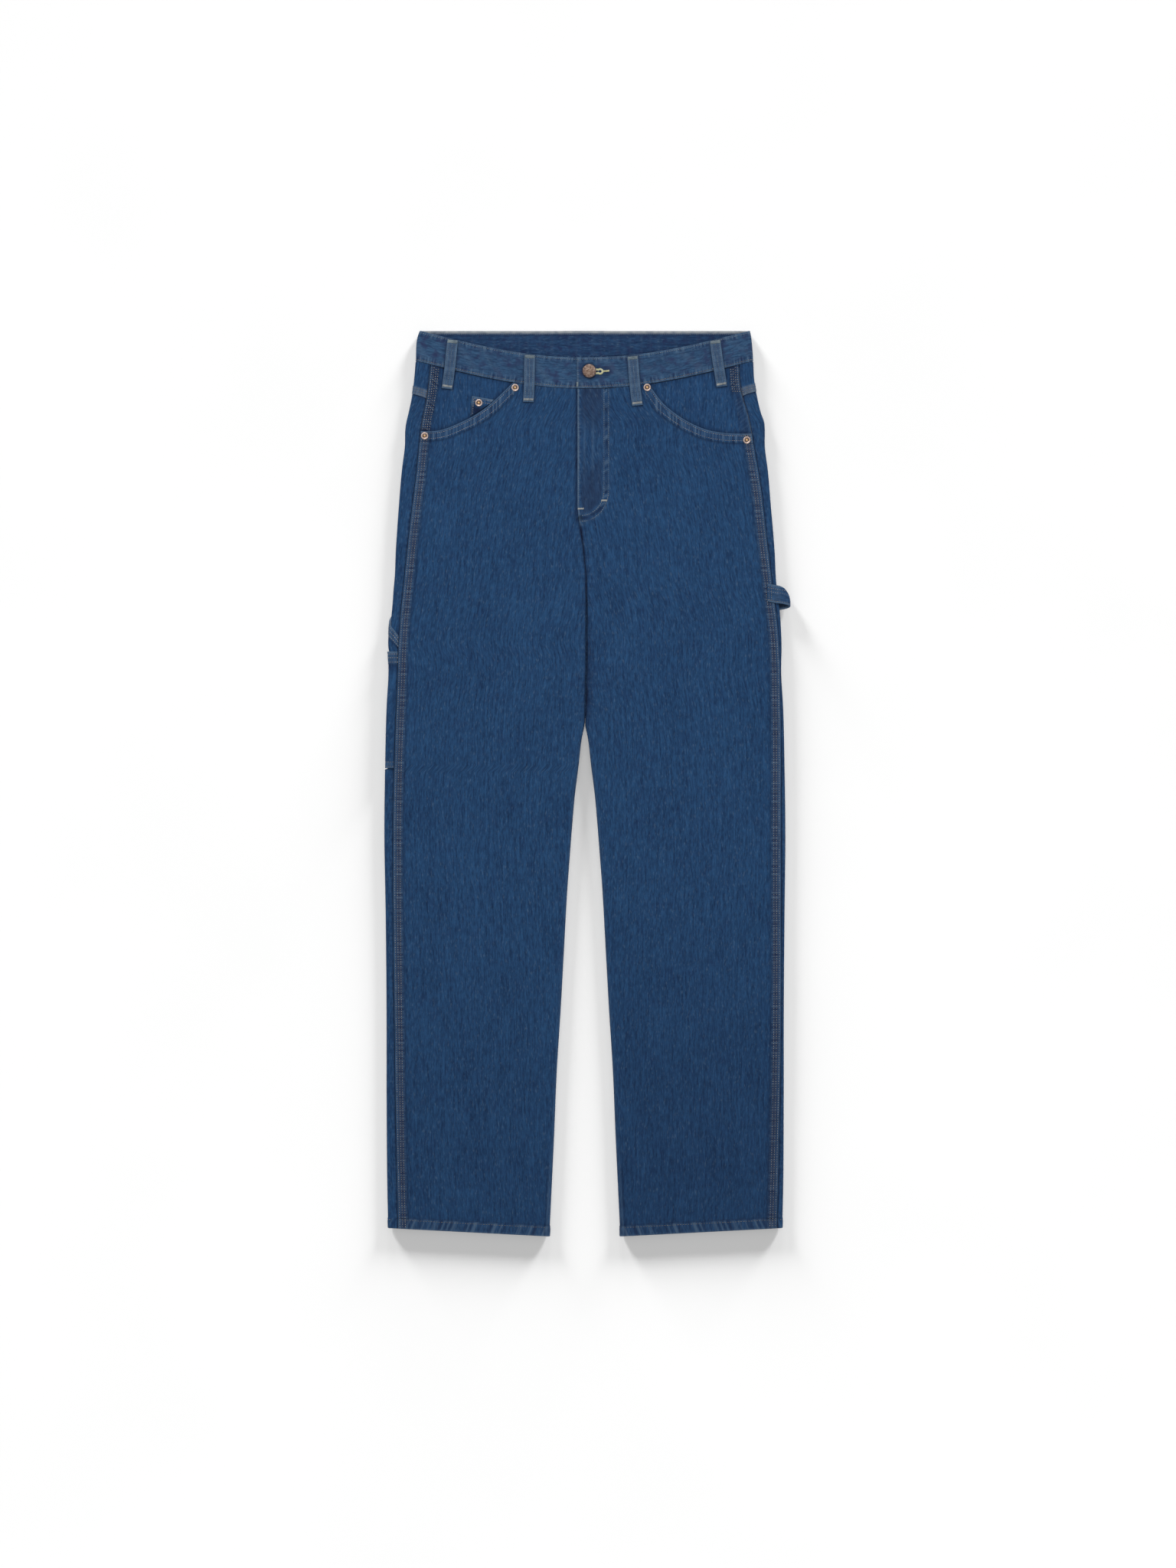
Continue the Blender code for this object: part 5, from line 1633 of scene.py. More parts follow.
@dataclass
class BackPanel(RingPiece):
    """Back of one leg, from the yoke seam to the hem, round the outer fold to the outseam."""

    outside: Finish = Finish.BACK
    hem_width: float = 12.5
    seat_rows: tuple[float, ...] = (2.0, 5.5, 9.0)
    run_columns: int = 62
    fold_columns: int = 24

    def columns(self, drop: Array) -> Array:
        """Ring parameter of each column: inner fold, lower run, then round the outer fold.

        Args:
            drop: Drop of each point.
        Returns:
            The ring parameters.
        """
        run = np.concatenate([np.linspace(0.0, 1.0, TURN_COLUMNS)[:-1],
                              LOWER + np.linspace(0.0, 1.0, self.run_columns)])
        shares = np.linspace(0.0, 1.0, self.fold_columns + 1)[1:] ** 0.9
        start = np.broadcast_to(run, (len(drop), len(run)))
        there = drop[:, len(run):]
        seam = self.outseam(there) + 0.5 * self.ring.gap
        return np.concatenate([start, self.ring.wrap(self.side, shares, there, seam)], axis=1)

    def on_seat(self, t: Array, drop: Array) -> Array:
        """How far a point is on the lower side above the crotch, from 0 to 1."""
        return fading(drop, *CROTCH) * (t < OUTER)

    def lines(self) -> tuple[Array, Array]:
        """Drops of the waist seam and the yoke seam at each column.

        Returns:
            Both seams' drops.
        """
        count = TURN_COLUMNS - 1 + self.run_columns + self.fold_columns
        share = np.zeros(count)
        share[-self.fold_columns:] = np.linspace(0.0, 1.0, self.fold_columns + 1)[1:]
        waist = np.full((1, count), self.ring.band_width)
        seam = np.full((1, count), 75.0)
        for _ in range(6):
            t = self.columns(waist)
            u, _ = self.ring.skin(self.side, t, waist, 0.0)
            waist = np.where(t > MIDDLE, self.ring.waist_dip(u), 0.0) + self.ring.band_width
            u, _ = self.ring.skin(self.side, self.columns(seam), seam, 0.0)
            seam = self.ring.yoke_seam(self.side, u) + 7.0 * share
        return waist, seam

    def yoke_line(self, t: Array) -> Array:
        """Drop of the yoke seam at a ring parameter."""
        _, seam = self.lines()
        return np.interp(np.clip(t, 0.0, 5.0), self.columns(seam)[0], seam[0])

    def edge(self, t: Array, u: Array, drop: Array) -> Array:
        """Distance in from the hem's free edge."""
        return self.ring.hem_drop - drop

    def seam_distance(self, t: Array, u: Array, drop: Array) -> Array:
        """Distance on the upper side from the outseam, out towards the fold."""
        away = u - self.outseam(drop)
        return np.where(t > MIDDLE, np.maximum(away, 0.0), FAR)

    def relief(self, t: Array, u: Array, drop: Array) -> Array:
        """Raised hem where it shows, and hollows at the rows of sewing.

        Args:
            t: Ring parameter of each point.
            u: Half coordinate of each point.
            drop: Drop of each point.
        Returns:
            The rise.
        """
        hem = self.ring.hem_drop - drop
        on_hem = fading(hem, self.hem_width - 0.8, self.hem_width + 0.8)
        shown = smooth(t, 2.3, 3.2)
        rise = 0.6 * on_hem * shown - 0.25 * bump(hem, self.hem_width - 1.8, 1.0)
        rise = rise - 0.35 * bump(self.seam_distance(t, u, drop), 0.0, 1.6)
        centre = u - self.ring.back_edge(self.side, drop)
        return grooved(rise, centre, self.seat_rows, 0.22, 0.9, self.on_seat(t, drop))

    def marks(self, t: Array, u: Array, drop: Array) -> Marks:
        """Gathered hem and seams, and painted shade beside the outseam and under the yoke seam.

        Args:
            t: Ring parameter of each point.
            u: Half coordinate of each point.
            drop: Drop of each point.
        Returns:
            The masks.
        """
        marks = Marks(u.shape)
        hem = self.ring.hem_drop - drop
        on_hem = fading(hem, self.hem_width - 0.5, self.hem_width + 1.0)
        marks.bell("wear", hem, 0.35, 0.6, 1.0)
        marks.sewn(on_hem, 0.7 * (u + 0.4 * hem))
        marks.bell("shade", self.seam_distance(t, u, drop), 0.70, 0.0, 1.6)
        marks.add("shade", 0.65 * bump(self.yoke_line(t) - drop, 0.0, 2.0))
        marks.sewn(0.35 * bump(self.seam_distance(t, u, drop), 0.0, 4.0), drop)
        centre = u - self.ring.back_edge(self.side, drop)
        seat = self.on_seat(t, drop)
        marks.sewn(0.7 * fading(centre, 10.5, 12.0) * seat, drop)
        marks.bell("wear", centre, 0.3, 10.6, 1.0, seat)
        marks.sewn(0.5 * (t < LOWER) * smooth(drop, *CROTCH), drop)
        return marks

    def make(self, sewing: Sewing) -> bpy.types.Object:
        """Make the panel and its sewing.

        Args:
            sewing: Where the stitches are kept.
        Returns:
            The piece.
        """
        _, seam = self.lines()
        shares = np.linspace(0.0, 1.0, 20)[:-1, None]
        above = seam + (LEVEL - seam) * shares ** 1.2
        drop = np.concatenate([above, self.level_rows(seam.shape[1], *POCKET_END)])
        piece = self.build(self.columns(drop), drop)
        ring, side = self.ring, self.side
        t = np.concatenate([np.linspace(1.03, 2.0, 80), np.linspace(2.0, 3.9, 16)])
        row = np.full(t.shape, ring.hem_drop - self.hem_width + 1.8)
        self.sew(sewing, Finish.OLIVE, t, row, 3.2)
        if side == RIGHT:
            line = np.arange(float(ring.yoke_seam(side, np.array(4.0))) + 2.0, 466.0, 3.0)
            for at in self.seat_rows:
                u = ring.back_edge(side, line) + ring.fold + at - 3.0
                self.sew(sewing, Finish.OLIVE, ring.t_of_lower(side, u, line), line, 2.9)
        line = np.arange(500.0, ring.hem_drop - 1.0, 3.0)
        for t_at in (0.55, 1.0):
            self.sew(sewing, Finish.OLIVE, np.full(line.shape, t_at), line, 3.0)
        return piece


@dataclass
class Yoke(BackPanel):
    """Yoke of one side, from the waist seam to the yoke seam."""

    band: float = 9.6
    rows: tuple[float, ...] = (2.0, 4.8, 7.8)

    def edge(self, t: Array, u: Array, drop: Array) -> Array:
        """Distance in from the yoke seam, which laps over the back panel."""
        return self.below(t, drop)

    def below(self, t: Array, drop: Array) -> Array:
        """Distance up from the yoke seam."""
        return self.yoke_line(t) - self.ring.gap - drop

    def relief(self, t: Array, u: Array, drop: Array) -> Array:
        """A raised band along the yoke seam where it shows, hollowed by its sewing.

        Args:
            t: Ring parameter of each point.
            u: Half coordinate of each point.
            drop: Drop of each point.
        Returns:
            The rise.
        """
        up = self.below(t, drop)
        rise = 0.7 * fading(up, self.band - 0.8, self.band + 0.8) * smooth(t, 2.3, 3.0)
        rise = grooved(rise, up, self.rows, 0.22)
        return rise - 0.35 * bump(self.seam_distance(t, u, drop), 0.0, 1.6)

    def marks(self, t: Array, u: Array, drop: Array) -> Marks:
        """A lighter band along the yoke seam, and painted shade in the groove beside the outseam.

        Args:
            t: Ring parameter of each point.
            u: Half coordinate of each point.
            drop: Drop of each point.
        Returns:
            The masks.
        """
        marks = Marks(u.shape)
        up = self.below(t, drop)
        on = fading(up, self.band - 0.5, self.band + 1.0)
        marks.add("wear", 0.42 * bump(up, 0.8, 1.0) + 0.30 * on)
        marks.add("pale", 0.16 * on)
        marks.bell("shade", self.seam_distance(t, u, drop), 0.65, 0.0, 1.6)
        marks.sewn(0.7 * on, u)
        return marks

    def make(self, sewing: Sewing) -> bpy.types.Object:
        """Make the yoke and its sewing.

        Args:
            sewing: Where the stitches are kept.
        Returns:
            The piece.
        """
        waist, seam = self.lines()
        top = waist + self.ring.gap
        bottom = seam - self.ring.gap
        up = np.array([0.0, 0.2, 0.5, 1.0, 2.0, 3.3, 4.8, 6.2, 7.8, 9.0, 9.8, 11.0])
        shares = np.linspace(0.0, 1.0, 12)[:-1, None]
        drop = np.concatenate([top + (bottom - up[-1] - top) * shares, bottom - up[::-1, None]])
        piece = self.build(self.columns(drop), drop)
        t = self.columns(seam)[0]
        for at in self.rows:
            line = seam[0] - self.ring.gap - at
            self.sew(sewing, Finish.OLIVE, t, line, 2.9)
        return piece


@dataclass
class ToolPocket(RingPiece):
    """Pocket on the back of the left leg, from the outseam round the fold to its inner edge."""

    outside: Finish = Finish.BACK
    level: int = 1
    mouth: Array | None = None
    mouth_drop: float = 394.0
    bottom: float = 537.0
    inner_edge: float = 130.0
    hem_width: float = 15.0
    bottom_rows: tuple[float, ...] = (2.0, 7.5)
    run_columns: int = 40
    fold_columns: int = 26
    bend: float = 18.0

    def columns(self, drop: Array) -> Array:
        """Ring parameter of each column, from the outseam inwards along the back.

        Args:
            drop: Drop of each point.
        Returns:
            The ring parameters.
        """
        n = self.fold_columns + 1
        seam = self.outseam(drop[:, :n]) + 0.5 * self.ring.gap
        fold = self.ring.wrap(self.side, np.linspace(1.0, 0.0, n), drop[:, :n], seam)
        edge = self.ring.t_of_lower(self.side, self.inner_edge, drop[:, n:])
        shares = np.linspace(0.0, 1.0, drop.shape[1] - n + 1)[1:]
        return np.concatenate([fold, OUTER + (edge - OUTER) * shares], axis=1)

    def top(self) -> Array:
        """Drop of the mouth at each column.

        Returns:
            The drops.
        """
        top = np.full((1, self.fold_columns + 1 + self.run_columns), self.mouth_drop)
        if self.mouth is not None:
            u, _ = self.ring.skin(self.side, self.columns(top), top, 0.0)
            n = self.fold_columns + 1
            around = np.concatenate([self.bend * np.linspace(0.0, 1.0, n),
                                     self.bend + u[0, n - 1] - u[0, n:]])
            top = curve(self.mouth, around)[None, :]
        return top

    def fall(self, t: Array, drop: Array) -> Array:
        """Distance below the mouth.

        Args:
            t: Ring parameter of each point.
            drop: Drop of each point.
        Returns:
            The distance.
        """
        top = self.top()
        at = self.columns(top)[0]
        order = np.argsort(at)
        return drop - np.interp(t, at[order], top[0][order])

    def whole(self, t: Array, u: Array, drop: Array) -> Array:
        """Each pocket lies one layer further out."""
        return np.full(u.shape, self.level * self.ring.layer)

    def edge(self, t: Array, u: Array, drop: Array) -> Array:
        """Distance in from the mouth, the bottom or the inner edge.

        Args:
            t: Ring parameter of each point.
            u: Half coordinate of each point.
            drop: Drop of each point.
        Returns:
            The distance.
        """
        near = np.minimum(np.abs(self.fall(t, drop)), self.bottom - drop)
        inner = np.where(t < OUTER, np.abs(u - self.inner_edge), FAR)
        return np.minimum(near, inner)

    def relief(self, t: Array, u: Array, drop: Array) -> Array:
        """Raised mouth hem where it shows, and hollows at the sewing.

        Args:
            t: Ring parameter of each point.
            u: Half coordinate of each point.
            drop: Drop of each point.
        Returns:
            The rise.
        """
        fall = self.fall(t, drop)
        shown = smooth(t, 2.2, 3.0)
        rise = 0.5 * fading(fall, self.hem_width - 0.8, self.hem_width + 0.8) * shown
        rise = rise - 0.25 * bump(fall, self.hem_width - 2.0, 0.9) - 0.2 * bump(fall, 3.0, 0.9)
        up = self.bottom - drop
        rise = grooved(rise, up, self.bottom_rows, 0.25, 0.9)
        beside = np.where(t > MIDDLE, u - self.outseam(drop), FAR)
        return rise - 0.35 * bump(beside, 0.0, 1.6)

    def marks(self, t: Array, u: Array, drop: Array) -> Marks:
        """Worn, gathered mouth hem and bottom, with painted shade below the hem and beside the
        outseam.

        Args:
            t: Ring parameter of each point.
            u: Half coordinate of each point.
            drop: Drop of each point.
        Returns:
            The masks.
        """
        marks = Marks(u.shape)
        fall = self.fall(t, drop)
        up = self.bottom - drop
        on = fading(fall, self.hem_width - 0.5, self.hem_width + 1.0)
        marks.add("wear", 0.8 * bump(fall, 0.7, 1.2) + 0.30 * on + 0.4 * bump(up, 0.8, 1.0))
        marks.add("wear", 0.18 * fading(up, 8.0, 9.5))
        marks.bell("shade", fall, 0.6, self.hem_width + 1.2, 1.4)
        beside = np.where(t > MIDDLE, u - self.outseam(drop), FAR)
        marks.bell("shade", beside, 0.5, 0.0, 1.5)
        marks.sewn(0.6 * on, u)
        marks.sewn(0.5 * bump(up, 4.5, 4.5), u)
        return marks

    def make(self, sewing: Sewing) -> bpy.types.Object:
        """Make the pocket and its sewing.

        Args:
            sewing: Where the stitches are kept.
        Returns:
            The piece.
        """
        top = self.top()
        steps = np.array([0.0, 0.2, 0.5, 1.0, 2.0, 3.0, 5.0, 8.0, 11.0, 13.0, 14.4, 15.2, 17.0])
        band = top + steps[:, None]
        last = self.bottom - np.array([9.0, 7.5, 6.0, 4.5, 3.0, 2.0, 1.0, 0.5, 0.2, 0.0])[:, None]
        last = last + np.zeros(top.shape)
        shares = np.linspace(0.0, 1.0, 38)[1:-1, None]
        drop = np.concatenate([band, band[-1:] + (last[:1] - band[-1:]) * shares, last])
        piece = self.build(self.columns(drop), drop)
        t = self.columns(top)[0]
        for at in (3.0, 0.5 * self.hem_width, self.hem_width - 2.0):
            self.sew(sewing, Finish.SAND, t, top[0] + at, 2.9)
        for at in self.bottom_rows:
            row = np.full((1, len(t)), self.bottom - at)
            self.sew(sewing, Finish.OLIVE, self.columns(row)[0], row[0], 2.9)
            line = np.arange(float(top[0, -1]) + 4.0, self.bottom - 3.0, 3.0)
            inside = self.ring.t_of_lower(self.side, self.inner_edge + at, line)
            self.sew(sewing, Finish.OLIVE, inside, line, 2.9)
        return piece


@dataclass
class Facing(RingPiece):
    """Cloth inside a front pocket's mouth, sewn to the outseam and under the front."""

    outside: Finish = Finish.FACING
    inset: float = 0.6
    end: float = 70.0
    lap: float = 18.0
    shortest: float = 10.0
    rows: tuple[float, ...] = (1.6, 4.2, 6.9, 9.6)

    def seam(self, drop: Array) -> Array:
        """Half coordinate of the facing's outer edge."""
        return self.outseam(drop) - self.inset

    def place_at(self, u: Array, drop: Array, above: float = 0.0) -> Array:
        """Points of the facing's upper skin, raised along the outseam.

        Args:
            u: Half coordinate of each point.
            drop: Drop of each point.
            above: Height above the skin, in millimetres.
        Returns:
            The points, in metres.
        """
        ring = self.ring
        seam = self.seam(drop) - u
        recess = ring.layer - 1.1 * fading(seam, 9.6, 11.8) * smooth(-drop, -118.0, -92.0)
        z = ring.top_height(drop) - recess + above
        z = grooved(z, seam, SEAM_ROWS, 0.22, 0.8, smooth(-drop, -120.0, -92.0))
        return ring.place(self.side, u, drop, z + fold_heights(UPPER_FOLDS, self.side, u, drop))

    def masks(self, u: Array, drop: Array, below: Array) -> Marks:
        """A worn outer edge, a stained, gathered seam with painted shade, and painted shade under
        the front and the belt loops.

        Args:
            u: Half coordinate of each point.
            drop: Drop of each point.
            below: Distance below the waist seam.
        Returns:
            The masks.
        """
        marks = Marks(u.shape)
        seam = self.seam(drop) - u
        plain = 0.65 * smooth(drop, 73.0, 80.0) if self.side == RIGHT else 0.0
        on = fading(seam, 11.0, 12.4) * (1.0 - plain)
        marks.bell("wear", seam, 0.40, 0.8, 1.2)
        marks.add("tan", 0.35 * on * bump(seam, 6.4, 5.0))
        marks.add("shade", 0.50 * on * bump(seam, 6.4, 5.0))
        marks.bell("shade", seam, 0.30, 12.4, 1.3)
        marks.add("shade", 0.65 * loop_shadow(self.side, u, drop))
        away = curve(MOUTH[self.side], u) - drop
        marks.add("shade", 0.45 * fading(away, 0.0, 7.0))
        marks.add("shade", 0.35 * bump(below, 0.0, 2.5))
        marks.sewn(0.9 * on * smooth(seam, 1.5, 3.0), 1.3 * drop + u)
        return marks

    def make(self, sewing: Sewing) -> bpy.types.Object:
        """Make the facing, its watch pocket's own sewing apart.

        Args:
            sewing: Where the stitches are kept.
        Returns:
            The piece.
        """
        ring, side = self.ring, self.side
        steps = EDGE_STEPS[:-2]
        shares = np.linspace(0.0, 1.0, 50)[1:]
        count = len(steps) + len(shares)
        waist = np.full((1, count), 75.0)
        bottom = waist

        def across(drop: Array) -> Array:
            """Half coordinate of each column.

            Args:
                drop: Drop of each point.
            Returns:
                The half coordinates.
            """
            seam = self.seam(drop)
            near = seam[:, :len(steps)] - steps
            start = seam[:, len(steps):] - steps[-1]
            return np.concatenate([near, start + (self.end - start) * shares], axis=1)

        for _ in range(6):
            waist = ring.waist_dip(across(waist)) + ring.band_width + ring.gap
            mouth = curve(MOUTH[side], across(bottom)) + self.lap
            bottom = np.maximum(mouth, waist + self.shortest)
        drop = waist + (bottom - waist) * np.linspace(0.0, 1.0, 44)[:, None]
        u = across(drop)
        outer = self.place_at(u, drop)
        inner = outer - UP * (ring.cloth * MM)
        marks = self.masks(u, drop, drop - waist)
        uv = (u + side * WEAVE["panel"] + WEAVE["facing"], drop)
        piece = cloth_piece(f"{self.name}_cloth", self.name, outer, inner, uv, marks,
                            self.outside, Finish.REVERSE)
        for at in self.rows:
            line = np.arange(44.0, 125.0 if side == LEFT else 77.0, 2.0)
            u_at = self.seam(line) - at
            keep = (line > ring.waist_dip(u_at) + ring.band_width + 1.0) & \
                (line < curve(MOUTH[side], u_at) - 0.5)
            u_at, line = u_at[keep], line[keep]
            sewing.row(Finish.SAND, self.place_at(u_at, line), self.place_at(u_at, line, 1.0),
                       2.9, 0.42, 1.05)
        return piece


@dataclass
class WatchPocket:
    """Small pocket on the left facing, whose lower end meets the front's curved mouth."""

    ring: Ring
    lean: float = 0.09
    gap: float = 0.8
    rows: tuple[float, float] = (2.6, 6.0)

    def grid(self, u: Array, share: Array, above: float = 0.0) -> tuple[Array, Array, Array]:
        """Half coordinate, drop and points at shares of the way down.

        Args:
            u: Half coordinate of each point.
            share: Share of the way down.
            above: Height above the skin, in millimetres.
        Returns:
            Half coordinate, drop, and points in metres.
        """
        top = table(WATCH_CORNERS, u)
        mouth = curve(MOUTH[LEFT], u) - self.gap
        drop = top + (mouth - top) * share
        at = u + self.lean * (drop - top)
        side_edge = np.minimum(u - WATCH_CORNERS[0, 0], WATCH_CORNERS[1, 0] - u)
        edge = np.minimum(side_edge, drop - top)
        z = self.ring.top - 0.55 * roll(edge, 1.0) - 0.2 * bump(edge, 2.6, 0.8) + above
        z = z + fold_heights(UPPER_FOLDS, LEFT, at, drop)
        return at, drop, self.ring.place(LEFT, at, drop, z)

    def make(self, sewing: Sewing) -> bpy.types.Object:
        """Make the pocket and its sewing.

        Args:
            sewing: Where the stitches are kept.
        Returns:
            The piece.
        """
        steps = np.array([0.0, 0.25, 0.6, 1.2, 2.0, 2.8, 4.0])
        low, high = WATCH_CORNERS[0, 0], WATCH_CORNERS[1, 0]
        u = np.concatenate([low + steps, np.linspace(low + 5.5, high - 5.5, 9), high - steps[::-1]])
        share = np.concatenate([np.array([0.0, 0.02, 0.05, 0.09, 0.15, 0.22]),
                                np.linspace(0.3, 1.0, 14)])[:, None]
        at, drop, outer = self.grid(u[None, :], share)
        inner = outer.copy()
        inner[..., 2] = (self.ring.top - self.ring.cloth) * MM
        below = drop - table(WATCH_CORNERS, u[None, :])
        edge = np.minimum(np.minimum(u[None, :] - low, high - u[None, :]), below)
        marks = Marks(at.shape)
        marks.bell("wear", edge, 0.90, 0.7, 1.5)
        # Painted shade over the pocket's lower part
        marks.add("shade", 0.85 * smooth(below, 7.0, 15.0))
        marks.sewn(0.8 * bump(edge, 2.5, 2.5), at + drop)
        piece = cloth_piece("watch_pocket_cloth", "watch_pocket", outer, inner,
                            (at + WEAVE["watch"], drop), marks, Finish.FACING, Finish.REVERSE)
        inset = self.rows[0]
        line = np.linspace(low + inset, high - inset, 30)
        top = table(WATCH_CORNERS, line)
        length = curve(MOUTH[LEFT], line) - self.gap - top
        for at_row in self.rows:
            _, _, path = self.grid(line, at_row / length)
            sewing.row(Finish.SAND, path, path + UP * MM, 2.6, 0.72)
        for x in (low + inset, high - inset):
            _, _, path = self.grid(np.full(20, x), np.linspace(0.1, 0.97, 20))
            sewing.row(Finish.SAND, path, path + UP * MM, 2.6, 0.72)
        return piece


@dataclass
class BackPocket:
    """Patch pocket under the seat: a straight mouth beside the yoke and a pointed lower edge."""

    ring: Ring
    side: int
    name: str
    inner: float = 46.0
    outer: float = 200.0
    taper: float = 8.0
    side_drop: float = 255.0
    point: float = 18.0
    length: float = 160.0
    side_rows: tuple[float, float] = (2.2, 7.5)
    mouth_rows: tuple[float, float] = (3.0, 13.0)
    thread_height: float = 0.25

    def grid(self, share: Array, fall: Array) -> tuple[Array, Array]:
        """Half coordinate and drop at shares across and down the pocket.

        Args:
            share: Place across, from -1 to 1.
            fall: Share of the way down.
        Returns:
            Half coordinate and drop.
        """
        centre = 0.5 * (self.inner + self.outer)
        reach = 0.5 * (self.outer - self.inner)
        mouth = self.ring.yoke_seam(self.side, centre + reach * share) + 13.0
        bottom = self.side_drop + self.point * (1.0 - np.abs(share))
        return centre + (reach - self.taper * fall) * share, mouth + (bottom - mouth) * fall

    def make(self, sewing: Sewing) -> bpy.types.Object:
        """Make the pocket and its sewing, which shows from below.

        Args:
            sewing: Where the stitches are kept.
        Returns:
            The piece.
        """
        close = np.array([0.0, 0.004, 0.01, 0.02, 0.035, 0.055])
        share = np.concatenate([-1.0 + 2.0 * close, np.linspace(-0.86, 0.86, 40),
                                1.0 - 2.0 * close[::-1]])[None, :]
        fall = np.concatenate([close, np.linspace(0.08, 0.92, 36), 1.0 - close[::-1]])[:, None]
        u, drop = self.grid(share, fall)
        reach = 0.5 * (self.outer - self.inner)
        edge = np.minimum((1.0 - np.abs(share)) * reach, np.minimum(fall, 1.0 - fall) * self.length)
        z = 0.5 * roll(edge, 1.0) + 0.18 * bump(edge, 2.2, 0.9) + 0.18 * bump(edge, 7.5, 0.9)
        outer = self.ring.place(self.side, u, drop, z)
        inner = self.ring.place(self.side, u, drop, self.ring.cloth - 0.3 * roll(edge, 1.0))
        marks = Marks(np.broadcast(u, drop).shape)
        marks.add("wear", 0.5 * bump(edge, 0.6, 1.0) + 0.1 * fading(edge, 8.0, 9.0))
        marks.sewn(0.6 * fading(edge, 8.0, 9.5), u + drop)
        uv = (u + self.side * WEAVE["pocket"], drop)
        piece = cloth_piece(f"{self.name}_cloth", self.name, outer, inner, uv, marks,
                            Finish.BACK, Finish.REVERSE)
        for inset in self.side_rows:
            s = 1.0 - inset / reach
            f = inset / self.length
            across = np.linspace(-s, s, 61)
            down = np.linspace(0.02, 1.0 - f, 60)
            loop = [(np.full(60, -s), down), (across, np.full(61, 1.0 - f)),
                    (np.full(60, s), down[::-1])]
            for s_at, f_at in loop:
                u_at, drop_at = self.grid(s_at, f_at)
                path = self.ring.place(self.side, u_at, drop_at, self.thread_height)
                sewing.row(Finish.OLIVE, path, path - UP * MM, 2.9)
        for inset in self.mouth_rows:
            f = inset / self.length
            u_at, drop_at = self.grid(np.linspace(-0.97, 0.97, 60), np.full(60, f))
            path = self.ring.place(self.side, u_at, drop_at, self.thread_height)
            sewing.row(Finish.OLIVE, path, path - UP * MM, 2.9)
        return piece


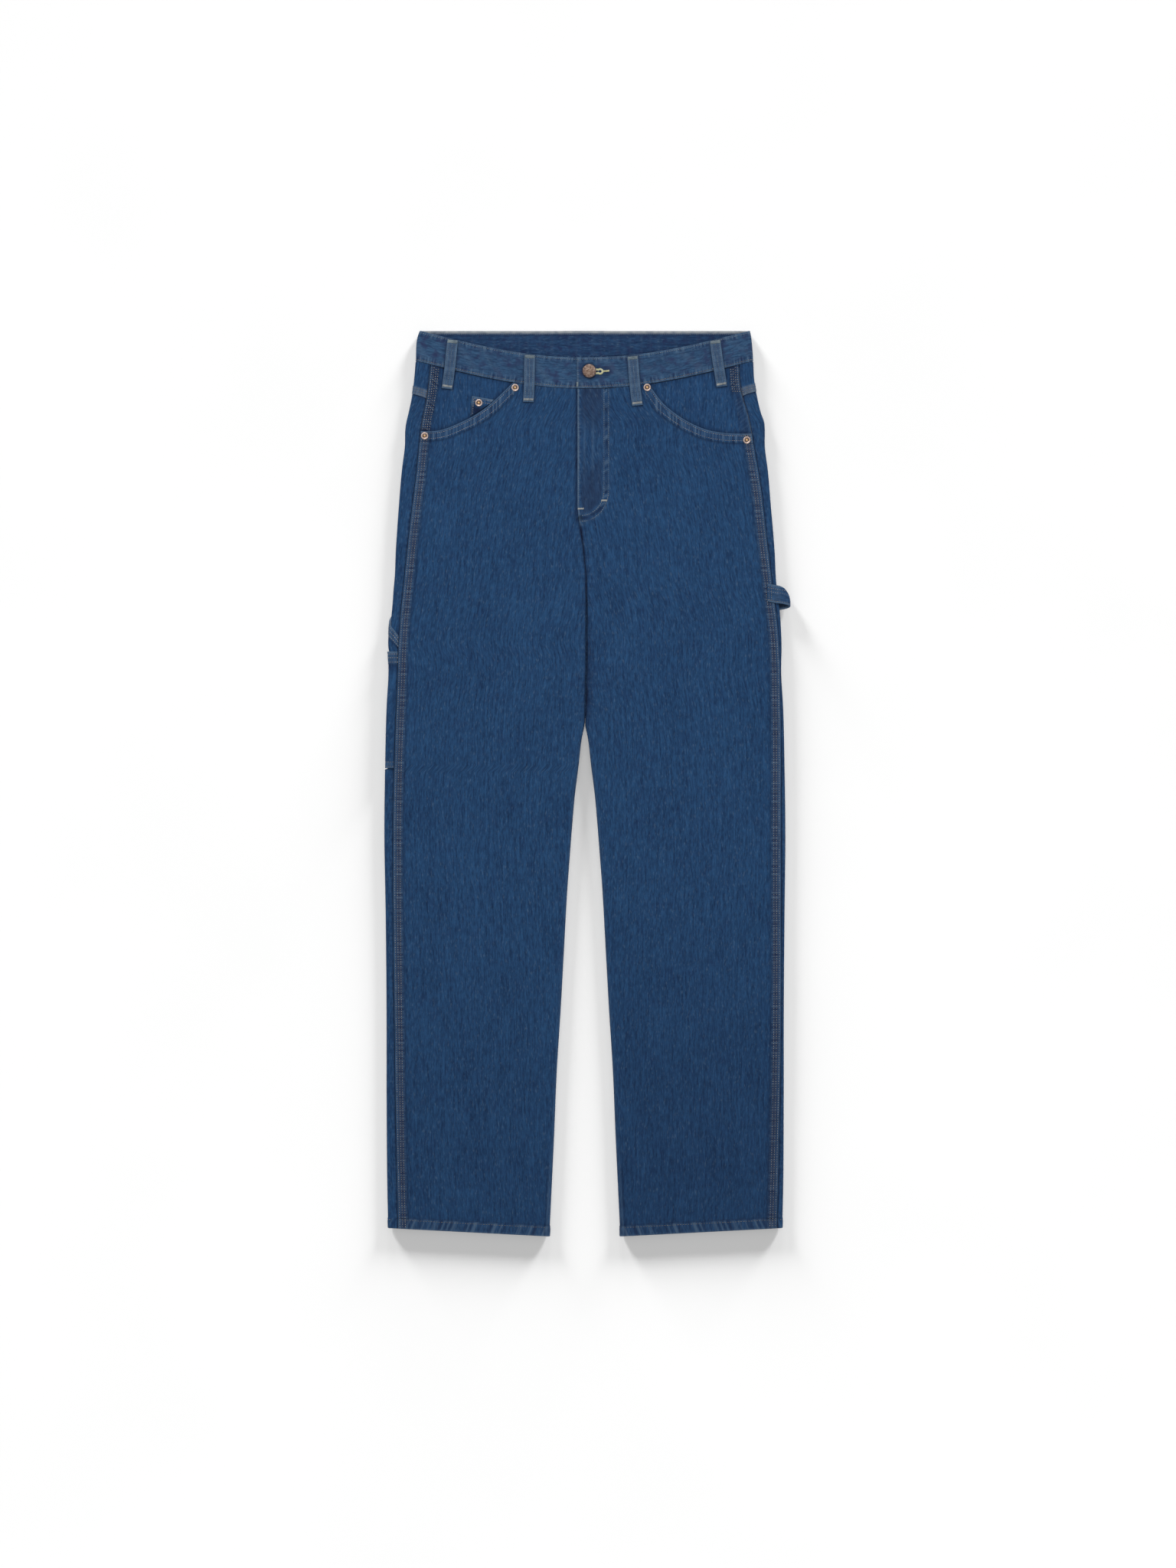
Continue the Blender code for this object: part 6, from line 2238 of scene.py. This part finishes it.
@dataclass
class Waistband:
    """Band round the waist in one strip, its right end lying over its left at the centre."""

    ring: Ring
    thick: float = BAND_THICK
    raised: float = BAND_RAISED
    ends: tuple[float, float] = (-22.0, -10.0)
    rows: tuple[float, float] = (2.4, 2.6)
    hole_drop: float = 50.4

    def end_of(self, side: int) -> float:
        """Half coordinate of the band's end on a side."""
        return self.ends[0] if side == LEFT else self.ends[1]

    def rounding(self, distance: Array) -> Array:
        """How far the band's skin falls away near an edge."""
        return 0.95 * roll(distance, 1.3)

    def drop_at(self, side: int, t: Array, level: Array) -> Array:
        """Drop of points at levels down the band.

        Args:
            side: Which half of the garment.
            t: Ring parameter of each point.
            level: Distance down the band.
        Returns:
            The drops.
        """
        drop = np.broadcast_to(level, np.broadcast(t, level).shape).astype(float)
        for _ in range(6):
            u, _ = self.ring.skin(side, t, drop, 0.0, self.end_of(side), 0.0)
            drop = np.where(t > MIDDLE, self.ring.waist_dip(u), 0.0) + level
        return drop

    def point(self, side: int, t: Array, level: Array, depth: Array) -> tuple[Array, Array, Array]:
        """Half coordinate, drop and points at a depth under the band's outer skin.

        Args:
            side: Which half of the garment.
            t: Ring parameter of each point.
            level: Distance down the band.
            depth: Depth under the outer skin.
        Returns:
            Half coordinate, drop, and points in metres.
        """
        drop = self.drop_at(side, t, level)
        u, _ = self.ring.skin(side, t, drop, 0.0, self.end_of(side), 0.0)
        over = np.zeros(drop.shape)
        if side == RIGHT:
            over = (self.thick + self.ring.gap) * smooth(-u, -50.0, -24.0) * (t > UPPER)
        u, z = self.ring.skin(side, t, drop, depth - over, self.end_of(side), 0.0, self.raised)
        return u, drop, self.ring.place(side, u, drop, z)

    def relief(self, side: int, t: Array, u: Array, level: Array) -> Array:
        """Rise of the outer skin: rounded edges, sewn hollows, slight waves on the front.

        Args:
            side: Which half of the garment.
            t: Ring parameter of each point.
            u: Half coordinate of each point.
            level: Distance down the band.
        Returns:
            The rise.
        """
        width = self.ring.band_width
        edge = np.minimum(level, width - level)
        shown = smooth(t, 2.4, 3.2)
        rise = grooved(-self.rounding(edge), level, (self.rows[0], width - self.rows[1]), 0.22, 0.9)
        wave = uneven(u + 0.35 * level, 23.0, 2.0 + side) * bump(level, 0.55 * width, 11.0)
        return rise + 0.22 * shown * wave

    def half(self, side: int, level: Array) -> list[Array]:
        """Grids of one side of the band, from its inner fold below to its end above.

        Args:
            side: Which half of the garment.
            level: Distance of each row down the band.
        Returns:
            Outer skin, inner skin, which part is the front, distance from the end, distance
            across, level and painted shadow.
        """
        width = self.ring.band_width
        t = np.concatenate([LOWER + np.linspace(0.0, 1.0, 90)[:-1],
                            np.linspace(OUTER, UPPER, 15)[:-1],
                            np.linspace(UPPER, INNER, 96)[:-1],
                            INNER + np.array([0.0, 0.2, 0.4, 0.6, 0.75, 0.88, 0.95, 1.0])])
        if side == RIGHT:
            t = np.concatenate([[0.0, 0.33, 0.66], t])
        t = t[None, :]
        u, drop, _ = self.point(side, t, level, 0.0)
        end = np.where(t > UPPER, u - self.end_of(side), FAR)
        rise = self.relief(side, t, u, level) - self.rounding(end)
        edge = np.minimum(np.minimum(level, width - level), end)
        _, _, outer = self.point(side, t, level, -rise)
        depth = self.thick - self.rounding(edge) - 0.15 * bump(level, 2.6, 1.0)
        _, _, inner = self.point(side, t, level, depth)
        shadow = np.where(t > UPPER, 0.5 * loop_shadow(side, u, drop), 0.0)
        # Painted shadow round the button and the buttonhole's slit
        if side == RIGHT:
            round_button = np.hypot(u - BUTTON_PLACE[0], drop - BUTTON_PLACE[1])
            slit = np.hypot(np.maximum(np.abs(u - 18.0) - 9.0, 0.0), drop - 50.0)
            near = np.maximum(np.minimum(round_button - 8.6, slit - 4.0), 0.0)
            shadow = shadow + np.where(t > UPPER, 0.6 * bump(near, 0.0, 2.2), 0.0)
        front = np.broadcast_to(np.where(t > MIDDLE, 1.0, 0.0), u.shape)
        return [outer, inner, front, end, RingPiece(self.ring, side, "").across(t, u, drop),
                np.broadcast_to(level, u.shape), shadow]

    def marks(self, front: Array, end: Array, across: Array, signs: Array,
              levels: Array) -> Marks:
        """Worn edges, a pale fold inside and painted shade below it.

        Args:
            front: 1 in front and 0 behind.
            end: Distance from the band's end.
            across: Distance across the cloth.
            signs: Which side each column is on.
            levels: Distance down the band.
        Returns:
            The masks.
        """
        marks = Marks(levels.shape)
        worn = 0.75 + 0.35 * uneven(across * signs, 33.0, 1.0)
        marks.add("wear", front * worn * 0.72 * bump(levels, 0.6, 1.3))
        marks.add("wear", front * worn * 0.62 * bump(levels, 37.2, 1.1))
        marks.bell("wear", end, 0.55, 0.6, 1.0)
        marks.add("wear", 0.24 * front * smooth(uneven(across * signs + levels, 31.0, 3.0), 0, 1))
        marks.add("pale", (1.0 - front) * fading(levels, 2.5, 3.7))
        marks.add("shade", (1.0 - front) * 0.5 * bump(levels, 5.2, 1.2))
        return marks

    def make(self, sewing: Sewing) -> bpy.types.Object:
        """Make the band and its sewing.

        Args:
            sewing: Where the stitches are kept.
        Returns:
            The piece.
        """
        width = self.ring.band_width
        steps = np.array([0.0, 0.2, 0.5, 0.9, 1.5, 2.4, 3.4, 5.0])
        level = np.concatenate([steps, np.linspace(7.0, width - 7.0, 12), width - steps[::-1]])
        level = level[:, None]
        skins: dict[int, list[Array]] = {}
        for side in (LEFT, RIGHT):
            skins[side] = self.half(side, level)
        both = [np.concatenate([skins[LEFT][k][:, ::-1], skins[RIGHT][k]], axis=1)
                for k in range(7)]
        outer, inner, front, end, across, levels, shadow = both
        signs = np.concatenate([np.full(skins[LEFT][0].shape[1], -1.0),
                                np.full(skins[RIGHT][0].shape[1], 1.0)])
        marks = self.marks(front, end, across, signs, levels)
        # Painted shadow beside the belt loops and round the button
        marks.add("shade", shadow)
        marks.sewn(0.95 * fading(levels, 3.0, 8.0) * front, across)
        marks.sewn(smooth(levels, 28.0, 34.0), 1.2 * across)
        marks.sewn(0.10 * (1.0 - front), 0.6 * across)
        piece = cloth_piece("waistband_cloth", "waistband", outer, inner,
                            (levels + WEAVE["band"], signs * across), marks, Finish.BAND,
                            Finish.BAND_INSIDE)
        self.sew(sewing)
        return piece

    def sew(self, sewing: Sewing) -> None:
        """Sew rows along both edges, up the lapped end, and the buttonhole.

        Args:
            sewing: Where the stitches are kept.
        """
        width = self.ring.band_width
        for side in (LEFT, RIGHT):
            for at, thread in ((self.rows[0], Finish.BLUE), (width - self.rows[1], Finish.OLIVE)):
                t = np.linspace(UPPER - 1.9, INNER + (0.3 if side == RIGHT else -0.03), 260)
                u, _, _ = self.point(side, t, np.full(t.shape, at), 0.0)
                rise = self.relief(side, t, u, np.full(t.shape, at))
                _, _, path = self.point(side, t, np.full(t.shape, at), -rise)
                _, _, above = self.point(side, t, np.full(t.shape, at), -rise - 1.0)
                sewing.row(thread, path, above, 2.8)
                t = np.linspace(LOWER, OUTER, 200)
                _, _, path = self.point(side, t, np.full(t.shape, at), 0.2)
                sewing.row(thread, path, path - UP * MM, 2.9)
            t = np.linspace(LOWER, OUTER, 200)
            _, _, path = self.point(side, t, np.full(t.shape, 4.2), self.thick)
            sewing.row(Finish.BLUE, path, path + UP * MM, 2.6, 0.7, 0.5)
        level = np.linspace(1.5, width - 1.5, 30)
        t = np.full(level.shape, INNER + 0.62)
        _, _, path = self.point(RIGHT, t, level, 0.0)
        _, _, above = self.point(RIGHT, t, level, -1.0)
        sewing.row(Finish.BLUE, path, above, 2.6, 0.75)
        z = self.ring.top + self.raised + self.thick + self.ring.gap + 0.1
        a = self.ring.place(RIGHT, -9.2, 63.5, z)
        b = self.ring.place(RIGHT, -9.2, 69.5, z)
        sewing.bar(Finish.GREEN, a, b, UP, 2.6)
        self.buttonhole(sewing, z)

    def buttonhole(self, sewing: Sewing, z: float) -> None:
        """Sew a keyhole: stitches square to a slit that widens to an eye, and a bar behind it.

        Args:
            sewing: Where the stitches are kept.
            z: Height of the band under it, in millimetres.
        """
        eye = np.radians(np.arange(-150.0, 151.0, 9.0))
        legs = np.linspace(6.0, 15.5, 15)
        x = np.concatenate([legs, 18.6 + 1.9 * np.cos(eye[::-1]), legs[::-1]])
        y = np.concatenate([np.full(15, -0.9), -1.5 * np.sin(eye[::-1]), np.full(15, 0.9)])
        out_x = np.concatenate([legs, 18.6 + 4.4 * np.cos(eye[::-1]), legs[::-1]])
        out_y = np.concatenate([np.full(15, -3.6), -4.0 * np.sin(eye[::-1]), np.full(15, 3.6)])
        start = self.ring.place(RIGHT, x, self.hole_drop + y, z)
        end = self.ring.place(RIGHT, out_x, self.hole_drop + out_y, z)
        sewing.add(Finish.CREAM, start, end, np.tile(UP, (len(x), 1)), 0.95)
        a = self.ring.place(RIGHT, 22.4, 50.2, z)
        b = self.ring.place(RIGHT, 30.0, 49.6, z)
        sewing.bar(Finish.CREAM, a, b, UP, 2.2)


@dataclass
class Strip:
    """A sewn strip of doubled cloth that follows a line of centres."""

    node: str
    thick: float
    width: float = 13.2
    wear: float = 0.6
    finish: Finish = Finish.LOOP

    def make(self, sewing: Sewing, centre: Array, across: Array, up: Array, above: float,
             thread: float) -> bpy.types.Object:
        """Make the strip and its rows of sewing.

        Args:
            sewing: Where the stitches are kept.
            centre: Line of points on the strip's underside, in metres.
            across: Direction across the strip.
            up: Direction out of the strip.
            above: Height over the rows that gives the stitches' direction, in millimetres.
            thread: Width of the thread.
        Returns:
            The piece.
        """
        steps = np.array([0.0, 0.2, 0.5, 1.0, 1.7, 2.4, 3.4])
        half = 0.5 * self.width
        at = np.concatenate([-half + steps, np.linspace(-half + 4.4, half - 4.4, 7),
                             half - steps[::-1]])
        edge = half - np.abs(at)
        rise = grooved(self.thick - 0.7 * roll(edge, 1.1), at, LOOP_ROWS, 0.2, 0.7)
        low = 0.45 * roll(edge, 1.1)
        place = centre[:, None] + across * at[None, :, None] * MM
        outer = place + up * rise[None, :, None] * MM
        inner = place + up * low[None, :, None] * MM
        length = np.concatenate([[0.0], np.cumsum(np.linalg.norm(np.diff(centre, axis=0), axis=1))])
        length = length / MM
        marks = Marks(outer.shape[:2])
        marks.add("wear", self.wear * bump(edge, 0.7, 1.0))
        marks.add("wear", 0.12 + 0.1 * uneven(length, 9.0, 2.0)[:, None])
        marks.sewn(np.array(0.45), 0.9 * length[:, None])
        uv = (at[None, :] + WEAVE["strip"], length[:, None])
        piece = cloth_piece(f"{self.node}_cloth", self.node, outer, inner, uv, marks, self.finish,
                            self.finish)
        for x in LOOP_ROWS:
            path = outer[2:-2, int(np.argmin(np.abs(at - x)))]
            sewing.row(Finish.BLUE, path, path + above * MM * UP, 2.3, 0.66, thread)
        return piece


@dataclass
class BeltLoop:
    """Strip sewn at both ends that arches over the band and comes down on the cloth below."""

    ring: Ring
    row: tuple
    thick: float = 1.6
    arch: float = 1.3
    bar_reach: float = 5.9

    def make(self, sewing: Sewing) -> bpy.types.Object:
        """Make the loop with its three rows of sewing and two bars.

        Args:
            sewing: Where the stitches are kept.
        Returns:
            The piece.
        """
        name, u_top, drop_top, u_bottom, drop_bottom, on_facing = self.row
        ring = self.ring
        band = ring.top + BAND_RAISED + ring.gap
        cloth = ring.top + ring.gap - (ring.layer if on_facing else 0.0)
        length = drop_bottom - drop_top
        knots = np.array([0.0, 5.0, 14.0, 26.0, ring.band_width + 1.5, ring.band_width + 10.0,
                          length])
        seats = np.array([band, band, band + self.arch, band + self.arch, band + 0.6, cloth, cloth])
        along = np.linspace(0.0, length, 56)
        z = np.interp(along, knots, seats)
        z = np.convolve(np.pad(z, 3, mode="edge"), np.ones(7) / 7.0, mode="valid")
        share = along / length
        sway = 0.35 * np.sin(share * math.pi * 1.7 + abs(u_top))
        u = u_top + (u_bottom - u_top) * share + sway
        side = 1 if u_top > 0 else -1
        z = z + fold_heights(UPPER_FOLDS, side, np.abs(u), drop_top + along)
        centre = ring.place(RIGHT, u, drop_top + along, z)
        lean = (u_bottom - u_top) / length
        out = np.array([1.0, lean, 0.0]) / math.hypot(1.0, lean)
        piece = Strip(name, self.thick).make(sewing, centre, out, UP, 1.0, 0.55)
        for k, thread, width in ((2, Finish.GREEN, 4.4), (-4, Finish.GREY, 3.0)):
            a, b = (centre[k] + out * reach * MM + UP * (self.thick + 0.1) * MM
                    for reach in (-self.bar_reach, self.bar_reach))
            sewing.bar(thread, a, b, UP, width)
        return piece


@dataclass
class BackBeltLoop:
    """Strip at the centre back, pressed flat under the band."""

    ring: Ring
    length: float = 56.0
    thick: float = 1.5

    def make(self, sewing: Sewing) -> bpy.types.Object:
        """Make the loop, which faces down, with its sewing.

        Args:
            sewing: Where the stitches are kept.
        Returns:
            The piece.
        """
        along = np.linspace(1.0, 1.0 + self.length, 40)
        centre = self.ring.place(RIGHT, 0.0, along, self.thick)
        strip = Strip("belt_loop_back", self.thick)
        return strip.make(sewing, centre, np.array([1.0, 0.0, 0.0]), -UP, -0.2, 0.45)


@dataclass
class HammerLoop:
    """Strap that stands off the right leg: sewn over the outseam, round the outside, behind."""

    ring: Ring
    thick: float = 2.0
    width: float = 22.0
    top_drop: float = 310.5
    slip: float = 13.5
    reach: tuple[float, float] = (245.0, 252.5)
    centre: float = 235.0
    front_end: float = 224.0
    back_end: float = 205.0
    arch: float = 1.0
    fullness: float = 0.7

    def path(self, rows: Array, inset: Array, steps: int = 44) -> Array:
        """Points of the strap's skin at shares down its width and an inset from its outer side.

        Args:
            rows: Share of the way down its width.
            inset: Depth under its outer side.
            steps: Points round the bend.
        Returns:
            The points, in metres.
        """
        angles = np.linspace(0.5 * np.pi, -0.5 * np.pi, steps)
        across = np.abs(np.cos(angles)) ** self.fullness
        upward = np.sign(np.sin(angles)) * np.abs(np.sin(angles)) ** self.fullness
        top = self.ring.top + 0.8 + self.ring.gap + self.thick
        middle = 0.5 * (top + self.arch)
        reach = self.reach[0] + (self.reach[1] - self.reach[0]) * (1.0 - (1.0 - rows) ** 3)
        bend_u = self.centre + (reach - self.centre - inset) * across
        bend_z = middle + (middle - inset) * upward + 0.0 * rows
        ahead = np.linspace(self.front_end, self.centre, 12)[None, :-1] + 0.0 * rows
        back = np.linspace(self.centre, self.back_end, 16)[None, 1:] + 0.0 * rows
        u = np.concatenate([ahead, bend_u, back], axis=1)
        z = np.concatenate([ahead * 0.0 + top - inset, bend_z, back * 0.0 + inset], axis=1)
        slip = self.slip * np.linspace(0.0, 1.0, u.shape[1])
        return self.ring.place(RIGHT, u, self.top_drop + self.width * rows + slip, z)

    def make(self, sewing: Sewing) -> bpy.types.Object:
        """Make the strap and its sewing.

        Args:
            sewing: Where the stitches are kept.
        Returns:
            The piece.
        """
        steps = np.array([0.0, 0.008, 0.02, 0.04, 0.075, 0.11, 0.15])
        rows = np.concatenate([steps, np.linspace(0.2, 0.8, 16), 1.0 - steps[::-1]])[:, None]
        edge = np.minimum(rows, 1.0 - rows) * self.width
        inset = 0.9 * roll(edge, 1.1) + 0.2 * bump(edge, 2.6, 0.8)
        outer = self.path(rows, inset)
        inner = self.path(rows, self.thick - 0.8 * roll(edge, 1.1))
        length = np.linalg.norm(np.diff(outer[len(rows) // 2], axis=0), axis=1)
        along = np.concatenate([[0.0], np.cumsum(length)]) / MM
        marks = Marks(outer.shape[:2])
        marks.add("wear", 0.10 + 0.75 * bump(edge, 0.8, 1.2))
        marks.bell("wear", along, 0.25, 12.0, 5.0)
        marks.sewn(0.5 * bump(edge, 2.6, 2.5), along)
        uv = (rows * self.width + WEAVE["strap"], along)
        # The strap's inner skin takes the near-black finish of painted shade
        piece = cloth_piece("hammer_loop_cloth", "hammer_loop", outer, inner, uv, marks,
                            Finish.FRONT, Finish.LOOP_PAINTED_SHADE)
        for share, thread in ((0.22, Finish.PALE), (0.42, Finish.PALE), (0.9, Finish.OLIVE)):
            path = self.path(np.array([[share]]), np.array([[0.2]]))[0]
            above = self.path(np.array([[share]]), np.array([[-0.8]]))[0]
            sewing.row(thread, path, above, 2.9)
        rows = np.linspace(0.06, 0.94, 14)[:, None]
        face = self.path(rows, np.full(rows.shape, 0.1))
        above = self.path(rows, np.full(rows.shape, -0.9))
        for k in (2, 5):
            sewing.row(Finish.OLIVE, face[:, k], above[:, k], 2.7)
        return piece


@dataclass
class Turned:
    """A round metal part, turned from a profile of radius, height, dullness and goldness."""

    name: str
    node: str
    profile: Array
    sides: int = 48

    def make(self, centre: Array) -> bpy.types.Object:
        """Make the part round an upright axis, from a smoothed profile.

        Args:
            centre: Where the part's axis meets its seat, in metres.
        Returns:
            The piece.
        """
        rows = self.profile
        steps = np.linalg.norm(np.diff(rows[:, :2], axis=0), axis=1)
        length = np.concatenate([[0.0], np.cumsum(steps)])
        fine = np.linspace(0.0, length[-1], 64)
        radius = np.interp(fine, length, rows[:, 0])
        height = np.interp(fine, length, rows[:, 1])
        kernel = np.array([1.0, 2.0, 3.0, 2.0, 1.0]) / 9.0
        radius[2:-2] = np.convolve(radius, kernel, mode="valid")
        height[2:-2] = np.convolve(height, kernel, mode="valid")
        radius[0] = radius[-1] = 0.02
        turn = np.linspace(0.0, 2.0 * np.pi, self.sides, endpoint=False)
        x = radius[:, None] * np.cos(turn)
        y = radius[:, None] * np.sin(turn)
        z = height[:, None] + np.zeros(self.sides)
        points = centre + np.stack([x, y, z], axis=-1).reshape(-1, 3) * MM
        faces = grid_faces(len(fine), self.sides, around=True)
        base, last = points[:self.sides].mean(axis=0), points[-self.sides:].mean(axis=0)
        points = np.concatenate([points, [base, last]])
        k = np.arange(0, self.sides, 2)
        count = len(fine) * self.sides
        low = np.stack([np.full(len(k), count), (k + 2) % self.sides, k + 1, k], axis=1)
        start = count - self.sides
        high = np.stack([np.full(len(k), count + 1), start + k, start + k + 1,
                         start + (k + 2) % self.sides], axis=1)
        mesh = quad_mesh(self.name, points, np.concatenate([faces, low, high]))
        for key, column in (("shade", 2), ("pale", 3)):
            level = np.interp(fine, length, rows[:, column])
            value = np.concatenate([np.repeat(level, self.sides), level[[0, -1]]])
            held = mesh.attributes.new(key, "FLOAT", "POINT")
            held.data.foreach_set("value", value)
        mesh.materials.append(Finish.COPPER.material())
        return add_piece(mesh, (self.node,))


@dataclass
class Metal:
    """The waist button and the rivets."""

    ring: Ring
    button_radius: float = 8.5
    rivet_radius: float = 4.6

    def make(self) -> None:
        """Make the cast button and five rivets."""
        r = self.button_radius
        profile = np.array([
            (0.0, 0.0, 0.6, 0.0), (r * 0.86, 0.0, 0.6, 0.0), (r, 1.0, 0.5, 0.0),
            (r, 2.4, 0.80, 0.0), (r * 0.95, 3.0, 0.77, 0.0), (r * 0.86, 3.2, 0.75, 0.0),
            (r * 0.78, 3.18, 0.79, 0.03), (r * 0.72, 3.17, 0.80, 0.05),
            (r * 0.4, 3.25, 0.80, 0.08), (0.0, 3.3, 0.79, 0.08)])
        base = self.ring.top + BAND_RAISED + BAND_THICK + 2 * self.ring.gap
        place = self.ring.place(RIGHT, *BUTTON_PLACE, base)
        Turned("waist_button_metal", "waist_button", profile).make(place)
        r = self.rivet_radius
        profile = np.array([
            (0.0, 0.0, 0.3, 0.0), (r, 0.0, 0.3, 0.0), (r, 0.5, 0.2, 0.0), (r * 0.93, 0.9, 0.0, 0.0),
            (r * 0.78, 1.05, 0.0, 0.0), (r * 0.66, 0.85, 0.35, 0.0), (r * 0.5, 0.6, 1.0, 0.0),
            (r * 0.36, 0.75, 1.0, 0.0), (r * 0.24, 1.25, 0.2, 0.9), (0.0, 1.5, 0.0, 1.0)])
        for name, x, drop, seat in RIVETS:
            place = self.ring.place(RIGHT, x, drop, seat + self.ring.gap)
            Turned(f"{name}_metal", name, profile, 32).make(place)


@dataclass
class Stage:
    """Pale floor, soft studio light and the camera, which looks straight down."""

    camera_height: float = 5.0
    lens: float = 93.4
    aim: tuple[float, float] = (0.0006, -0.0005)
    floor_height: float = -0.0004
    floor_reach: float = 6.0
    sky_strength: float = 0.42

    def make(self) -> None:
        """Add the floor, the lights, the world and the camera."""
        floor = self.floor()
        for row in LAMPS:
            self.light(floor, *row)
        for row in FLOOR_SUNS:
            self.floor_sun(floor, *row)
        self.sky()
        self.camera()

    def floor(self) -> bpy.types.Object:
        """Add the floor, a pale square a little below the garment.

        Returns:
            The floor.
        """
        g = Graph("floor_white")
        at = g.tree.nodes.new("ShaderNodeTexCoord").outputs["Object"]
        tone = g.span(g.noise(at, 3.0, 2.0), 0.3, 0.7, 0.0, 1.0)
        g.put(g.shader.inputs["Base Color"],
              g.mix(tone, (0.500, 0.500, 0.500, 1.0), (0.510, 0.510, 0.510, 1.0)))
        g.shader.inputs["Roughness"].default_value = 0.95
        g.shader.inputs["Specular IOR Level"].default_value = 0.1
        reach = self.floor_reach
        corners = np.array([(-reach, -reach, self.floor_height), (reach, -reach, self.floor_height),
                            (reach, reach, self.floor_height), (-reach, reach, self.floor_height)])
        mesh = quad_mesh("floor", corners, np.array([[0, 1, 2, 3]]))
        mesh.materials.append(g.material)
        floor = bpy.data.objects.new("floor", mesh)
        bpy.context.scene.collection.objects.link(floor)
        return floor

    def sky(self) -> None:
        """Add the even white world."""
        world = bpy.data.worlds.new("studio")
        world.use_nodes = True
        sky = world.node_tree.nodes["Background"]
        sky.inputs["Color"].default_value = (1.0, 1.0, 1.0, 1.0)
        sky.inputs["Strength"].default_value = self.sky_strength
        bpy.context.scene.world = world

    def camera(self) -> None:
        """Add the camera, which looks straight down."""
        scene = bpy.context.scene
        camera = bpy.data.objects.new("camera", bpy.data.cameras.new("camera"))
        camera.data.lens = self.lens
        camera.data.dof.use_dof = False
        camera.data.clip_end = 50.0
        camera.location = (self.aim[0], self.aim[1], self.camera_height)
        scene.collection.objects.link(camera)
        scene.camera = camera
        scene.view_settings.view_transform = "Standard"

    def floor_sun(self, floor: bpy.types.Object, name: str, azimuth: float, elevation: float,
                  spread: float, strength: float) -> None:
        """Add a soft sun that lights the floor alone, low beyond the waist or straight above.

        Args:
            floor: What it lights. The garment only casts its shadow.
            name: The lamp's name.
            azimuth: Direction it comes from, in degrees from straight beyond the waist.
            elevation: Its height above the floor, in degrees.
            spread: Its width seen from the floor, in degrees.
            strength: Its strength square to its rays.
        """
        data = bpy.data.lights.new(name, "SUN")
        data.energy = strength
        data.angle = math.radians(spread)
        lamp = bpy.data.objects.new(name, data)
        lamp.rotation_euler = (-math.radians(90.0 - elevation), 0.0, math.radians(-azimuth))
        bpy.context.scene.collection.objects.link(lamp)
        lamp.light_linking.receiver_collection = self.floor_alone(floor, name)

    def floor_alone(self, floor: bpy.types.Object, name: str) -> bpy.types.Collection:
        """A collection of the floor alone, for a lamp's light linking.

        Args:
            floor: The floor.
            name: The lamp's name.
        Returns:
            The collection.
        """
        only = bpy.data.collections.new(f"{name}_lights")
        only.objects.link(floor)
        return only

    def light(self, floor: bpy.types.Object, name: str, place: tuple[float, float, float],
              size: float, power: float) -> None:
        """Add a square area light that faces the garment's middle and lights all but the floor.

        Args:
            floor: What it leaves out.
            name: The lamp's name.
            place: Where it is, in metres.
            size: Its side, in metres.
            power: Its power, in watts.
        """
        data = bpy.data.lights.new(name, "AREA")
        data.size = size
        data.energy = power
        lamp = bpy.data.objects.new(name, data)
        lamp.location = place
        x, y, z = place
        lamp.rotation_euler = (math.atan2(math.hypot(x, y), z), 0.0, math.atan2(x, -y))
        bpy.context.scene.collection.objects.link(lamp)
        apart = self.floor_alone(floor, name)
        apart.collection_objects[0].light_linking.link_state = "EXCLUDE"
        lamp.light_linking.receiver_collection = apart


def ring_in_frame() -> Ring:
    """The ring, set where the solids are: their button gives the shift.

    Returns:
        The ring.
    """
    low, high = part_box("waist_button")
    x = 0.5 * (low[0] + high[0]) / MM - BUTTON_PLACE[0]
    y = 0.5 * (low[1] + high[1]) / MM - (0.5 * Ring.length - BUTTON_PLACE[1])
    return Ring(shift=(x, y))


def main() -> None:
    """Build the jeans piece by piece, then the stage."""
    logging.basicConfig(level=logging.INFO, format="%(message)s")
    ring = ring_in_frame()
    sewing = Sewing()
    for side, word in ((LEFT, "left"), (RIGHT, "right")):
        FrontPanel(ring, side, f"front_{word}").make(sewing)
        BackPanel(ring, side, f"back_{word}").make(sewing)
        Yoke(ring, side, f"yoke_{word}").make(sewing)
        Facing(ring, side, f"pocket_facing_{word}").make(sewing)
        BackPocket(ring, side, f"back_pocket_{word}").make(sewing)
    WatchPocket(ring).make(sewing)
    ToolPocket(ring, LEFT, "tool_pocket_upper", level=1, mouth=TOOL_MOUTH).make(sewing)
    ToolPocket(ring, LEFT, "tool_pocket_lower", level=2).make(sewing)
    HammerLoop(ring).make(sewing)
    Waistband(ring).make(sewing)
    for row in BELT_LOOPS:
        BeltLoop(ring, row).make(sewing)
    BackBeltLoop(ring).make(sewing)
    sewing.make()
    Metal(ring).make()
    Stage().make()


if __name__ == "__main__":
    main()
